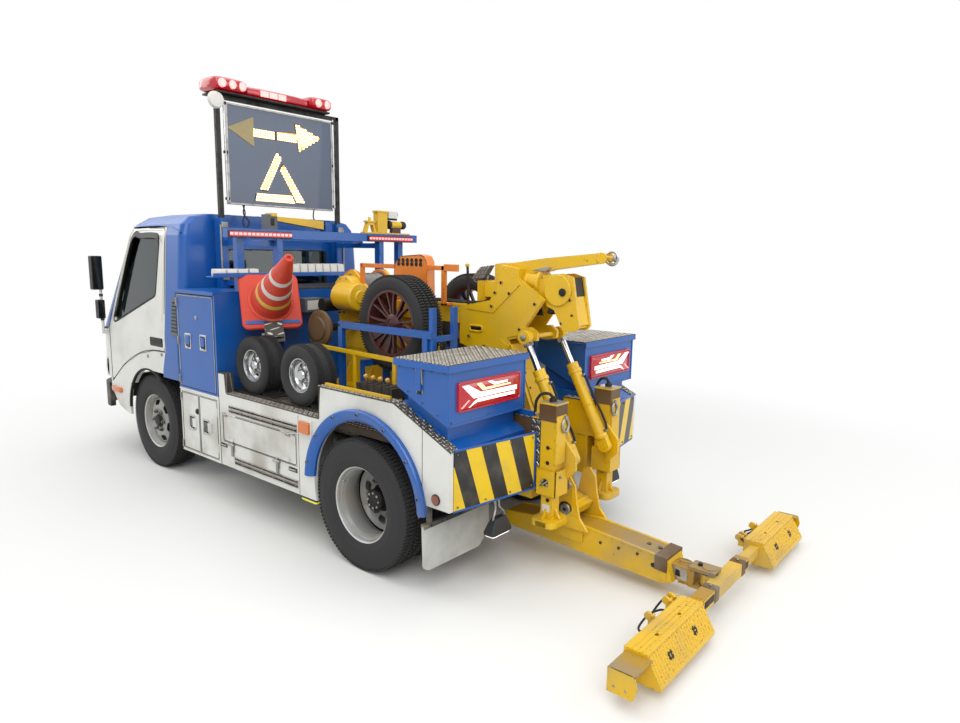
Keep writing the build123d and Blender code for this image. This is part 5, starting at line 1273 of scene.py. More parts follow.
def dress(finishes: dict[str, Finish]) -> None:
    """Gives construction nodes their finishes.

    Args:
        finishes: The finish of each node; a name that ends in an underscore stands for its left and right.
    """
    for name, finish in finishes.items():
        for node in ((name + "left", name + "right") if name.endswith("_") else (name,)):
            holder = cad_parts[node]
            if not holder.material_slots:
                holder.data.materials.append(None)
            for slot in holder.material_slots:
                slot.material = finish.material()
            LOG.info("%s: %s", node, finish.name)


@dataclass
class Chassis:
    """Rails, axles, springs and what hangs on them."""

    rail_y: float = 320.0
    rail_z: Span = (500.0, 680.0)
    axle_z: float = 369.0
    tank: Point = (0.0, -215.0, 590.0)

    def build(self) -> None:
        """Dresses the frame and adds rivets, springs, a tank, pipes, the exhaust and the drive shaft."""
        dress({"chassis_frame": BLACK, "engine_block": CAST, "rear_axle": CAST, "front_axle": CAST, "knuckle_": CAST})
        for side, hand in SIDES:
            face = hand * (self.rail_y + 30)
            spots = [(x, face, z) for x in range(-560, 3300, 190) for z in (self.rail_z[0] + 28, self.rail_z[1] - 28)]
            bolts(f"rail_rivets_{side}", "chassis", DARK, side, spots, 20)
            form = Form(DARK)
            for centre, half, foot in ((0.0, 560.0, 415.0), (2600.0, 520.0, 401.0)):
                for leaf, share in enumerate((0.5, 0.78, 0.97)):
                    rise = [(centre + half * t, foot + 5 + leaf * 12 + (460 - foot) * abs(t))
                            for t in (-share, 0, share)]
                    form.slab([(a, b - 4) for a, b in rise] + [(a, b + 4) for a, b in reversed(rise)],
                              (hand * (self.rail_y - 33), hand * (self.rail_y + 33)))
                for shift in (-48, 48):
                    for y in (self.rail_y - 40, self.rail_y + 40):
                        form.rod((centre + shift, hand * y, 330), (centre + shift, hand * y, 470), 8, sides=12)
            form.piece(f"leaf_springs_{side}", "chassis", "cast", bevel=0)
            line = [(-520, hand * 290, 610), (300, hand * 290, 612), (900, hand * 288, 606), (2200, hand * 290, 612)]
            Form(HOSE).pipe(line, 9, smooth=6).piece(f"air_pipe_{side}", "chassis", bevel=0)
        tank = Form(BLACK)
        tank.lathe(((40, 520), (96, 526), (106, 540), (106, 1020), (96, 1034), (40, 1040)), self.tank, (1, 0, 0),
                   36)
        tank.piece("air_tank", "chassis", bevel=0)
        straps = Form(ZINC)
        for x in (640, 900):
            straps.lathe(((107, x - 14), (110, x - 14), (110, x + 14), (107, x + 14)), self.tank, (1, 0, 0), 36,
                         ring=True)
        straps.piece("air_tank_straps", "chassis", bevel=0)
        pipe = Form(STEEL).pipe(((2380, 120, 440), (2200, 150, 420), (1900, 190, 400), (1300, 200, 395),
                                 (1240, 205, 395)), 26, 16, 6)
        pipe.rod((1250, 205, 395), (760, 205, 400), 78, sides=32)
        pipe.pipe(((770, 205, 400), (640, 205, 440), (520, 205, 455), (100, 205, 450), (-380, 206, 440)), 25, 16, 6)
        pipe.piece("exhaust", "chassis", bevel=0)
        flange = Form(CAST).lathe(((60, -100), (128, -96), (150, -60), (156, 0), (150, 60), (128, 92), (90, 100)),
                                  (0, 0, self.axle_z), (0, 1, 0), 40)
        flange.lathe(((40, 100), (70, 120), (74, 210), (52, 230)), (0, 20, self.axle_z), (1, 0, 0), 32)
        flange.rod((220, 20, self.axle_z), (1900, 0, 560), 38, sides=24)
        flange.piece("final_drive", "chassis", "cast", bevel=0)
        LOG.info("chassis: rivets, springs, tank, exhaust and drive shaft")


@dataclass
class Cab:
    """The forward-control cab with its doors, glass edges, lamps, mirrors and bumper."""

    sections: tuple[tuple[float, float, float, float], ...] = (
        (640, 3620, 847.5, 290), (1060, 3590, 847.5, 290), (1820, 3085, DECK, 250), (1900, 2990, 775.5, 220),
        (1955, 2860, 717.5, 180), (1978, 2680, 607.5, 120))
    window: tuple[Span, ...] = ((3215, 1098), (2455, 1368), (2400, 1798), (2868, 1808))
    screen: tuple[Span, ...] = ((-760, 1112), (760, 1112), (668, 1795), (-668, 1795))
    mirror: float = 864.5
    bumper: float = 852.5
    bumper_corner: float = 296.0

    def section(self, z: float) -> tuple[float, float, float]:
        """The cab's front, half width and front corner at a height.

        Args:
            z: The height.

        Returns:
            The three sizes.
        """
        for low, high in zip(self.sections, self.sections[1:]):
            if z <= high[0]:
                t = max(0.0, (z - low[0]) / (high[0] - low[0]))
                return tuple(a + (b - a) * t for a, b in zip(low[1:], high[1:]))
        return self.sections[-1][1:]

    def wall(self, x: float, z: float, out: float = 0.0) -> float:
        """The distance from the middle to the cab's side at a place, plus a step outwards."""
        front, half, corner = self.section(z)
        past = max(0.0, min(corner, x - (front - corner)))
        return half - corner + math.sqrt(max(0.0, corner ** 2 - past ** 2)) + out

    def nose(self, y: float, z: float, out: float = 0.0) -> float:
        """The place of the cab's front face at a distance from the middle, plus a step outwards."""
        front, half, corner = self.section(z)
        past = max(0.0, min(corner, abs(y) - (half - corner)))
        return front - corner + math.sqrt(max(0.0, corner ** 2 - past ** 2)) + out

    def build(self) -> None:
        """Builds the cab's dress in order."""
        dress({"cab_shell": BLUE, "cab_lower": WHITE, "cab_door_": WHITE, "door_glass_": GLASS, "cab_glass": GLASS,
               "dashboard": PLASTIC})
        self.doors()
        self.front()
        self.mirrors()
        self.inside()
        self.outside()

    def strip(self, form: Form, line: Sequence[Span], hand: int, width: float, out: Span, loop: bool = False) -> None:
        """Lays a flat strip on the cab's side, along a line in X and Z.

        Args:
            form: The form that gets it.
            line: The middle of the strip.
            hand: 1 on the left and -1 on the right.
            width: How wide it is.
            out: How far its two faces stand out from the skin.
            loop: Whether it closes on itself.
        """
        spots = [Vector(p) for p in line]
        rows = []
        for i, spot in enumerate(spots):
            back = spots[i - 1] if loop or i else spot
            on = spots[(i + 1) % len(spots)] if loop or i + 1 < len(spots) else spot
            run = (on - back).normalized()
            side = Vector((-run.y, run.x)) * width / 2
            near, far = spot - side, spot + side
            rows.append([(p.x, hand * self.wall(p.x, p.y, o), p.y) for p, o in (
                (near, out[0]), (near, out[1]), (far, out[1]), (far, out[0]))])
        form.rows(rows, around=True, along=loop, caps=not loop)

    def doors(self) -> None:
        """Adds the doors' window seals, visors, handles, hinge lines, locks and cards."""
        ring = rounded(self.window, 42, 8)
        for side, hand in SIDES:
            body = f"cab_door_{side}"
            form = Form(TRIM_AND_HOLE_SHADE)
            self.strip(form, ring, hand, 15, (-16, 1.5), True)
            form.piece(f"window_seal_{side}", body, "tyre_rubber", bevel=0)
            form = Form(PLASTIC)
            visor = [(3120, 1240), (2860, 1800), (2700, 1838), (2440, 1836), (2396, 1790)]
            rows = []
            for x, z in eased(visor, 5):
                rows.append([(x, hand * self.wall(x, z, 1), z), (x, hand * self.wall(x, z, 9), z - 4),
                             (x - 18, hand * self.wall(x, z, 22), z - 42), (x - 18, hand * self.wall(x, z, 19), z - 42),
                             (x, hand * self.wall(x, z, 5), z - 6)])
            form.loft(rows)
            form.piece(f"rain_visor_{side}", body, "dash_plastic", bevel=0)
            # Painted highlight: the raised cream strip along the frame's top and rear stands for the highlight on the
            # glossy white frame.
            form = Form(CREAM)
            rail = [(3150, 1250), (2908, 1812), (2760, 1858), (2400, 1862), (2330, 1850), (2318, 1790), (2340, 1400),
                    (2346, 1180)]
            self.strip(form, eased(rail, 6), hand, 9, (-2, 6))
            form.piece(f"door_frame_bead_{side}", body, "white_paint", bevel=0)
            form = Form(TRIM_AND_HOLE_SHADE)
            edge = [(2314, 960), (2312, 1300), (2312, 1800), (2330, 1872), (2560, 1874), (2890, 1860), (3050, 1560),
                    (3268, 1080)]
            self.strip(form, edge, hand, 7, (-6, 1.2))
            self.strip(form, ((3270, 1060), (3272, 640)), hand, 6, (-6, 1))
            self.strip(form, eased(((2312, 957), (2500, 950), (2730, 905), (3020, 783), (3272, 615)), 6), hand, 6,
                       (-5, 1))
            form.piece(f"door_gap_seal_{side}", body, bevel=0)
            form = Form(PLASTIC)
            cup = rounded(((2337, 987), (2538, 987), (2538, 1050), (2337, 1050)), 16, 4)
            low, high = hand * self.wall(2440, 1018, -21.5), hand * self.wall(2440, 1018, 1.5)
            form.loft([[(a + (2437 - a) * k, w, b + (1018 - b) * k) for a, b in cup] for k, w in (
                (-0.03, high), (0.05, high), (0.10, low), (0.4, low))])
            form.use(DARK)
            grip = hand * self.wall(2440, 1018, 4)
            form.loft([[(x, hand * (abs(grip) - depth), z) for depth, z in ((0, 1012), (0, 1040), (10, 1046),
                                                                            (12, 1010))]
                       for x in (2350, 2380, 2490, 2526)])
            form.piece(f"door_handle_{side}", body, "dash_plastic", bevel=1)
            form = Form(ZINC).lathe(mirrored(((14, -4), (14, 3), (11, 5), (4, 5.5)), hand),
                                    (2360, hand * self.wall(2360, 930), 930))
            form.piece(f"door_lock_{side}", body, bevel=0)
            card = Form(GREY)
            inner = self.wall(2700, 1000) - 46
            outline = ((2330, 985), (2520, 975), (2740, 930), (3020, 815), (3230, 690), (3230, 1040), (2470, 1320),
                       (2330, 1330))
            card.slab(rounded(outline, 30, 4), (hand * (inner - 4), hand * (inner - 22)))
            card.use(PLASTIC).slab(rounded(((2420, 1060), (2940, 1010), (2950, 1060), (2430, 1110)), 20, 4),
                                   (hand * (inner - 20), hand * (inner - 62)))
            card.piece(f"door_card_{side}", body, "dash_plastic", bevel=4)
        LOG.info("cab doors: seals, visors, beads, handles, locks and cards")

    def front(self) -> None:
        """Adds the windscreen seal, wipers, grille, headlamps, bumper skin and blank plate."""
        form = Form(TRIM_AND_HOLE_SHADE)
        rows = []
        ring = rounded(self.screen, 60, 8)
        middle = Vector((0, 1450))
        for y, z in ring:
            out = (Vector((y, z)) - middle).normalized() * 12
            rows.append([(self.nose(a, b, o), a, b) for a, b, o in (
                (y - out.x, z - out.y, -17), (y - out.x, z - out.y, 1.5), (y + out.x, z + out.y, 1.5),
                (y + out.x, z + out.y, -10))])
        form.rows(rows, around=True, along=True)
        form.piece("windscreen_seal", "cab", bevel=0)
        form = Form(TRIM_AND_HOLE_SHADE)
        for foot in (-330, 330):
            z = 1090
            tip = (foot + 300, 1150)
            form.rod((self.nose(foot, z, -4), foot, z), (self.nose(foot, z, 16), foot, z), 14)
            arm = [(self.nose(foot + (tip[0] - foot) * t, z + (tip[1] - z) * t, 16), foot + (tip[0] - foot) * t,
                    z + (tip[1] - z) * t)
                   for t in (0, 0.25, 0.5, 0.75, 1)]
            form.pipe(arm, 5)
            blade = [(self.nose(tip[0] + d, tip[1] + d * 0.12, 7), tip[0] + d, tip[1] + d * 0.12)
                     for d in (-280, -140, 0, 110)]
            form.pipe(blade, 7, 8)
        form.piece("wipers", "cab", bevel=0)
        slats = [[(self.nose(y, z, 3), y, z) for y in range(-470, 471, 47)] for z in range(720, 880, 26)]
        slat = Form(PLASTIC).block((-6, 8), (-13, 13), (-7, 7))
        attach(REPEAT.make("grille_slats", Layout.CHAIN, slat, slats, spacing=0.024, twist=0.0), "cab")
        frame_line = rounded(((-490, 700), (490, 700), (470, 900), (-470, 900)), 40, 5)
        Form(BLACK).pipe([(self.nose(y, z, 3), y, z) for y, z in frame_line], 9, loop=True).piece("grille_rim", "cab",
                                                                                                  bevel=0)
        for side, hand in SIDES:
            lens, glow = Form(CLEAR_LENS), Form(CHROME)
            turns = [math.radians(4 + n * 6.6) for n in range(13)]
            front, half, corner = self.section(720)
            hub = (front - corner, half - corner)
            grid = [[(hub[0] + (corner + out) * math.cos(t), hand * (hub[1] + (corner + out) * math.sin(t)), z)
                     for t in turns]
                    for z, out in ((660, 1), (672, 6), (728, 9), (784, 6), (795, 0))]
            lens.rows(grid)
            lens.piece(f"headlamp_lens_{side}", "cab", "glass", bevel=0, thick=3)
            for t, radius in ((18, 44), (42, 44), (66, 34)):
                a = math.radians(t)
                run = Vector((math.cos(a), hand * math.sin(a), 0))
                spot = Vector((hub[0], hand * hub[1], 728)) + run * (corner - 6)
                glow.lathe(((radius, 0), (radius - 3, 0), (radius * 0.6, -22), (10, -30), (8, -26), (2, -24), (2, -34),
                            (radius, -30)), spot, run, 32)
            glow.piece(f"headlamp_bowls_{side}", "cab", bevel=0)
            turn = Form(AMBER_LENS)
            spot = (3190, self.wall(3190, 550), 550)
            turn.loft([[(spot[0] + dx * k, hand * (spot[1] + o), spot[2] + dz * k) for dx, dz in rounded(
                oblong(95, 24), 22, 4)] for k, o in ((1, -3), (1, 6), (0.9, 14), (0.6, 17))])
            turn.piece(f"indicator_{side}", "cab", "lamp_red", bevel=0)
            arch = [(2610 + 352 * math.cos(math.radians(t)), 435 + 352 * math.sin(math.radians(t)))
                    for t in range(0, 128, 6)]
            lip = Form(TRIM_AND_HOLE_SHADE)
            self.strip(lip, arch, hand, 14, (-14, 4))
            lip.piece(f"front_arch_lip_{side}", "cab", bevel=0)
        bumper = Form(WHITE)
        ys = [-846 + 47 * n for n in range(37)]
        bumper.rows([[(self.shape(y, 3643 + o), y, z) for y in ys] for z, o in (
            (392, -6), (400, 0), (470, 3), (545, 3), (574, -1), (582, -8))])
        bumper.piece("bumper_skin", "chassis", "white_paint", bevel=0, thick=4)
        low = Form(PLASTIC)
        low.rows([[(self.shape(y, 3644 + o), y, z) for y in ys]
                  for z, o in ((384, -14), (388, 0), (430, 1), (434, -4))])
        for y in (-520, 520):
            low.rod((3646, y, 470), (3625, y, 470), 48)
        low.use(CLEAR_LENS).rod((3648, -520, 470), (3636, -520, 470), 40)
        low.rod((3648, 520, 470), (3636, 520, 470), 40)
        low.use(PALE).block((3644, 3648), (-165, 165), (432, 542))
        low.piece("bumper_trim", "chassis", "dash_plastic", bevel=0, sharp=40)
        LOG.info("cab front: seal, wipers, grille, lamps, bumper and bare plate")

    def shape(self, y: float, reach: float) -> float:
        """The bumper's outside at a distance from the middle, round its large corners."""
        past = max(0.0, abs(y) - (self.bumper - self.bumper_corner))
        return reach - self.bumper_corner + math.sqrt(max(0.0, self.bumper_corner ** 2 - past ** 2))

    def mirrors(self) -> None:
        """Adds the mirrors' rounded housings, faces and stays."""
        for side, hand in SIDES:
            shells = Form(PLASTIC)
            # Painted reflection: the faces are dark glass in place of the dark scene that the mirrors reflect.
            faces = Form(MIRROR)
            for reach, (low, high) in ((84, (1377, 1653)), (54, (1137, 1293))):
                near, far = self.mirror, self.mirror + reach
                outline = rounded(((near, low), (far, low), (far, high), (near, high)), 10, 4)
                middle = ((near + far) / 2, (low + high) / 2)
                rows = []
                for x, share in ((3287, 0.96), (3289, 1.0), (3343, 1.0), (3345, 0.96)):
                    rows.append([(x, hand * (middle[0] + (a - middle[0]) * share), middle[1] + (b - middle[1]) * share)
                                 for a, b in outline])
                shells.loft(rows)
                faces.loft([[(x, hand * (middle[0] + (a - middle[0]) * 0.88), middle[1] + (b - middle[1]) * 0.93)
                             for a, b in outline] for x in (3285.5, 3288)])
            shells.piece(f"mirror_housings_{side}", "cab", "dash_plastic", bevel=2)
            faces.piece(f"mirror_faces_{side}", "cab", bevel=0)
            stay = Form(BLACK)
            stay.pipe(((3312, hand * 842, 1060), (3312, hand * 862, 1060), (3316, hand * 880, 1075),
                       (3316, hand * 880, 1200),
                       (3316, hand * 880, 1520), (3316, hand * 880, 1610)), 9, 12, 4)
            for z in (1120, 1320, 1420):
                stay.rod((3316, hand * 880, z), (3316, hand * 880, z + 22), 15)
            stay.piece(f"mirror_stay_{side}", "cab", bevel=0)
        LOG.info("cab mirrors: housings, faces and stays")

    def inside(self) -> None:
        """Adds the headlining, floor mats, steering boss, instruments and lever."""
        form = Form(PALE)
        form.sheet(rounded(((2120, -690), (2780, -690), (2900, -560), (2900, 560), (2780, 690), (2120, 690)), 60),
                   (1876, 1890))
        form.piece("headlining", "cab", bevel=3)
        form = Form(TRIM_AND_HOLE_SHADE)
        for hand in (1, -1):
            form.block((2990, 3280), (hand * 240, hand * 690), (840.4, 850))
        form.piece("floor_mats", "cab", bevel=2)
        wheel = Form(TRIM_AND_HOLE_SHADE)
        lean = math.radians(30)
        axis = Vector((-math.sin(lean), 0, math.cos(lean)))
        middle = Vector((3000, -395, 1350))
        wheel.lathe(((70, -18), (74, 0), (58, 14), (20, 18)), middle, axis, 32)
        wheel.piece("steering_boss", "cab", "dash_plastic", bevel=0)
        dials = Form(PLASTIC)
        dials.loft([[(3150 + dx, y, z) for dx, z in ((0, 1080), (20, 1150), (90, 1170), (150, 1110), (150, 1080))]
                    for y in (-560, -540, -250, -230)])
        dials.use(DARK)
        for y in (-470, -320):
            dials.rod((3162, y, 1118), (3154, y, 1114), 44)
        dials.use(GREY).block((3146, 3152), (-120, 160), (955, 1060))
        for n in range(4):
            dials.use(DARK).rod((3152, -80 + 60 * n, 990), (3138, -80 + 60 * n, 990), 15)
        dials.use(TRIM_AND_HOLE_SHADE).rod((3060, -60, 1042), (3040, -60, 1240), 9)
        dials.rod((3041, -60, 1228), (3038, -60, 1262), 22)
        dials.piece("instruments", "cab", "dash_plastic", bevel=2)
        LOG.info("cab inside: headlining, mats, steering boss, instruments and lever")

    def outside(self) -> None:
        """Adds the roof ribs, drip rails, intake duct, rear window seal and marker lamps."""
        form = Form(TRIM_AND_HOLE_SHADE)
        ring = rounded(((-450, 1350), (450, 1350), (450, 1720), (-450, 1720)), 30, 5)
        form.rows([[(x, y * k, 1535 + (z - 1535) * k) for x, k in ((2056, 0.985), (2056, 1.03), (2064, 1.03),
                                                                   (2074, 0.985))]
                   for y, z in ring], around=True, along=True)
        form.piece("rear_window_seal", "cab", bevel=0)
        ribs = Form(BLUE)
        for y in (-380, -130, 130, 380):
            ribs.loft([[(x, y + dy, self.roof(x) + dz) for dy, dz in ((-26, -3), (-14, 7), (14, 7), (26, -3))]
                       for x in (2120, 2150, 2300, 2450, 2600, 2640)])
        ribs.piece("roof_ribs", "cab", "blue_paint", bevel=0, levels=1)
        for side, hand in SIDES:
            rail = Form(BLUE)
            self.strip(rail, eased(((2085, 1836), (2300, 1888), (2600, 1892), (2900, 1880), (2990, 1850)), 5), hand, 10,
                       (-4, 9))
            rail.piece(f"drip_rail_{side}", "cab", "blue_paint", bevel=0)
            duct = Form(GREY)
            duct.loft([[(x, hand * (self.wall(x, z) + o), z) for x, z, o in (
                (2092, z0, -3), (2094, z0, 7), (2186, z0, 7), (2190, z0, -3))] for z0 in (1092, 1110, 1350, 1368)])
            duct.use(DARK)
            for n in range(9):
                z = 1120 + n * 26
                duct.block((2104, 2178), (hand * self.wall(2140, z, 6), hand * self.wall(2140, z, 10)), (z, z + 9))
            duct.piece(f"air_duct_{side}", "cab", "dash_plastic", bevel=1)
            knob = Form(ZINC).lathe(mirrored(((16, -8), (16, 2), (12, 6), (4, 7)), hand), (2593, hand * 846, 894),
                                    sides=24)
            knob.piece(f"fender_knob_{side}", "cab", bevel=0)
            lamp = Form(AMBER_LENS)
            lamp.loft([[(x, hand * (y - 600), z) for x, y in ((2690, 1050), (2720, 1062), (2760, 1062), (2790, 1050),
                                                              (2760, 1040), (2720, 1040))]
                       for z in (1966, 1990)])
            lamp.piece(f"roof_marker_{side}", "cab", "lamp_red", bevel=3)
        LOG.info("cab outside: ribs, drip rails, duct, seal and markers")

    def roof(self, x: float) -> float:
        """The height of the cab's roof at a place along the truck."""
        return 1978.0 - max(0.0, x - 2680) * 0.12


@dataclass
class Seats:
    """Two seats of woven cloth on foam, settled by a cloth simulation."""

    across: tuple[float, ...] = (395.0, -395.0)
    cushion: tuple[Span, Span] = ((2440, 2950), (1041, 1165))
    back: tuple[Span, Span] = ((2332, 2460), (1050, 1640))
    steps: int = 20

    def pad(self, name: str, x: Span, y: Span, z: Span, crown: float) -> bpy.types.Object:
        """Shapes one pad as a rounded block and blows it up as cloth round its foam.

        Args:
            name: The piece's name.
            x: Its ends along the truck.
            y: Its ends across.
            z: Its bottom and top.
            crown: The most that a point may move, in millimetres.

        Returns:
            The pad.
        """
        centre = Vector([(a + b) / 2 for a, b in (x, y, z)])
        half = Vector([abs(b - a) / 2 - 9 for a, b in (x, y, z)])
        form = Form(CLOTH)
        form.block((-1, 1), (-1, 1), (-1, 1))
        bmesh.ops.subdivide_edges(form.mesh, edges=form.mesh.edges, cuts=11, use_grid_fill=True)
        for vert in form.mesh.verts:
            p = vert.co
            edge = sorted(abs(v) for v in p)
            pull = 1 - 0.05 * edge[1] ** 6 * edge[2] ** 6
            vert.co = centre + Vector([p[i] * half[i] * pull for i in range(3)])
        holder = form.object(name, bevel=0, sharp=180)
        start = [v.co.copy() for v in holder.data.vertices]
        soft = holder.modifiers.new("cloth", "CLOTH")
        soft.settings.use_pressure, soft.settings.uniform_pressure_force = True, 4.0
        soft.settings.effector_weights.gravity = 0.0
        soft.point_cache.frame_start, soft.point_cache.frame_end = 1, self.steps
        for step in range(1, self.steps + 1):
            bpy.context.scene.frame_set(step)
        graph = bpy.context.evaluated_depsgraph_get()
        grown = bpy.data.meshes.new_from_object(holder.evaluated_get(graph))
        holder.modifiers.clear()
        for vert, was in zip(grown.vertices, start):
            move = vert.co - was
            vert.co = was + move * min(1.0, crown / 1000 / max(move.length, 1e-9))
        holder.data = grown
        bpy.context.scene.frame_set(1)
        smooth = holder.modifiers.new("rounding", "SUBSURF")
        smooth.levels = smooth.render_levels = 1
        finished(holder, 180)
        attach(holder, "cab", ("seats",))
        return holder

    def build(self) -> None:
        """Builds cushions, backs and head restraints with their runners and buckles."""
        for side, y in zip(("left", "right"), self.across):
            wide = (y - 236, y + 236)
            self.pad(f"cushion_{side}", self.cushion[0], wide, self.cushion[1], 12)
            self.pad(f"seat_back_{side}", self.back[0], wide, self.back[1], 12)
            self.pad(f"head_restraint_{side}", (2345, 2445), (y - 92, y + 92), (1655, 1788), 10)
            trim = Form(TRIM_AND_HOLE_SHADE)
            for shift in (-40, 40):
                trim.rod((2398, y + shift, 1620), (2398, y + shift, 1680), 6, sides=12)
            trim.block((2360, 2900), (y - 200, y - 180), (1040.4, 1052))
            trim.block((2360, 2900), (y + 180, y + 200), (1040.4, 1052))
            trim.rod((2500, y + 238, 1050), (2490, y + 244, 1150), 12)
            trim.use(RED).block((2478, 2500), (y + 236, y + 252), (1140, 1172))
            trim.piece(f"seat_runners_{side}", "cab", bevel=1)
            LOG.info("seat, %s: cushion, back, head restraint and runners", side)


@dataclass
class LoadBed:
    """The chequer plate floor, the side panels with their flares and rails, and the sloped rear panels."""

    half: float = 928.0
    arch: Span = (-30.0, 420.0)
    arch_radius: float = 420.0

    def build(self) -> None:
        """Builds the bed's pieces in order."""
        dress({"bed_floor": PLATE, "side_panels": WHITE, "side_flap_": WHITE, "rear_panels": BLUE})
        for side, hand in SIDES:
            self.flare(side, hand)
            self.sides(side, hand)
            self.tail(side, hand)
        self.deck()

    def flare(self, side: str, hand: int) -> None:
        """Builds the blue wheel arch with its rolled edge and bolts, and the mud flap.

        Args:
            side: The side's name.
            hand: 1 on the left and -1 on the right.
        """
        form = Form(BLUE)
        turns = [math.radians(t) for t in range(-2, 183, 5)]
        profile = ((-4, -10), (-4, 4), (4, 14), (20, 25), (44, 30), (56, 28), (62, 20), (62, 0), (56, -10))
        rows = []
        for t in turns:
            rows.append([(self.arch[0] + (self.arch_radius + r) * math.cos(t), hand * (self.half + o),
                          max(446, self.arch[1] + (self.arch_radius + r) * math.sin(t))) for r, o in profile])
        form.loft(rows)
        form.piece(f"wheel_arch_{side}", "chassis", "blue_paint", ("arch_guards",), bevel=0)
        spots = []
        for t in (14, 38, 64, 90, 116, 142, 166):
            a = math.radians(t)
            spots.append((self.arch[0] + (self.arch_radius + 42) * math.cos(a), hand * (self.half + 29),
                          self.arch[1] + (self.arch_radius + 42) * math.sin(a)))
        bolts(f"wheel_arch_bolts_{side}", "chassis", ZINC, side, spots, 17)
        flap = Form(GUARD)
        outline = rounded(((382, 372), (905, 372), (905, 150), (870, 128), (470, 128), (382, 200)), 22, 4)
        rows = []
        for x, k in ((-450, 0.994), (-451, 1.0), (-459, 1.0), (-460, 0.994)):
            rows.append([(x - 10 * ((372 - z) / 247) ** 2, hand * (643 + (y - 643) * k), 250 + (z - 250) * k)
                         for y, z in outline])
        flap.loft(rows)
        flap.piece(f"mud_flap_{side}", "chassis", "tyre_rubber", ("arch_guards",), bevel=0)
        bracket = Form(BLACK).block((-466, -440), (hand * 384, hand * 900), (352, 378))
        bracket.block((-464, -448), (hand * 400, hand * 430), (370, 505))
        bracket.block((-464, -448), (hand * 840, hand * 870), (370, 505))
        bracket.piece(f"mud_flap_bracket_{side}", "chassis", bevel=2)
        bolts(f"mud_flap_bolts_{side}", "chassis", ZINC, "rear",
              [(-466, hand * y, 365) for y in (430, 530, 640, 750, 855)], 15)

    def sides(self, side: str, hand: int) -> None:
        """Adds rails, rubbing strips, flap seams, hinges, latches, studs and lamps on one side panel.

        Args:
            side: The side's name.
            hand: 1 on the left and -1 on the right.
        """
        face = hand * self.half
        rails = Form(STUD)
        for x, z in (((1290, 545), 712), ((1290, 545), 684), ((1240, 545), 372), ((1240, 545), 345)):
            rails.loft([[(a, face + hand * o, z + dz) for o, dz in ((-1, -10), (9, -9), (9, -7), (3, -5), (3, 5),
                                                                    (9, 7), (9, 9), (-1, 10))]
                        for a in (x[0], x[0] - 8, x[1] + 8, x[1])])
            rails.use(DARK).block((x[1] + 6, x[0] - 6), (face + hand * 2, face + hand * 5), (z - 5.5, z + 5.5))
            rails.use(STUD)
        rails.piece(f"rub_rails_{side}", "chassis", "dark_steel", bevel=1)
        bolts(f"rub_rail_screws_{side}", "chassis", ZINC, side,
              [(x, face + hand * 5, z) for x in range(1260, 560, -115) for z in (712, 684, 372, 345)
               if z > 500 or x < 1240], 9)
        body = f"side_flap_{side}"
        trim = Form(TRIM_AND_HOLE_SHADE)
        line = ((560, 474), (1365, 474), (1365, 651), (560, 651))
        trim.pipe([(x, face + hand * 0.8, z) for x, z in rounded(line, 14, 3)], 1.8, 8, loop=True)
        trim.use(ZINC)
        for x in (1340, 640):
            trim.rod((x - 26, face + hand * 6, 653), (x + 26, face + hand * 6, 653), 6, sides=14)
            trim.block((x - 24, x + 24), (face, face + hand * 4), (636, 652))
        trim.piece(f"side_flap_fittings_{side}", body, "dark_steel", bevel=0)
        catches = Form(ZINC)
        for x in (1257, 748):
            catches.block((x - 20, x + 20), (face - hand * 1, face + hand * 3), (414, 446))
            catches.slab(((x - 12, 384), (x + 12, 384), (x + 10, 480), (x - 10, 480)),
                         (face + hand * 3, face + hand * 10))
            catches.rod((x - 34, face + hand * 12, 462), (x + 34, face + hand * 12, 462), 8, sides=14)
            catches.rod((x, face, 426), (x, face + hand * 14, 426), 6, sides=12)
        for x in (1369, 594):
            catches.use(DARK).block((x - 42, x + 42), (face - hand * 1, face + hand * 1.5), (426, 452))
            catches.use(ZINC).rod((x - 34, face + hand * 7, 440), (x + 34, face + hand * 7, 440), 5, sides=12)
            catches.block((x - 36, x - 28), (face, face + hand * 10), (432, 448))
            catches.block((x + 28, x + 36), (face, face + hand * 10), (432, 448))
        catches.piece(f"side_catches_{side}", "chassis", bevel=1)
        lamp = Form(PALE)
        lamp.block((398, 520), (face - hand * 1, face + hand * 9), (674, 768))
        lamp.use(AMBER_LENS)
        lamp.loft([[(459 + dx * k, face + hand * o, 721 + dz * k) for dx, dz in rounded(oblong(50, 35), 9, 3)]
                   for k, o in ((1, 8), (1, 17), (0.93, 22))])
        lamp.piece(f"side_lamp_{side}", "chassis", "lamp_red", ("bed_lamps",), bevel=1)
        low = Form(PLASTIC)
        low.block((380, 533), (face - hand * 60, face - hand * 2), (287, 301))
        low.use(YELLOW_LENS).loft([[(456 + dx * k, face + hand * (dy * k - 31), z) for dx, dy in rounded(
            oblong(72, 26), 10, 3)] for k, z in ((1, 288), (1, 276), (0.9, 271))])
        low.piece(f"side_work_lamp_{side}", "chassis", "lamp_red", ("bed_lamps",), bevel=1)
        eye = Form(DARK).lathe(mirrored(((28, -2), (28, 4), (25, 6), (24, 4), (20, 4)), hand), (-571, face, 546),
                               sides=36)
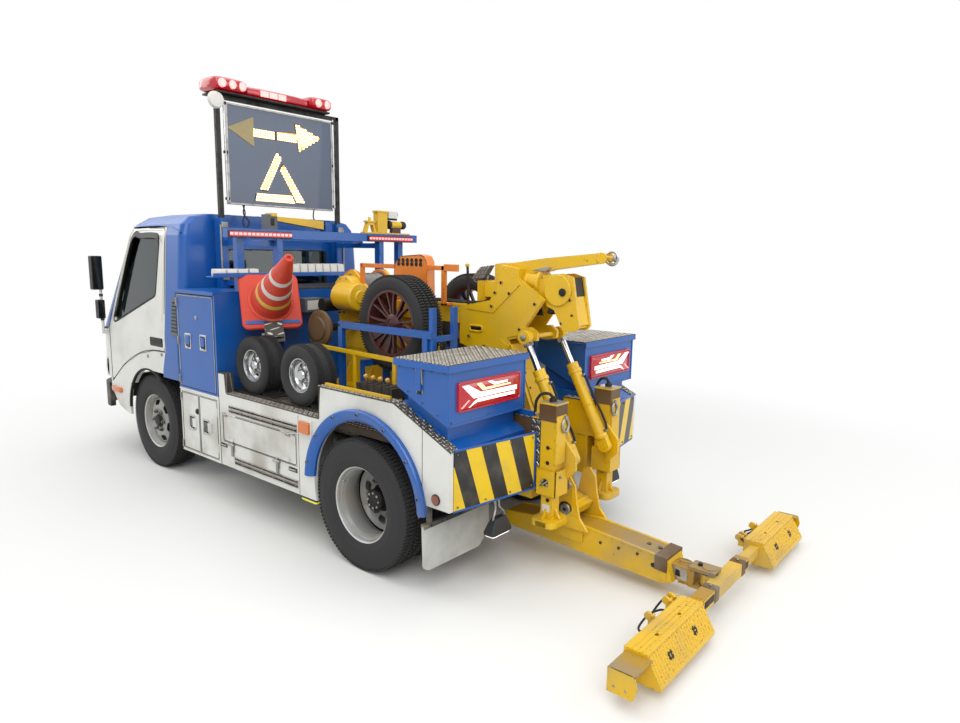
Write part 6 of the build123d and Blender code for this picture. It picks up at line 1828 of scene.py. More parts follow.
        # Painted light: the reflector's lens glows faintly, standing for light that it sends back.
        eye.use(BROWN_LENS).lathe(mirrored(((25, 3), (24, 8), (12, 10)), hand), (-571, face, 546), sides=36)
        eye.piece(f"round_reflector_{side}", "chassis", "lamp_red", ("bed_lamps",), bevel=0)
        seams = Form(TRIM_AND_HOLE_SHADE)
        for x in (1408, 532, -478):
            low_z = 302 if x > -400 else 502
            seams.block((x - 1.6, x + 1.6), (face - hand * 1, face + hand * 0.8), (low_z, 780 if x > 0 else 880))
        seams.piece(f"panel_seams_{side}", "chassis", bevel=0)
        inner = face - hand * 62
        cap = Form(LID_PLATE)
        for line in (((335, 980), (-270, 980)), ((1318, 795), (335, 795)), ((-270, 981), (-664, 799))):
            cap.loft([[(x, y, z + dz) for y, dz in ((face + hand * 1.5, -5), (face + hand * 1.5, 3), (inner, 3),
                                                    (inner, -1))]
                      for x, z in line])
        cap.slab(((336, 797), (331, 797), (331, 983), (336, 983)), (face + hand * 1.5, inner))
        cap.slab(((1321, 797), (1316, 797), (1328, 923), (1333, 923)), (face + hand * 1.5, inner))
        cap.block((1330, 1405), (face + hand * 1.5, inner), (919, 923))
        cap.piece(f"panel_edge_plate_{side}", "chassis", "deck", bevel=0.6)
        for name, x, z, turn, count, size in (("top", 32, 983, 0.0, 26, 0.600), ("deck", 826, 798, 0.0, 42, 0.970),
                                              ("slope", -467, 893.5, -math.atan2(182, 394), 18, 0.425)):
            made = REPEAT.make(f"{name}_studs_{side}", Layout.GRID, stud(STUD, -1.5, 0.5, 2.6), count=count, rows=3,
                               reach=(size, 0.046, 0.0), twist=math.pi / 2,
                               place=at(x, face - hand * 30, z), turn=(0.0, turn, 0.0))
            attach(made, "chassis")
        brackets = Form(BLACK)
        for x in (1300, 980, 700):
            brackets.slab(((x - 12, 665), (x + 12, 665), (x + 12, 310), (x - 12, 310)),
                          (face - hand * 30, face - hand * 60))
        brackets.piece(f"panel_ribs_{side}", "chassis", bevel=0)

    def tail(self, side: str, hand: int) -> None:
        """Adds the striped board with its frame, and the strips on the sloped rear deck.

        Args:
            side: The side's name.
            hand: 1 on the left and -1 on the right.
        """
        outer, inner = (-662.0, 903.0), (-747.0, 350.0)
        run = Vector((inner[0] - outer[0], inner[1] - outer[1]))
        film = Form(STRIPES)
        rows = []
        for t in (0.004, 0.5, 0.97):
            x, y = outer[0] + run.x * t, outer[1] + run.y * t
            rows.append([(x + dx, hand * y, z) for dx, z in ((3, 503), (-2.5, 503), (-2.5, 797), (3, 797))])
        film.loft(rows)
        film.piece(f"warning_stripes_{side}", "chassis", "yellow_paint", bevel=0)
        rim = Form(BLUE)
        for z in (499, 801):
            rim.loft([[(outer[0] + run.x * t + dx, hand * (outer[1] + run.y * t), z + dz)
                       for dx, dz in ((4, -5), (-5, -5), (-5, 5), (4, 5))] for t in (0, 1)])
        rim.piece(f"board_rim_{side}", "chassis", "blue_paint", bevel=1.5)
        points = [(outer[0] + run.x * t - 4, hand * (outer[1] + run.y * t), z) for t in (0.04, 0.36, 0.66, 0.94)
                  for z in (520, 780)]
        bolts(f"board_bolts_{side}", "chassis", ZINC, "rear", points, 11)
        strip = Form(BLUE)
        for t in (0.30, 0.66):
            x, z = -300 - 350 * t, 968 - 163 * t
            strip.loft([[(x + dx, hand * y, z + dz) for dx, dz in ((-26, -10), (-22, 4), (22, 24), (26, 14))]
                        for y in (470, 880)])
        strip.piece(f"slope_ribs_{side}", "chassis", "blue_paint", bevel=2)

    def deck(self) -> None:
        """Adds the deck's clutter: tie rail, hose runs, valve levers and side strips."""
        for side, hand in SIDES:
            rail = Form(YELLOW)
            rail.slab(((868, 1112), (868, 1136), (-225, 1112), (-225, 1088)), (hand * 540, hand * 562))
            for x in (820, 470, 120, -200):
                rail.block((x - 14, x + 14), (hand * 544, hand * 558), (796, 1108))
                rail.block((x - 34, x + 34), (hand * 536, hand * 566), (DECK, 803))
            rail.piece(f"tie_rail_{side}", "chassis", "yellow_paint", bevel=2)
            strip = Form(YELLOW).block((311, -219), (hand * 886, hand * 901), (968, 999))
            strip.piece(f"edge_strip_{side}", "chassis", "yellow_paint", bevel=1.5)
            for number, (y, z, sway) in enumerate(((586, 808, 6), (612, 808, -8), (640, 809, 10))):
                line = [(1120, hand * y, z), (800, hand * (y + sway), z), (420, hand * (y - sway), z),
                        (60, hand * (y + sway), z), (-220, hand * y, z)]
                Form(HOSE).pipe(line, 9, 12, 6).piece(f"deck_hose_{number}_{side}", "chassis", bevel=0)
            block = Form(CAST)
            block.block((40, 350), (hand * 560, hand * 646), (900, 962))
            block.block((60, 330), (hand * 574, hand * 632), (DECK, 902))
            for n in range(4):
                x = 90 + n * 62
                block.use(CAST).block((x - 24, x + 24), (hand * 556, hand * 650), (896, 968))
                block.use(ZINC).rod((x, hand * 604, 960), (x + 2, hand * 624, 996), 5, sides=12)
                block.use(KNOB).lathe(((4, 0), (12, 5), (14, 14), (12, 24), (4, 28)), (x + 2, hand * 623, 992),
                                      (0.05, 0.5 * hand, 0.86), 24)
                block.use(HOSE).pipe(((x, hand * 560, 930), (x, hand * 540, 930), (x - 4, hand * 520, 900),
                                      (x - 20, hand * 512, 830)), 8, 12, 4)
            block.piece(f"valve_bank_{side}", "chassis", "cast", bevel=1)
        LOG.info("load bed: arches, rails, studs, boards, ribs, rail, hoses and valves")


@dataclass
class Lockers:
    """The tall and low lockers behind the cab, with paddle latches, seams and hinges."""

    face: float = 928.0
    hinge: float = 1916.0

    def latch(self, form: Form, x: float, z: float, hand: int, wide: float, high: float) -> None:
        """Adds a paddle latch: a bright frame round a dark cup with its tilted paddle.

        Args:
            form: The form that gets it.
            x: Its middle along the truck.
            z: Its middle height.
            hand: 1 on the left and -1 on the right.
            wide: Its width.
            high: Its height.
        """
        face = self.face
        outline = rounded(((x - wide / 2, z - high / 2), (x + wide / 2, z - high / 2), (x + wide / 2, z + high / 2),
                           (x - wide / 2, z + high / 2)), 7, 3)
        form.use(CHROME).rows([[(x + (a - x) * k, hand * (face + o), z + (b - z) * k) for a, b in outline]
                               for k, o in ((1, -2), (1, 3), (0.95, 4.5), (0.78, 4.5), (0.74, 1), (0.74, -2))],
                               around=True, along=True)
        form.use(TRIM_AND_HOLE_SHADE).loft([[(x + (a - x) * k, hand * (face + o), z + (b - z) * k) for a, b in outline]
                             for k, o in ((0.76, 1.2), (0.4, 0.2))])
        form.use(STEEL).slab(((x - wide * 0.26, z + high * 0.30), (x + wide * 0.26, z + high * 0.30),
                              (x + wide * 0.26, z - high * 0.16),
                              (x + wide * 0.18, z - high * 0.24), (x - wide * 0.18, z - high * 0.24),
                              (x - wide * 0.26, z - high * 0.16)),
                             (hand * (face + 0.5), hand * (face + 4.2)))
        form.rod((x, hand * face, z - high * 0.32), (x, hand * (face + 5), z - high * 0.32), 5, sides=16)

    def build(self) -> None:
        """Dresses the lockers and adds their fittings."""
        dress({"lockers": LOCKER, "tall_door_": BLUE, "low_door_front_": WHITE, "low_door_rear_": WHITE})
        for side, hand in SIDES:
            form = Form(CHROME)
            self.latch(form, 1783, 1096, hand, 84, 106)
            self.latch(form, 1580, 1101, hand, 88, 108)
            form.use(ZINC).lathe(mirrored(((15, -2), (15, 3), (12, 5), (4, 5.5)), hand), (1660, hand * self.face, 1263),
                                 sides=24)
            for x in (1441, 1907):
                form.block((x - 4, x + 4), (hand * (self.face - 1), hand * (self.face + 2.5)), (777, 1412))
            form.block((1441, 1907), (hand * (self.face - 1), hand * (self.face + 2.5)), (1405, 1412))
            form.piece(f"tall_door_fittings_{side}", f"tall_door_{side}", bevel=0)
            for place, x, knob in (("front", 1781, 1700), ("rear", 1591, None)):
                form = Form(CHROME)
                self.latch(form, x, 522, hand, 84, 110)
                if knob:
                    form.use(DARK).lathe(mirrored(((20, -2), (20, 4), (15, 10), (9, 13)), hand),
                                         (knob, hand * self.face, 612), sides=24)
                    form.use(ZINC).block((1679, 1686), (hand * (self.face - 1), hand * (self.face + 2.5)), (324, 724))
                form.use(TRIM_AND_HOLE_SHADE)
                low, high = (1680, 1907) if place == "front" else (1441, 1667)
                form.pipe([(a, hand * (self.face + 0.5), b) for a, b in rounded(
                    ((low, 325), (high, 325), (high, 723), (low, 723)), 8, 3)], 1.6, 8, loop=True)
                form.piece(f"low_door_{place}_fittings_{side}", f"low_door_{place}_{side}", bevel=0)
            body = Form(BLUE)
            body.block((1412, 1936), (hand * 640, hand * (self.face + 12)), (1439.5, 1447))
            body.block((1412, 1936), (hand * (self.face + 4), hand * (self.face + 12)), (1424, 1440))
            body.use(CREAM).block((1412, 1936), (hand * (self.face - 1), hand * (self.face + 3)), (748, 756))
            body.use(TRIM_AND_HOLE_SHADE).block((1930, 1937), (hand * (self.face - 8), hand * (self.face + 1)), (300, 1436))
            body.piece(f"locker_rails_{side}", "chassis", "blue_paint", bevel=1)
            pins = Form(ZINC)
            for z in (820, 1090, 1360, 350, 690):
                pins.rod((self.hinge, hand * (self.face + 5), z - 28), (self.hinge, hand * (self.face + 5), z + 28), 6,
                         sides=14)
            pins.piece(f"locker_hinges_{side}", "chassis", bevel=0)
            LOG.info("lockers, %s: latches, rails, seams and hinges", side)


@dataclass
class TailBoxes:
    """The two blue tool boxes over the rear deck, with chequer lids and tail lamps."""

    face: float = 907.0

    def build(self) -> None:
        """Dresses the boxes and adds lids, lamps, catches and rivets."""
        dress({"tool_boxes": BLUE, "tool_lid_": BLUE})
        for side, hand in SIDES:
            self.lid(side, hand)
            self.lamp(side, hand)
            form = Form(ZINC)
            face = hand * self.face
            form.block((-464, -416), (face - hand * 1, face + hand * 4), (1092, 1180))
            form.pipe(((-458, face + hand * 6, 1100), (-458, face + hand * 9, 1172), (-422, face + hand * 9, 1172),
                       (-422, face + hand * 6, 1100)), 3.5, 8)
            form.block((-462, -418), (face - hand * 1, face + hand * 3), (1050, 1074))
            form.use(DARK).slab(((-455, 1160), (-425, 1160), (-429, 1046), (-451, 1046)),
                                (face + hand * 3, face + hand * 9))
            form.piece(f"box_catch_{side}", "chassis", bevel=1)
            rivets = [(x, face, 1168) for x in (-604, -520, -400, -304)]
            rivets += [(x, face, 930 + (x + 628) * 0.44) for x in (-560, -460, -360)]
            bolts(f"box_rivets_{side}", "chassis", ZINC, side, rivets, 9)
            bolts(f"box_rear_rivets_{side}", "chassis", ZINC, "rear",
                  [(-629, hand * y, z) for y in (320, 610, 892) for z in (930, 1175)], 10)
            edge = Form(BLUE)
            edge.block((-632, -626), (hand * 300, hand * 911), (905, 915))
            edge.block((-632, -626), (hand * 302, hand * 312), (908, 1186))
            edge.block((-632, -626), (hand * 899, hand * 909), (908, 1186))
            edge.piece(f"box_corners_{side}", "chassis", "blue_paint", bevel=2)
            LOG.info("tool box, %s: lid studs, lamp, catch, rivets and corners", side)

    def lid(self, side: str, hand: int) -> None:
        """Adds the lid's raised studs, in rows that cross from one to the next, and its folded edge.

        Args:
            side: The side's name.
            hand: 1 on the left and -1 on the right.
        """
        made = REPEAT.make(f"lid_studs_{side}", Layout.GRID, stud(STUD, -1.5, 0.5, 2.4), count=15, rows=26,
                           reach=(0.340, 0.600, 0.0),
                           twist=math.pi / 2, place=at(-454, hand * 605.5, 1209), turn=(0.0, 0.0, 0.0))
        attach(made, f"tool_lid_{side}")
        edge = Form(LID_PLATE).block((-641, -267), (hand * 291, hand * 920), (1205, 1209))
        edge.use(BLUE)
        edge.block((-644, -638), (hand * 290, hand * 921), (1172, 1206))
        edge.block((-642, -267), (hand * 916, hand * 922), (1172, 1206))
        edge.piece(f"lid_edge_{side}", f"tool_lid_{side}", "deck", bevel=1)

    def lamp(self, side: str, hand: int) -> None:
        """Builds a tail lamp: a bevelled red lens with lit chevron bars in a dark frame.

        Args:
            side: The side's name.
            hand: 1 on the left and -1 on the right.
        """
        low, high = (362.0, 972.0), (848.0, 1118.0)
        form = Form(RED_LENS)
        outline = rounded((low, (high[0], low[1]), high, (low[0], high[1])), 12, 4)
        middle = ((low[0] + high[0]) / 2, (low[1] + high[1]) / 2)
        form.loft([[(x, hand * (middle[0] + (y - middle[0]) * k), middle[1] + (z - middle[1]) * m) for y, z in outline]
                   for x, k, m in ((-627, 1, 1), (-640, 1, 1), (-645, 0.985, 0.95), (-645, 0.965, 0.88),
                                   (-638, 0.955, 0.84))])
        form.loft([[(x, hand * (middle[0] + (y - middle[0]) * k), middle[1] + (z - middle[1]) * m) for y, z in outline]
                   for x, k, m in ((-636, 0.952, 0.84), (-641, 0.95, 0.83), (-644, 0.93, 0.78), (-644.5, 0.5, 0.4))])
        for finish, bar in ((WHITE_LIGHT, ((828, 1099), (744, 1030), (399, 1028), (399, 1050), (690, 1054),
                                           (784, 1099))),
                            (AMBER_PALE, ((722, 1099), (674, 1060), (452, 1063), (452, 1070), (654, 1072),
                                          (688, 1099))),
                            (WHITE_LIGHT, ((636, 1099), (584, 1076), (478, 1078), (478, 1087), (574, 1088),
                                           (604, 1099))),
                            (WHITE_LIGHT, ((780, 989), (720, 1008), (415, 1006), (415, 1020), (708, 1024), (740, 1012),
                                           (768, 989))),
                            (RED_LAMP, ((836, 992), (828, 990), (772, 1024), (780, 1026)))):
            form.use(finish).board([(hand * y, z) for y, z in bar], (-643, -646.5))
        form.piece(f"tail_lamp_{side}", "chassis", "lamp_red", ("bed_lamps",), bevel=0)


@dataclass
class Headboard:
    """The posts and lamp beam behind the cab, the pump cabinet and the wheel racks."""

    bays: tuple[float, ...] = (-360.0, 0.0, 360.0)

    def build(self) -> None:
        """Dresses the frames and adds lamps, doors, brackets and what stands on them."""
        dress({"headboard": BLUE, "wheel_racks": BLUE})
        form = Form(PLASTIC)
        for low, high in ((851, 370), (-318, -790)):
            form.use(PLASTIC).block((1338, 1352), (low, high), (1803, 1846))
            form.use(RED_LENS).block((1333, 1341), (low - 6, high + 6), (1808, 1841))
            for n in range(15):
                y = low - 20 + (high - low + 40) * n / 14
                form.use(RED_LAMP).block((1331, 1336), (y - 11, y + 11), (1818, 1832))
        form.piece("lamp_strips", "chassis", "lamp_red", bevel=1)
        form = Form(BLUE)
        for y in self.bays:
            form.block((1299, 1302), (y - 112, y + 112), (830, 1420))
        form.use(ZINC)
        for y in self.bays:
            form.block((1290, 1301), (y - 96, y - 80), (1080, 1150))
            form.rod((1296, y + 108, 900), (1296, y + 108, 960), 7, sides=14)
            form.rod((1296, y + 108, 1290), (1296, y + 108, 1350), 7, sides=14)
        form.piece("cabinet_panels", "chassis", "blue_paint", bevel=2)
        form = Form(BLUE)
        for y in (463, -463):
            for z in (1560, 1700):
                form.block((1349, 1353), (y - 20, y + 20), (z, z + 40))
        form.use(BLACK).block((1340, 1920), (-440, 440), (1451, 1460))
        form.piece("cabinet_top", "chassis", bevel=1)
        tray = Form(BLUE)
        tray.block((1360, 1450), (-150, 956), (1544, 1552))
        tray.block((1358, 1363), (-150, 956), (1544, 1572))
        for y, near in ((-130, 1372), (462, 1372), (725, 1414)):
            tray.block((near, 1440), (y - 8, y + 8), (1446, 1546))
        tray.piece("batten_tray", "chassis", "blue_paint", bevel=1.5)
        pads = Form(PALE)
        for n in range(8):
            y = -100 + n * 66
            pads.loft([[(x, y + dy, z) for x, z in ((1368, 1552.5), (1366, 1590), (1372, 1626), (1438, 1630),
                                                    (1444, 1590), (1442, 1552.5))]
                       for dy in (0, 3, 52, 55)])
        for n in range(4):
            y = 620 + n * 80
            pads.loft([[(x, y + dy, z) for x, z in ((1372, 1552.5), (1370, 1575), (1376, 1596), (1434, 1598),
                                                    (1440, 1575), (1438, 1552.5))]
                       for dy in (0, 4, 62, 66)])
        pads.piece("wheel_blocks", "chassis", bevel=3)
        kit = Form(YELLOW)
        kit.block((1352, 1408), (-296, -772), (1861, 1872))
        kit.board(((-306, 1872), (-330, 1872), (-346, 1926), (-384, 1926), (-400, 1872), (-424, 1872), (-394, 1950),
                   (-336, 1950)),
                  (1362, 1398))
        kit.block((1358, 1402), (-322, -408), (1946, 1960))
        kit.rod((1380, -365, 1958), (1380, -365, 1986), 11)
        kit.block((1354, 1406), (-428, -528), (1872, 2030))
        kit.block((1350, 1410), (-420, -534), (2026, 2040))
        kit.lathe(((14, -10), (26, -6), (28, 0), (28, 104), (26, 110), (14, 114)), (1380, -578, 1936), (0, -1, 0), 28)
        kit.use(DARK).lathe(((10, 0), (32, 3), (34, 10), (34, 26), (30, 32), (12, 34)), (1380, -546, 1936), (0, -1, 0),
                            28)
        kit.lathe(((10, 0), (30, 3), (32, 10), (32, 34), (26, 44), (12, 52)), (1380, -690, 1936), (0, -1, 0), 28)
        kit.use(RED).block((1362, 1398), (-590, -680), (1870, 1914))
        kit.use(DARK).block((1372, 1388), (-534, -650), (1972, 1986))
        kit.use(PALE).block((1352, 1404), (-544, -636), (1986, 2040))
        kit.use(DARK).lathe(((8, 0), (17, 2), (18, 14), (8, 18)), (1380, -636, 2016), (0, -1, 0), 24)
        kit.piece("beam_fittings", "chassis", "yellow_paint", bevel=3)
        bar = Form(BLUE)
        bar.block((1632, 1688), (-512, 512), (1790.4, 1846))
        bar.block((1618, 1690), (-128, -192), (1845, 1944))
        bar.use(GREY).block((1618, 1690), (300, 386), (1845, 1976))
        bar.use(DARK).block((1614, 1619), (326, 356), (1900, 1950))
        bar.use(YELLOW).loft([[(x, y, z) for x, z in ((1622, low), (1622, high), (1686, high), (1686, low))]
                              for y, low, high in (
            (340, 1936, 1964), (60, 1904, 1957), (-114, 1884, 1948))])
        bar.block((1612, 1692), (304, 352), (1962, 1986))
        bar.use(DARK).block((1628, 1680), (-113, -116), (1892, 1940))
        bar.piece("stowed_tow_bar", "chassis", "yellow_paint", bevel=1.5)
        strap = Form(BLUE)
        for hand in (1, -1):
            strap.block((-112, -108), (hand * 480, hand * 530), (1100, 1160))
            strap.block((66, 74), (hand * 486, hand * 524), (820, 880))
        strap.use(DARK)
        for hand in (1, -1):
            for z in (1268, 1350):
                strap.rod((660, hand * 505, z), (660, hand * 524, z), 9, sides=12)
        strap.piece("rack_brackets", "chassis", "blue_paint", bevel=1)
        foot = Form(BLACK)
        for hand in (1, -1):
            for x in (1160, 653):
                foot.block((x - 200, x + 200), (hand * 700, hand * 824), (DECK, 803))
                foot.slab(((x - 120, 803), (x - 106, 803), (x - 60, 850), (x - 74, 850)), (hand * 706, hand * 818))
                foot.slab(((x + 120, 803), (x + 106, 803), (x + 60, 850), (x + 74, 850)), (hand * 706, hand * 818))
        foot.piece("dolly_wheel_chocks", "chassis", bevel=1.5)
        box = Form(PALE)
        box.block((1180, 1238), (560, 700), (1120, 1180))
        box.use(RED).block((1236, 1240), (570, 690), (1130, 1170))
        box.piece("small_case", "chassis", bevel=4)
        LOG.info("headboard: lamp strips, cabinet doors, tray, blocks, fittings, tow bar and chocks")


@dataclass
class ArrowSign:
    """The raised sign: a slate board with an arrow and a warning triangle in lamps, under the light bar."""

    face: float = 1964.0
    left: tuple[Span, ...] = ((465, 2595), (251, 2698), (251, 2483))
    bars: tuple[tuple[Span, ...], ...] = (((254, 2612), (254, 2557), (74, 2558), (74, 2616)),
                                          ((50, 2618), (50, 2558), (-125, 2562), (-125, 2628)),
                                          ((-118, 2702), (-148, 2494), (-355, 2620)),
                                          ((59, 2463), (15, 2424), (146, 2175), (212, 2178)),
                                          ((-1, 2381), (33, 2337), (-115, 2097), (-191, 2099)),
                                          ((240, 2145), (-64, 2152), (-99, 2093), (254, 2089)))

    def build(self) -> None:
        """Builds the board's face, lamps, frame, rods and the light bar."""
        dress({"sign_board": SLATE})
        form = Form(ZINC)
        for y in (466, -466):
            form.block((1960, 1999), (y - 6, y + 6), (2056, 2764))
        for z in (2058, 2762):
            form.block((1960, 1999), (-472, 472), (z - 6, z + 6))
        form.piece("sign_edges", "sign", bevel=1.5)
        form = Form(UNLIT)
        form.board(self.left, (self.face + 1, self.face - 3))
        form.piece("unlit_arrow", "sign", "sign_grey", bevel=0)
        form = Form(PLASTIC)
        glow = Form(AMBER_GLOW)
        paths = []
        for bar in self.bars:
            form.board(grown(bar, 9), (self.face + 1, self.face - 1.5))
            glow.board(bar, (self.face, self.face - 2.5))
            paths += self.fill(bar)
        form.piece("lamp_panels", "sign", bevel=0)
        glow.piece("lamp_glow", "sign", bevel=0)
        lamp = Form(AMBER_LIGHT).lathe(((8.6, -1), (8.6, 3), (6, 6), (2, 7)), (0, 0, 0), (0, 0, 1), 10)
        made = REPEAT.make("arrow_lamps", Layout.ROW, lamp, paths, spacing=0.0185, turn=FACING["rear"])
        attach(made, "sign")
        rods = Form(CHROME)
        for hand in (1, -1):
            rods.rod((1960, hand * 485, 2075), (1966, hand * 485, 2790), 8)
        rods.use(DARK)
        for hand in (1, -1):
            for z in (2090, 2420, 2760):
                rods.block((1956, 1980), (hand * 468, hand * 494), (z - 10, z + 10))
        rods.piece("sign_rods", "sign", "rod_chrome", bevel=1)
        self.bar()
        stand = Form(ZINC)
        for hand in (1, -1):
            stand.block((1936, 1951), (hand * 506, hand * 556), (1500, 1540))
            stand.block((1936, 1951), (hand * 506, hand * 556), (1880, 1920))
            stand.rod((1943, hand * 560, 1520), (1943, hand * 560, 1900), 7)
        stand.piece("guide_brackets", "chassis", bevel=1)
        wires = Form(HOSE)
        for y, sway in ((330, 20), (350, -14), (-300, 16)):
            wires.pipe(((1990, y, 2062), (1980, y + sway, 1990), (1972, y - sway, 1930), (1968, y, 1890)), 5, 10, 5)
        wires.piece("sign_wires", "sign", bevel=0)
        LOG.info("arrow sign: board, lamps, rods, light bar and brackets")

    def fill(self, outline: Sequence[Span]) -> list[tuple[Point, Point]]:
        """Lines of lamps across an outline.

        Args:
            outline: The outline in Y and Z.

        Returns:
            The two ends of each line.
        """
        found = []
        low, high = min(z for _, z in outline), max(z for _, z in outline)
        z = low + 9
        while z < high - 5:
            cuts = []
            for a, b in zip(outline, (*outline[1:], outline[0])):
                if (a[1] > z) != (b[1] > z):
                    cuts.append(a[0] + (b[0] - a[0]) * (z - a[1]) / (b[1] - a[1]))
            if len(cuts) == 2 and abs(cuts[1] - cuts[0]) > 14:
                near, far = max(cuts) - 8, min(cuts) + 8
                found.append(((self.face - 2, near, z), (self.face - 2, min(far, near - 0.1), z)))
            z += 20.5
        return found

    def bar(self) -> None:
        """Builds the light bar: red domes at its ends, lit blocks between, on a dark tray."""
        body = Form(SLATE)
        body.block((1965, 1995), (-470, 470), (2060, 2760))
        body.use(DARK)
        for hand in (1, -1):
            body.block((1964, 1998), (hand * 513, hand * 547), (1420, 2815))
        body.block((1964, 1998), (-547, 547), (2785, 2815))
        body.block((1900, 2120), (-410, 560), (2815, 2829))
        body.piece("sign_panel", "sign", "sign_grey", ("sign_board",), bevel=3)
        lens, lit = Form(RED_LENS), Form(RED_LAMP)
        for low, high, size, count in ((318, 598, 1.0, 3), (-212, 312, 0.66, 0), (-432, -218, 1.0, 2)):
            rows = []
            for share, k in ((0.0, 0.25), (0.02, 0.62), (0.08, 0.86), (0.2, 0.98), (0.5, 1.0), (0.8, 0.98),
                             (0.92, 0.86), (0.98, 0.62), (1.0, 0.25)):
                k = max(k, 0.9) if size < 1 else k
                rows.append([(2010 + 138 * size * k * math.copysign(abs(math.cos(t)) ** 0.6, math.cos(t)),
                              low + (high - low) * share,
                              2829 + (50 if size == 1 else 40) * (1 + k * math.copysign(abs(math.sin(t)) ** 0.6,
                                                                                        math.sin(t))))
                             for t in [math.tau * n / 28 for n in range(28)]])
            lens.loft(rows)
            for n in range(count):
                y = low + (high - low) * (n + 0.8) / (count + 0.6)
                lit.lathe(((2, -8), (26, -6), (30, 0), (30, 14)), (1877, y, 2876), (1, 0, 0), 24)
        for y in (24, 100, 176):
            lit.block((1914, 1922), (y - 34, y + 34), (2846, 2888))
        lens.piece("light_bar_lenses", "sign", "lamp_red", bevel=0)
        lit.piece("light_bar_lamps", "sign", "lamp_red", bevel=2)
        feet = Form(DARK)
        for y in (-500, 500):
            feet.block((1970, 2010), (y - 20, y + 20), (2790, 2816))
        feet.use(PALE).lathe(((20, -40), (52, -34), (60, -10), (44, 10), (20, 14)), (1930, 572, 2760), (1, 0, 0), 28)
        feet.piece("light_bar_feet", "sign", "dark_steel", bevel=1)


def grown(outline: Sequence[Span], step: float) -> list[Span]:
    """An outline pushed out from its middle by a step."""
    middle = sum((Vector(p) for p in outline), Vector((0, 0))) / len(outline)
    return [tuple(Vector(p) + (Vector(p) - middle).normalized() * step) for p in outline]


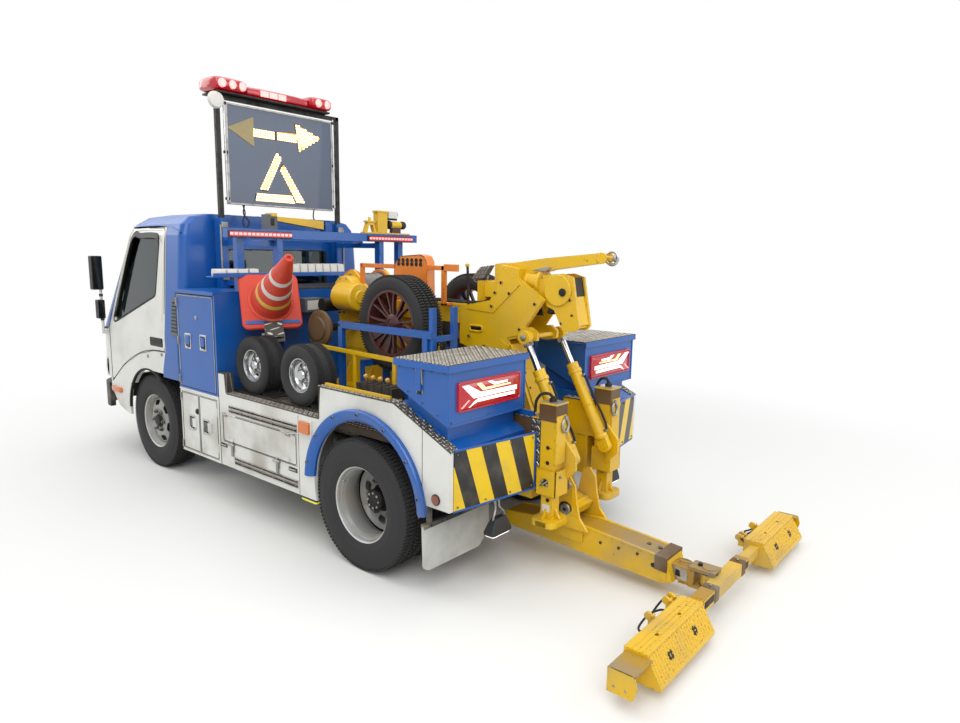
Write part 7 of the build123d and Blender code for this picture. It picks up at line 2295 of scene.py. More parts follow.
@dataclass
class Lift:
    """The boom on its stand with the winch, the head, the mast and the two lift cylinders."""

    pivot: Span = (650.0, 1330.0)
    drum: Span = (1000.0, 1480.0)
    head: Span = (-665.0, 1530.0)
    side: float = 100.0
    cylinder: float = 170.0
    foot: Span = (-865.0, 640.0)
    eye: Span = (-530.0, 1268.0)

    def build(self) -> None:
        """Dresses the lift and builds its fittings in order."""
        dress({"lift_frame": YELLOW, "boom": YELLOW, "lift_barrel_": YELLOW, "lift_rod_": CHROME, "winch_drum": STEEL})
        self.winch()
        self.stand()
        self.boom()
        self.sheave()
        self.mast()
        for side, hand in SIDES:
            form = Form(YELLOW)
            start, end = (Vector((x, hand * self.cylinder, z)) for x, z in (self.foot, self.eye))
            run = (end - start).normalized()
            for along, radius, length in ((52, 39, 26), (452, 40, 24), (250, 37, 10)):
                form.lathe(((radius - 3, 0), (radius, 3), (radius, length - 3), (radius - 3, length)),
                           start + run * along, run, 36)
            form.use(ZINC)
            for port in (start + run * 90, start + run * 430):
                form.rod(port + Vector((-34, 0, 12)), port + Vector((-52, 0, 20)), 9, sides=6)
            form.use(HOSE).pipe([tuple(p) for p in (
                start + run * 90 + Vector((-50, 0, 20)), start + run * 150 + Vector((-58, hand * 4, 22)),
                start + run * 300 + Vector((-50, hand * 6, 18)), start + run * 430 + Vector((-50, 0, 20)))], 7, 12, 6)
            form.piece(f"cylinder_bands_{side}", f"lift_barrel_{side}", "yellow_paint", bevel=0)
            eye = Form(YELLOW)
            eye.lathe(mirrored(((20, -22), (37, -22), (39, -18), (39, 18), (37, 22), (20, 22)), hand),
                      end, sides=36)
            eye.use(ZINC).lathe(mirrored(((6, 22), (17, 22), (17, 28), (12, 30)), hand), end,
                                sides=32)
            eye.piece(f"rod_eye_{side}", "boom", bevel=0)
        LOG.info("lift cylinders: bands, ports, pipes and eyes")

    def winch(self) -> None:
        """Adds the wound rope, flange rims, gear case, motor, clutch, switch box and the guard."""
        x, z = self.drum
        profile = [(70, -113)]
        for n in range(18):
            y = -110 + n * 13
            profile += [(88, y - 1), (94, y + 3), (95, y + 6), (94, y + 9), (88, y + 12)]
        profile += [(70, 122)]
        rope = Form(ROPE).lathe([(r, min(w, 113)) for r, w in profile], (x, 0, z), sides=48)
        rope.piece("drum_rope", "drum", "rod_chrome", bevel=0)
        # Painted amber light: the drum's flange rims are yellow, drawn orange as lit by the amber lamps.
        rims = Form(AMBER_LIT_YELLOW)
        for hand in (1, -1):
            rims.lathe(mirrored(((100, 114), (118, 114), (120, 117), (120, 123), (116, 125), (100, 125)), hand),
                       (x, 0, z), sides=56, ring=True)
        rims.piece("drum_rims", "drum", "yellow_paint", bevel=0)
        case = Form(YELLOW)
        case.lathe(((40, 153), (112, 155), (120, 162), (120, 226), (112, 236), (60, 244), (56, 268), (40, 272)),
                   (960, 0, 1440), sides=48)
        case.lathe(((30, 0), (84, 4), (92, 14), (92, 196), (84, 206), (46, 212), (40, 222)), (965, 262, 1425),
                   (-1, 0, 0), 40)
        # Painted amber light: the drum's end cap is yellow, drawn orange as lit by the amber lamps.
        case.use(AMBER_LIT_YELLOW).lathe(((30, 153), (66, 156), (70, 164), (70, 210), (60, 222), (24, 226)), (x, 0, z), sides=40)
        case.piece("winch_gear_case", "chassis", "yellow_paint", bevel=0)
        ring = REPEAT.make("gear_case_bolts", Layout.RING, Form(ZINC).lathe(((7, -2), (7, 6), (5, 8)), (0, 0, 0),
                                                                            (0, 1, 0), 6),
                           count=10, reach=(0.104, 0.0, 0.0), place=at(960, 232, 1440))
        attach(ring, "chassis")
        disc = Form(PRIMER_AND_SHADE)
        disc.lathe(((20, 448), (112, 452), (118, 458), (118, 478), (110, 484), (80, 486), (74, 498), (30, 500)),
                   (918, 0, 1221), sides=56)
        disc.use(DARK).rod((918, 150, 1221), (918, 452, 1221), 24)
        disc.rod((1118, 152, 1354), (1118, 300, 1354), 46)
        disc.piece("winch_clutch", "chassis", "dark_steel", bevel=0)
        box = Form(GREY)
        box.block((1205, 1298), (230, 372), (1300, 1396))
        box.use(PALE).block((1201, 1206), (246, 356), (1316, 1380))
        box.piece("switch_box", "chassis", bevel=4)
        # Painted amber light: the perforated rope guard is yellow, drawn orange as lit by the amber lamps.
        guard = Form(AMBER_LIT_YELLOW)
        arc = [(533, 1420), (533, 1600), (514, 1664), (470, 1700), (300, 1712), (262, 1700), (240, 1664), (236, 1430)]
        inner = [(x0 + (384 - x0) * 0.03, z0 - 7) for x0, z0 in arc]
        guard.loft([[(a, y, b) for a, b in arc] + [(a, y, b) for a, b in reversed(inner)] for y in (96, 168)])
        guard.slab(((536, 1424), (536, 1600), (514, 1666), (470, 1700), (300, 1712), (262, 1700), (236, 1664),
                    (236, 1500), (300, 1440)), (158, 168))
        guard.block((533, 860), (140, 166), (1618, 1646))
        guard.block((93, 240), (140, 166), (1618, 1646))
        guard.block((-12, 97), (148, 168), (1614, 1656))
        guard.block((846, 872), (140, 166), (1440, 1646))
        guard.block((93, 119), (140, 166), (1404, 1646))
        guard.block((846, 872), (130, 152), (1380, 1460))
        guard.block((93, 119), (60, 166), (1404, 1420))
        guard.piece("rope_guard", "chassis", "yellow_paint", bevel=2)
        # Painted shade: black discs on the guard's side stand for the shade inside its holes.
        hole = Form(TRIM_AND_HOLE_SHADE).lathe(((13, 0), (13, 1.2), (6, 1.4)), (0, 0, 0), (0, 0, 1), 14)
        paths = [((290, 170.5, z0), (486, 170.5, z0)) for z0 in (1650, 1674)]
        attach(REPEAT.make("guard_holes_side", Layout.ROW, hole, paths, spacing=0.033, turn=FACING["left"]), "chassis")
        LOG.info("winch: rope, rims, gear case, clutch, switch box and guard")

    def stand(self) -> None:
        """Adds the stand's pin caps, gussets and bolts, and the boxes before the towers."""
        form = Form(ZINC)
        for hand in (1, -1):
            form.lathe(mirrored(((12, 152), (46, 152), (46, 160), (38, 168), (20, 170)), hand),
                       (self.pivot[0], 0, self.pivot[1]), sides=40)
            form.block((self.pivot[0] - 50, self.pivot[0] + 50), (hand * 168, hand * 173),
                       (self.pivot[1] - 9, self.pivot[1] + 9))
        form.piece("pivot_caps", "chassis", bevel=1)
        form = Form(YELLOW)
        for hand in (1, -1):
            for x in (520, 760, 1000):
                form.board(((hand * 152, 816), (hand * 226, 816), (hand * 152, 960)), (x - 6, x + 6))
            form.slab(((420, 1010), (500, 1010), (620, 1250), (560, 1290)), (hand * 151, hand * 160))
            form.slab(((760, 1060), (1040, 1060), (1040, 1120), (780, 1120)), (hand * 151, hand * 158))
        form.piece("stand_gussets", "chassis", "yellow_paint", bevel=1.5)
        for side, hand in SIDES:
            spots = [(x, hand * 152.5, z) for x, z in ((330, 850), (460, 850), (600, 850), (740, 850), (880, 850),
                                                       (1040, 850),
                                                       (1060, 1180), (1060, 1300), (980, 1560), (860, 1480),
                                                       (720, 1400))]
            bolts(f"stand_bolts_{side}", "chassis", ZINC, side, spots, 20)
            self.box(side, hand)
        LOG.info("stand: caps, gussets, bolts and boxes")

    def box(self, side: str, hand: int) -> None:
        """Adds the tall box before a tower, with its chequered step and the strip beside it.

        Args:
            side: The side's name.
            hand: 1 on the left and -1 on the right.
        """
        form = Form(YELLOW)
        form.slab(((-528, 424), (-528, 866), (-706, 866), (-712, 424)), (hand * 240, hand * 330))
        form.slab(((-690, 430), (-690, 860), (-708, 860), (-712, 430)), (hand * 234, hand * 241))
        form.slab(((-540, 640), (-540, 860), (-552, 860), (-552, 640)), (hand * 236, hand * 241))
        form.block((-762, -706), (hand * 326, hand * 333), (600, 880))
        # Painted shade: the brown outboard face stands for the yellow face in shadow.
        form.use(PRIMER_AND_SHADE).slab(((-528, 660), (-528, 866), (-706, 866), (-709, 660)), (hand * 330, hand * 334))
        form.use(LID_PLATE).block((-712, -526), (hand * 236, hand * 336), (866, 872))
        # Painted shade: a black oval on the step stands for the shade inside its hole.
        form.use(TRIM_AND_HOLE_SHADE).loft([[(-640 + 24 * k * math.cos(t), hand * (286 + 15 * k * math.sin(t)), z) for t in [
            math.tau * n / 24 for n in range(24)]] for z, k in ((871, 1), (873, 1), (873.4, 0.9))])
        form.use(STRIP_PLATE).block((-764, -706), (hand * 333, hand * 338), (614, 872))
        # Painted amber light: the fittings are drawn orange as the amber lamps light them.
        form.use(AMBER_LIT_YELLOW)
        for z in (668, 742, 826):
            form.rod((-736, hand * 336, z), (-736, hand * 343, z), 6, sides=6)
        form.piece(f"tower_box_{side}", "chassis", "yellow_paint", bevel=1.5)
        long_stud = Form(STUD).loft([[((a - b) * k * 0.7, (a + b) * k * 0.7, z)
                                      for a, b in ((-18, 0), (-9, 5.5), (9, 5.5), (18, 0), (9, -5.5), (-9, -5.5))]
                                for k, z in ((1, -1.5), (0.95, 0.8), (0.62, 3))])
        attach(REPEAT.make(f"tower_strip_studs_{side}", Layout.GRID, long_stud, count=2, rows=8,
                           reach=(0.030, 0.226, 0.0), twist=math.pi / 2,
                           place=at(-735, hand * 338, 743), turn=FACING[side]), "chassis")
        attach(REPEAT.make(f"tower_step_studs_{side}", Layout.GRID, stud(STUD, -1, 1, 2.6), count=9, rows=5,
                           reach=(0.164, 0.078, 0.0), twist=math.pi / 2,
                           place=at(-619, hand * 286, 872), turn=(0.0, 0.0, 0.0)), "chassis")

    def boom(self) -> None:
        """Adds the slide plate, doublers, slot rims, bolts, the arm's end, the work lamp and the hoses."""
        form = Form(YELLOW)
        form.block((-10, 560), (-58, 58), (1404, 1412))
        form.block((-10, 560), (-84, -74), (1402, 1418))
        form.block((-10, 560), (74, 84), (1402, 1418))
        for hand in (1, -1):
            face, out = hand * self.side, hand * (self.side + 5)
            form.slab(((-30, 1392), (-216, 1444), (-282, 1552), (-286, 1650), (-300, 1650), (-430, 1552), (-240, 1380)),
                      (face, out))
            form.slab(((-346, 1244), (-456, 1270), (-474, 1312), (-590, 1470), (-560, 1490), (-410, 1330)), (face, out))
            form.slab(((-240, 1120), (-322, 1118), (-356, 1196), (-300, 1230)), (face, out))
            line = rounded(((-160, 1262), (-60, 1262), (-60, 1296), (-160, 1296)), 16, 5)
            form.pipe([(x, face + hand * 2, z) for x, z in line], 6, 10, loop=True)
            # Painted shade: the dark plate inside the rim stands for the shade in the slot.
            form.use(DARK).slab(((-150, 1270), (-70, 1270), (-70, 1288), (-150, 1288)), (face, face + hand * 2))
            # Painted shade: dark triangles stand for the shade seen through the plates' triangular windows.
            for outline in (((-520, 1385), (-570, 1385), (-552, 1440)), ((-590, 1400), (-634, 1404), (-612, 1455))):
                form.use(DARK).slab(outline, (hand * 57, hand * 61))
            form.use(YELLOW)
        form.slab(((-197, 1664), (-270, 1671), (-270, 1548), (-197, 1548)), (-39, 39))
        form.block((-262, -150), (-74, 74), (1470, 1562))
        form.block((-150, -146), (-80, 80), (1466, 1566))
        form.piece("boom_plates", "boom", "yellow_paint", bevel=1.5)
        for side, hand in SIDES:
            spots = [(x, hand * (self.side + 5), z) for x, z in ((-232, 1420), (-256, 1500), (-300, 1560), (-360, 1500),
                                                                 (-440, 1300),
                                                                 (-540, 1450), (-330, 1140), (-60, 1230), (-180, 1180))]
            bolts(f"boom_bolts_{side}", "boom", ZINC, side, spots, 19)
        arm = Form(YELLOW)
        arm.slab(((-270, 1665), (-562, 1704), (-884, 1734), (-884, 1680), (-600, 1640), (-421, 1610), (-270, 1580)),
                 (-38, 38))
        arm.block((-900, -880), (-40, 40), (1690, 1730))
        arm.use(ZINC).lathe(((14, -980), (20, -978), (20, -966), (14, -962), (14, -898), (26, -898), (26, -888)),
                            (0, 0, 1709), (1, 0, 0), 28)
        ring = [(-952 + 34 * math.cos(t), 0, 1709 + 34 * math.sin(t)) for t in [math.tau * n / 20 for n in range(20)]]
        arm.use(CHROME).pipe(ring, 8, 12, loop=True)
        arm.use(YELLOW)
        for hand in (-1, 1):
            arm.lathe(mirrored(((18, 46), (30, 44), (30, 30), (18, 26)), hand), (-910, 0, 1709), sides=24)
        arm.piece("arm_edges", "boom", "yellow_paint", bevel=1)
        lamp = Form(GREY)
        bezel = ((20, 1566), (-50, 1642), (-134, 1654), (-78, 1574))
        lamp.slab(bezel, (-40, -4))
        lamp.use(STUD).slab([(x * 0.93 - 4, 1609 + (z - 1609) * 0.93) for x, z in bezel], (-6, 2))
        lamp.use(GREY)
        for n in (0.33, 0.67):
            lamp.rod((20 - 70 * n, 2, 1566 + 76 * n), (-78 - 56 * n, 2, 1574 + 80 * n), 3, sides=10)
        for n in (0.25, 0.5, 0.75):
            lamp.rod((20 - 98 * n, 2, 1566 + 8 * n), (-50 - 84 * n, 2, 1642 + 12 * n), 3, sides=10)
        lamp.use(ZINC).pipe(((10, -20, 1580), (4, -20, 1552), (-80, -20, 1552), (-98, -20, 1592)), 6, 10, 4)
        lamp.use(YELLOW).block((-130, -60), (-34, 34), (1412, 1560))
        lamp.use(DARK).rod((40, 0, 1412), (50, 0, 1640), 8)
        lamp.use(YELLOW).lathe(((4, 0), (14, 6), (14, 18), (4, 24)), (52, 0, 1638), (0, 0, 1), 20)
        lamp.piece("head_work_lamp", "boom", bevel=1)
        for number, y in enumerate((-44, -30, 30, 44)):
            line = [(540, y, 1424), (300, y * 1.1, 1426), (60, y * 0.9, 1424), (-130, y, 1440), (-236, y, 1500)]
            Form(HOSE).pipe(line, 7, 10, 6).piece(f"boom_hose_{number}", "boom", bevel=0)
        LOG.info("boom: slide, plates, bolts, arm, lamp and hoses")

    def sheave(self) -> None:
        """Builds the head: the slewing motor between its flanges, the cheeks and their bearings."""
        x, z = self.head
        form = Form(YELLOW)
        form.lathe(((40, -336), (74, -338), (78, -346), (78, -356), (66, -360), (66, -420), (70, -424), (70, -440),
                    (66, -444),
                    (66, -510), (78, -514), (78, -532), (60, -536)), (0, 0, 1562), (1, 0, 0), 44)
        for hand in (1, -1):
            form.lathe(mirrored(((20, 58), (84, 58), (86, 62), (86, 76), (82, 79), (12, 80)), hand),
                       (x, 0, z), sides=44)
            form.slab(((-560, 1610), (-690, 1622), (-756, 1604), (-806, 1340), (-786, 1314), (-704, 1304), (-640, 1420),
                       (-590, 1440)),
                      (hand * 48, hand * 66))
        form.use(DARK).slab(((-738, 1602), (-762, 1500), (-766, 1500), (-744, 1604)), (-50, 50))
        form.use(YELLOW).slab(((-756, 1500), (-793, 1345), (-800, 1345), (-764, 1500)), (-50, 50))
        form.use(DARK)
        for hand in (1, -1):
            form.lathe(mirrored(((8, 82), (22, 82), (22, 87), (16, 90)), hand), (x - 38, 0, z - 8), sides=28)
            form.lathe(mirrored(((10, 58), (26, 60), (26, 72), (14, 78)), hand), (-500, 0, 1500), sides=28)
        form.use(YELLOW)
        for hand in (1, -1):
            form.lathe(mirrored(((26, 60), (36, 60), (36, 68), (26, 70)), hand), (-500, 0, 1500), sides=28, ring=True)
        form.use(ZINC).slab(((-470, 1634), (-580, 1658), (-600, 1650), (-560, 1630)), (-44, 44))
        form.piece("head_castings", "boom", "yellow_paint", bevel=1.5)
        for side, hand in SIDES:
            spots = [(-725, hand * 66, 1560), (-745, hand * 66, 1480), (-760, hand * 66, 1400), (-690, hand * 66, 1350)]
            bolts(f"cheek_bolts_{side}", "boom", ZINC, side, spots, 15)
        LOG.info("head: motor, cheeks, bearings and bolts")

    def mast(self) -> None:
        """Adds the mast's edge flanges, cover plates, bolts and foot pin."""
        form = Form(YELLOW)
        rear = ((-367, 1205), (-549, 782), (-742, 365))
        for hand in (1, -1):
            for (x0, z0), (x1, z1) in zip(rear, rear[1:]):
                form.loft([[(x + dx, hand * y, z) for dx, y in ((2, 78), (-6, 80), (-6, 96), (2, 96))]
                           for x, z in ((x0, z0), (x1, z1))])
            form.slab(((-330, 1100), (-250, 1120), (-290, 1000), (-370, 980)), (hand * 92, hand * 98))
            form.slab(((-500, 760), (-420, 740), (-560, 420), (-620, 440)), (hand * 92, hand * 97))
        form.loft([[(x - 3, y, z) for y in (-62, 62)] + [(x - 8, y, z) for y in (62, -62)] for x, z in (
            (-430, 1060), (-520, 852))])
        form.piece("mast_flanges", "boom", "yellow_paint", bevel=1.5)
        spots = [(-367 - 182 * t - 8, y, 1205 - 423 * t) for t in (0.38, 0.58, 0.80) for y in (-50, 50)]
        bolts("mast_bolts", "boom", ZINC, "rear", spots, 15)
        pin = Form(ZINC)
        for hand in (1, -1):
            pin.lathe(mirrored(((10, 118), (34, 118), (34, 128), (26, 134)), hand), BEAM_PIN, sides=32)
        pin.use(DARK)
        for hand in (1, -1):
            pin.lathe(mirrored(((8, 129), (12, 131), (12, 136), (4, 138)), hand), BEAM_PIN, sides=6)
        pin.piece("mast_foot_pin", "beam", bevel=0)
        LOG.info("mast: flanges, bolts and foot pin")


@dataclass
class Towers:
    """The two leg towers with their feet, caps, shackles and work lamps."""

    leg: Span = (-805.0, 290.0)

    def build(self) -> None:
        """Builds each tower's dress and its leg's."""
        dress({"leg_": YELLOW})
        for side, hand in SIDES:
            x, y = self.leg
            form = Form(YELLOW)
            form.block((-862, -850), (hand * 246, hand * 334), (640, 900))
            form.block((-872, -866), (hand * 228, hand * 346), (468, 606))
            form.block((-752, -746), (hand * 228, hand * 346), (468, 606))
            form.block((-872, -746), (hand * 340, hand * 346), (468, 606))
            form.block((-872, -746), (hand * 226, hand * 232), (468, 606))
            # Painted shade and lamp light: the brown band under the cap stands for the yellow step's side in shade,
            # tinted red by the tail lamp.
            form.use(PRIMER_AND_SHADE).block((-858, -752), (hand * 230, hand * 338), (868, 956))
            form.use(YELLOW).block((-862, -748), (hand * 226, hand * 342), (956, 964))
            # Painted shade: dark discs stand for the shade inside the holes in the tower's side and lower bracket.
            form.use(DARK)
            for z in (727, 645):
                form.lathe(mirrored(((11, 0), (11, 3), (6, 3.4)), hand), (-812, hand * 335, z), sides=18)
            form.lathe(mirrored(((20, 0), (20, 3), (12, 3.4)), hand), (-806, hand * 346, 540), sides=18)
            form.use(ZINC).rod((-796, hand * 346, 548), (-796, hand * 362, 548), 9, sides=6)
            form.rod((-822, hand * 346, 530), (-822, hand * 358, 530), 9, sides=6)
            form.pipe(((-780, hand * 352, 520), (-800, hand * 362, 532), (-826, hand * 352, 552)), 5, 10, 4)
            form.rod((-872, hand * 306, 575), (-884, hand * 306, 575), 8, sides=6)
            form.piece(f"tower_plates_{side}", "chassis", "yellow_paint", bevel=2)
            plate = Form(STUD).block((-864, -750), (hand * 236, hand * 334), (964, 967))
            plate.use(DARK)
            plate.rod((x, hand * y, 962), (x, hand * y, 984), 20)
            plate.rod((x, hand * y, 975), (x, hand * y, 996), 11, sides=6)
            plate.use(HOSE).pipe(((x, hand * y, 984), (x + 20, hand * (y + 10), 1006), (x + 60, hand * (y + 20), 1000),
                                  (x + 90, hand * (y + 24), 960), (x + 96, hand * (y + 24), 900)), 8, 10, 5)
            plate.piece(f"tower_cap_{side}", "chassis", "deck", bevel=1)
            foot = Form(YELLOW)
            outline = rounded(((x - 75, y - 85), (x + 75, y - 85), (x + 75, y + 85), (x - 75, y + 85)), 42, 6)
            foot.loft([[(x + (a - x) * k, hand * (y + (b - y) * k), z) for a, b in outline] for z, k in (
                (299.5, 0.98), (302, 1.0), (330, 1.0), (336, 0.97), (337, 0.7))])
            foot.block((x - 42, x + 42), (hand * (y - 42), hand * (y + 42)), (334, 346))
            for dx, dy in ((1, 0), (-1, 0), (0, 1), (0, -1)):
                if dx:
                    foot.slab(((x + dx * 35, 338), (x + dx * 66, 338), (x + dx * 35, 392)),
                              (hand * (y - 6), hand * (y + 6)))
                else:
                    foot.board(((hand * (y + dy * 35), 338), (hand * (y + dy * 74), 338), (hand * (y + dy * 35), 392)),
                               (x - 6, x + 6))
            # Painted shade: a dark disc stands for the shade inside a hole in the leg.
            foot.use(DARK)
            foot.lathe(mirrored(((11, 0), (11, 2.4), (6, 2.8)), hand), (x - 8, hand * (y + 35), 438), sides=20)
            foot.use(PALE).block((x - 22, x + 24), (hand * (y + 35), hand * (y + 36.4)), (372, 412))
            foot.piece(f"leg_foot_{side}", f"leg_{side}", "yellow_paint", bevel=0)
            self.shackle(side, hand)
            self.lamp(side)
        LOG.info("towers: plates, caps, feet, shackles and lamps")

    def shackle(self, side: str, hand: int) -> None:
        """Adds the shackle behind the tower's head.

        Args:
            side: The side's name.
            hand: 1 on the left and -1 on the right.
        """
        hook = Form(ZINC)
        hook.pipe([(-868 + 3 * math.sin(t), hand * (262 + 28 * math.cos(t)), 843 + 34 * math.sin(t)) for t in [
            math.tau * n / 20 for n in range(20)]], 8, 12, loop=True)
        hook.rod((-850, hand * 262, 884), (-878, hand * 262, 884), 12)
        hook.piece(f"chain_hook_{side}", "chassis", "dark_steel", bevel=0)

    def lamp(self, side: str) -> None:
        """Adds the work lamp that lights the ground behind on one side."""
        x, y, z, top = (-700, 605, 318, 470) if side == "left" else (-775, -430, 352, 520)
        form = Form(PLASTIC)
        half = 80 if side == "left" else 52
        form.loft([[(x + dx * 34 * k - 8 * (1 - k), y + dy * half * k, z + rise)
                    for dx, dy in rounded(oblong(1, 1), 0.3, 3)]
                   for rise, k in ((0, 0.96), (3, 1.0), (16, 1.0), (60, 0.72), (84, 0.5))])
        form.use(ZINC)
        for shift in (-half * 0.5, half * 0.5):
            form.pipe(((x, y + shift, z + 60), (x - 6, y + shift, z + 100), (x + 4, y + shift * 0.4, top - 20),
                       (x + 10, y + shift * 0.4, top + 30)), 6, 10, 5)
        form.use(WHITE_LIGHT).loft([[(x + dx * 30 * k, y + dy * (half - 6) * k, z + rise) for dx, dy in rounded(
            oblong(1, 1), 0.3, 3)] for rise, k in ((1, 1.0), (-6, 0.96), (-9, 0.8))])
        form.piece(f"work_lamp_{side}", "chassis", "lamp_red", bevel=1)


@dataclass
class Underlift:
    """The low beam, the sliding stinger and the crossbar with its wheel grids."""

    swivel: Span = (-1580.0, 130.0)
    bar: Span = (-1640.0, 130.0)

    def build(self) -> None:
        """Dresses the underlift and adds the beam's edges, the ears' doublers and what the stinger carries."""
        dress({"underlift_beam": YELLOW, "stinger": RUBBED, "crossbar": YELLOW, "crossbar_arm_": YELLOW})
        form = Form(YELLOW)
        top = ((-359, 195), (-896, 244), (-1392, 202))
        for hand in (1, -1):
            for (x0, z0), (x1, z1) in zip(top, top[1:]):
                form.loft([[(x, hand * y, z + dz) for y, dz in ((72, 0), (74, 4), (90, 4), (90, -10))]
                           for x, z in ((x0, z0), (x1, z1))])
            form.lathe(mirrored(((24, 117), (46, 117), (48, 121), (44, 126), (24, 126)), hand), BEAM_PIN,
                       sides=36, ring=True)
            form.slab(((-720, 226), (-900, 226), (-870, 300), (-752, 300)), (hand * 118, hand * 124))
            form.block((-1394, -1360), (hand * 86, hand * 92), (78, 200))
        # Painted shade: the dark strip on the top and the dark discs on the sides stand for the shade inside a slot and
        # holes.
        form.use(DARK)
        form.loft([[(x, y, z) for x, z in ((-1228, 216.6), (-1336, 207.2))] + [(x, y, z - 3)







                                                                               for x, z in ((-1336, 207.2), (-1228, 216.6))]
                   for y in (-30, 30)])
        for hand in (1, -1):
            form.lathe(mirrored(((13, 87), (13, 89.4), (6, 89.6)), hand), (-1318, 0, 150), sides=24)
            form.lathe(mirrored(((9, 117), (9, 119), (4, 119.2)), hand), (-812, 0, 470), sides=24)
        form.use(STEEL)
        for x in (-1250, -1314):
            form.rod((x, 0, 206), (x - 1, 0, 222), 12, sides=6)
        form.use(RUBBED)
        for (x0, z0), (x1, z1) in zip(top, top[1:]):
            form.loft([[(x, y, z + dz) for y, dz in ((-71, -2), (-71, 1.2), (71, 1.2), (71, -2))]
                       for x, z in ((x0, z0), (x1, z1))])
        form.use(PRIMER_AND_SHADE).loft([[(x, y, z + dz) for y, dz in ((-97, -70), (-97, 7), (97, 7), (97, -70))]
                               for x, z in ((-1328, 208), (-1394, 202))])
        form.piece("beam_edges", "beam", "yellow_paint", bevel=1)
        for side, hand in SIDES:
            spots = [(x, hand * 88, 180 - (x + 900) * 0.02) for x in (-1010, -1120, -1230)]
            bolts(f"beam_bolts_{side}", "beam", ZINC, side, spots, 17)
        link = Form(YELLOW)
        ear = ((-735, 300), (-755, 420), (-772, 500), (-808, 512), (-842, 468), (-850, 380), (-840, 320))
        for hand in (1, -1):
            link.slab(ear, (hand * 118, hand * 126))
        link.use(ZINC)
        for hand in (1, -1):
            link.lathe(mirrored(((8, 126), (22, 126), (22, 134), (14, 138)), hand), (-812, 0, 470), sides=28)
        link.piece("ear_doublers", "beam", "yellow_paint", bevel=1.5)
        neck = Form(RUBBED)
        neck.block((-1624, -1488), (-49, 49), (180.5, 185))
        for hand in (1, -1):
            neck.use(STUD).slab(((-1400, 104), (-1486, 100), (-1486, 160), (-1400, 166)), (hand * 49, hand * 51.5))
            neck.use(DARK).slab(((-1424, 118), (-1452, 116), (-1446, 150), (-1424, 152)), (hand * 51, hand * 52.5))
        neck.use(RUBBED).block((-1490, -1440), (-54, 54), (84, 90))
        neck.lathe(((10, 55), (34, 55), (34, 58), (30, 60), (8, 61)), (self.swivel[0], 0, self.swivel[1]), (0, 0, 1),
                   32)
        neck.pipe([(-1452 + 34 * math.cos(t), 17 * math.sin(t), 186) for t in [math.tau * n / 20 for n in range(20)]],
                  4, 8, loop=True)
        neck.use(DARK).rod((-1532, 0, 182), (-1532, 0, 198), 13, sides=6)
        neck.piece("stinger_fittings", "stinger", "dark_steel", bevel=1)
        self.crossbar()
        for side, hand in SIDES:
            self.grid(side, hand)
        LOG.info("underlift: beam edges, ear doublers, stinger fittings, crossbar bands and wheel grids")

    def crossbar(self) -> None:
        """Adds the crossbar's brown bands, rubbed plates, dark faces and swivel collars."""
        x, z = self.bar
        form = Form(PRIMER_AND_SHADE)
        for low, high in ((-252, -204), (115, 167)):
            form.use(PRIMER_AND_SHADE).loft([[(x + dx * 36, y, z + dz * 36) for dx, dz in rounded(oblong(1, 1), 0.14, 3)]
                                   for y in (low, high)])
            form.use(ZINC).rod((x, (low + high) / 2, z + 36), (x, (low + high) / 2, z + 44), 8, sides=6)
        form.use(RUBBED)
        for low, high in ((-296, -256), (171, 296)):
            form.block((x - 34, x + 34), (low, high), (z + 33, z + 35))
        form.use(DARK)
        for low, high in ((-296, -258), (176, 290)):
            form.block((x - 35, x - 33), (low, high), (z - 14, z + 22))
        for hand in (1, -1):
            form.lathe(((34, -3), (44, -2), (44, 3), (34, 4)), (self.swivel[0], 0, self.swivel[1] + 32 * hand),
                       (0, 0, 1), 32, ring=True)
        form.piece("crossbar_bands", "crossbar", "yellow_paint", bevel=1)

    def grid(self, side: str, hand: int) -> None:
        """Adds one wheel grid's edges, lips, holes and studs.

        Args:
            side: The side's name.
            hand: 1 on the left and -1 on the right.
        """
        inner = 340 if side == "left" else 500
        outer = inner + 550
        form = Form(YELLOW)
        for y in (inner + 4, outer - 4):
            form.slab(((-1580, 176), (-1675, 176), (-1742, 64), (-1742, 50), (-1602, 50), (-1581, 82)),
                      (hand * (y - 5), hand * (y + 5)))
        form.loft([[(x, hand * y, z) for x, z in ((-1672, 181), (-1680, 181), (-1684, 172), (-1676, 172))]
                   for y in (inner, outer)])
        # Painted shade: dark discs stand for the shade inside the grid's holes.
        form.use(DARK)
        normal = Vector((-116, 0, 69)).normalized()
        for along in (0.28, 0.72):
            spot = Vector((-1711, hand * (inner + 550 * along), 120)) + normal * 0.8
            form.lathe(((21, -2), (21, 1.2), (8, 1.3)), spot, normal, 28)
        form.piece(f"grid_edges_{side}", f"crossbar_arm_{side}", "yellow_paint", bevel=1)
        made = REPEAT.make(f"grid_studs_{side}", Layout.GRID, stud(YELLOW, -1.5, 0.5, 2.4), count=7, rows=24,
                           reach=(0.104, 0.520, 0.0), twist=math.pi / 2,
                           place=at(-1711, hand * (inner + 275), 120.5), turn=(0.0, -math.atan2(116, 69), 0.0))
        attach(made, f"crossbar_arm_{side}")
        self.shoe(side, hand, outer)

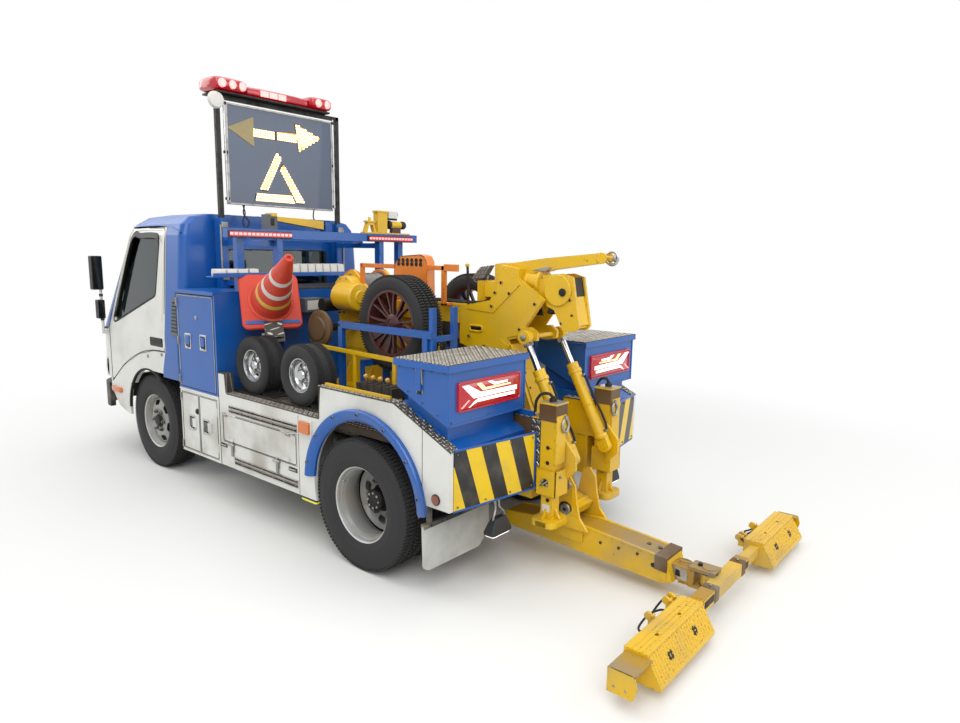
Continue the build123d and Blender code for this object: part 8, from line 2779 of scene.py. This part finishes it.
    def shoe(self, side: str, hand: int, outer: float) -> None:
        """Adds the folded shoe at the arm's end, and the tie straps looped before the grid.

        Args:
            side: The side's name.
            hand: 1 on the left and -1 on the right.
            outer: The grid's outer edge.
        """
        tip = 1040 if side == "left" else 1100
        form = Form(YELLOW)
        face = rounded(((-1588, 66), (-1588, 166), (-1704, 166), (-1716, 120), (-1700, 66)), 14, 4)
        form.slab(face, (hand * (tip - 6), hand * (tip + 0.4)))
        form.block((-1594, -1588), (hand * outer, hand * tip), (66, 160))
        form.use(RUBBED).slab(((-1588, 158), (-1588, 166), (-1704, 166), (-1704, 158)), (hand * outer, hand * tip))
        form.use(ZINC)
        for x in (-1618, -1668):
            form.rod((x, hand * (tip - 3), 96), (x, hand * (tip + 0.5), 96), 7, sides=6)
        form.use(YELLOW)
        for x in (-1612, -1634, -1656):
            form.block((x - 3, x + 3), (hand * (outer - 546), hand * (outer - 4)), (177, 180.5))
        form.piece(f"arm_shoe_{side}", f"crossbar_arm_{side}", "yellow_paint", bevel=1)
        strap = Form(HOSE)
        start = hand * (outer - 550)
        for line in (((-1578, 20, 150), (-1548, 26, 168), (-1520, 60, 160), (-1508, 130, 128), (-1520, 200, 118),
                      (-1552, 240, 140), (-1580, 246, 150)),
                     ((-1578, 120, 140), (-1546, 140, 150), (-1516, 200, 140), (-1512, 280, 120), (-1540, 330, 128),
                      (-1580, 338, 146))):
            strap.pipe([(x, start + hand * dy, z) for x, dy, z in line], 5, 12, 5)
        strap.use(YELLOW)
        for dy in (24, 70, 250):
            strap.block((-1580, -1540), (start + hand * dy, start + hand * (dy + 8)), (120, 174))
            strap.lathe(((5, -9), (18, -8), (18, 8), (5, 9)), (-1540, start + hand * (dy + 4), 168), (0, 1, 0), 20)
            strap.rod((-1560, start + hand * (dy - 12), 176), (-1560, start + hand * (dy + 20), 176), 6, sides=12)
        strap.piece(f"tie_straps_{side}", f"crossbar_arm_{side}", "yellow_paint", bevel=0)


@dataclass(frozen=True)
class Floor(Finish):
    """A pale matt floor that fades into the white far from the truck."""

    def pattern(self, tree: bpy.types.NodeTree, shader: bpy.types.Node, place: bpy.types.NodeSocket) -> None:
        """Mixes the floor into plain white light with the distance, for what the camera, gloss and glass see."""
        shader.inputs["Specular IOR Level"].default_value = 0.15
        far = add(tree, "ShaderNodeVectorMath", {"operation": "LENGTH"}, {0: place}).outputs["Value"]
        path = add(tree, "ShaderNodeLightPath").outputs
        seen = sums(tree, "MINIMUM", sums(tree, "ADD", sums(tree, "ADD", path["Is Camera Ray"], path["Is Glossy Ray"]),
                                          path["Is Transmission Ray"]), 1.0)
        share = sums(tree, "MULTIPLY", ramp(tree, far, 2.2, 6.0), seen)
        light = add(tree, "ShaderNodeEmission", inputs={"Color": (1.0, 1.0, 1.0, 1.0), "Strength": 1.0})
        mixed = add(tree, "ShaderNodeMixShader", inputs={0: share, 1: shader.outputs[0], 2: light.outputs[0]})
        output = next(node for node in tree.nodes if node.type == "OUTPUT_MATERIAL")
        tree.links.new(mixed.outputs[0], output.inputs["Surface"])


@dataclass
class Studio:
    """The pale floor, the soft lamps, the plain world and the camera."""

    place: Point = (-3.679, 3.205, 1.727)
    yaw: float = -50.231
    pitch: float = -9.089
    roll: float = 0.916
    lens: float = 25.473

    def build(self) -> None:
        """Sets the whole studio up."""
        bpy.context.scene.view_settings.view_transform = "Standard"
        self.camera()
        self.floor()
        self.world()
        for name, spot, size, power in (("key", (-5.0, 5.5, 6.5), 6.0, 420.0), ("fill", (-6.5, -3.0, 3.5), 5.0, 150.0),
                                        ("front", (6.0, 3.0, 5.0), 6.0, 200.0), ("top", (-0.5, 0.0, 8.0), 7.0, 260.0)):
            self.lamp(name, spot, size, power)

    def camera(self) -> None:
        """Places the camera where the photograph was taken from."""
        yaw, pitch, roll = (math.radians(v) for v in (self.yaw, self.pitch, self.roll))
        ahead = Vector((math.cos(pitch) * math.cos(yaw), math.cos(pitch) * math.sin(yaw), math.sin(pitch)))
        right = ahead.cross(Vector((0, 0, 1))).normalized()
        up = right.cross(ahead)
        side = right * math.cos(roll) + up * math.sin(roll)
        top = up * math.cos(roll) - right * math.sin(roll)
        data = bpy.data.cameras.new("camera")
        data.sensor_width, data.lens, data.sensor_fit = 36.0, self.lens, "HORIZONTAL"
        data.clip_start, data.clip_end = 0.05, 200.0
        holder = bpy.data.objects.new("camera", data)
        bpy.context.scene.collection.objects.link(holder)
        turn = Matrix((side, top, -ahead)).transposed().to_4x4()
        holder.matrix_world = Matrix.Translation(self.place) @ turn
        bpy.context.scene.camera = holder

    def floor(self) -> None:
        """Lays the pale floor."""
        form = Form(Floor("studio_floor", "#e4e4e1", roughness=0.9))
        form.rows([[(x, y, -0.002) for x in (-60, 60)] for y in (-60, 60)])
        holder = form.object("studio_floor", place=Matrix.Identity(4))

    def world(self) -> None:
        """Gives the world a white face to the camera, to gloss and through glass, and a soft grey light."""
        world = bpy.data.worlds.new("studio")
        bpy.context.scene.world = world
        world.use_nodes = True
        tree = world.node_tree
        tree.nodes.clear()
        path = add(tree, "ShaderNodeLightPath").outputs
        seen = sums(tree, "MAXIMUM", path["Is Camera Ray"], sums(tree, "MAXIMUM", path["Is Glossy Ray"],
                                                                 path["Is Transmission Ray"]))
        share = sums(tree, "MINIMUM", seen, 1.0)
        light = add(tree, "ShaderNodeBackground", inputs={"Color": linear("#f4f5f7"), "Strength": 0.55})
        white = add(tree, "ShaderNodeBackground", inputs={"Color": (1.0, 1.0, 1.0, 1.0), "Strength": 1.0})
        mixed = add(tree, "ShaderNodeMixShader", inputs={0: share, 1: light.outputs[0], 2: white.outputs[0]})
        add(tree, "ShaderNodeOutputWorld", inputs={0: mixed.outputs[0]})

    def lamp(self, name: str, spot: Point, size: float, power: float) -> None:
        """Hangs one square soft lamp that faces the truck's middle.

        Args:
            name: Its name.
            spot: Its place in metres.
            size: The length of its sides in metres.
            power: Its power in watts.
        """
        data = bpy.data.lights.new(name, "AREA")
        data.shape, data.size, data.energy = "SQUARE", size, power
        holder = bpy.data.objects.new(name, data)
        bpy.context.scene.collection.objects.link(holder)
        run = Vector((-0.3, 0, 0.9)) - Vector(spot)
        holder.matrix_world = Matrix.Translation(spot) @ run.to_track_quat("-Z", "Y").to_matrix().to_4x4()


def main() -> None:
    """Builds the whole truck in order."""
    logging.basicConfig(level=logging.INFO, format="%(message)s")
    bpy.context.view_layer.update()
    for part in (Studio(), Chassis(), Cab(), Seats(), LoadBed(), Lockers(), TailBoxes(), Headboard(), ArrowSign(),
                 RoadWheels(),
                 StowedWheels(), TrafficCone(), Lift(), Towers(), Underlift()):
        part.build()
        LOG.info("%s done", type(part).__name__)
    bpy.context.view_layer.update()


if __name__ == "__main__":
    main()
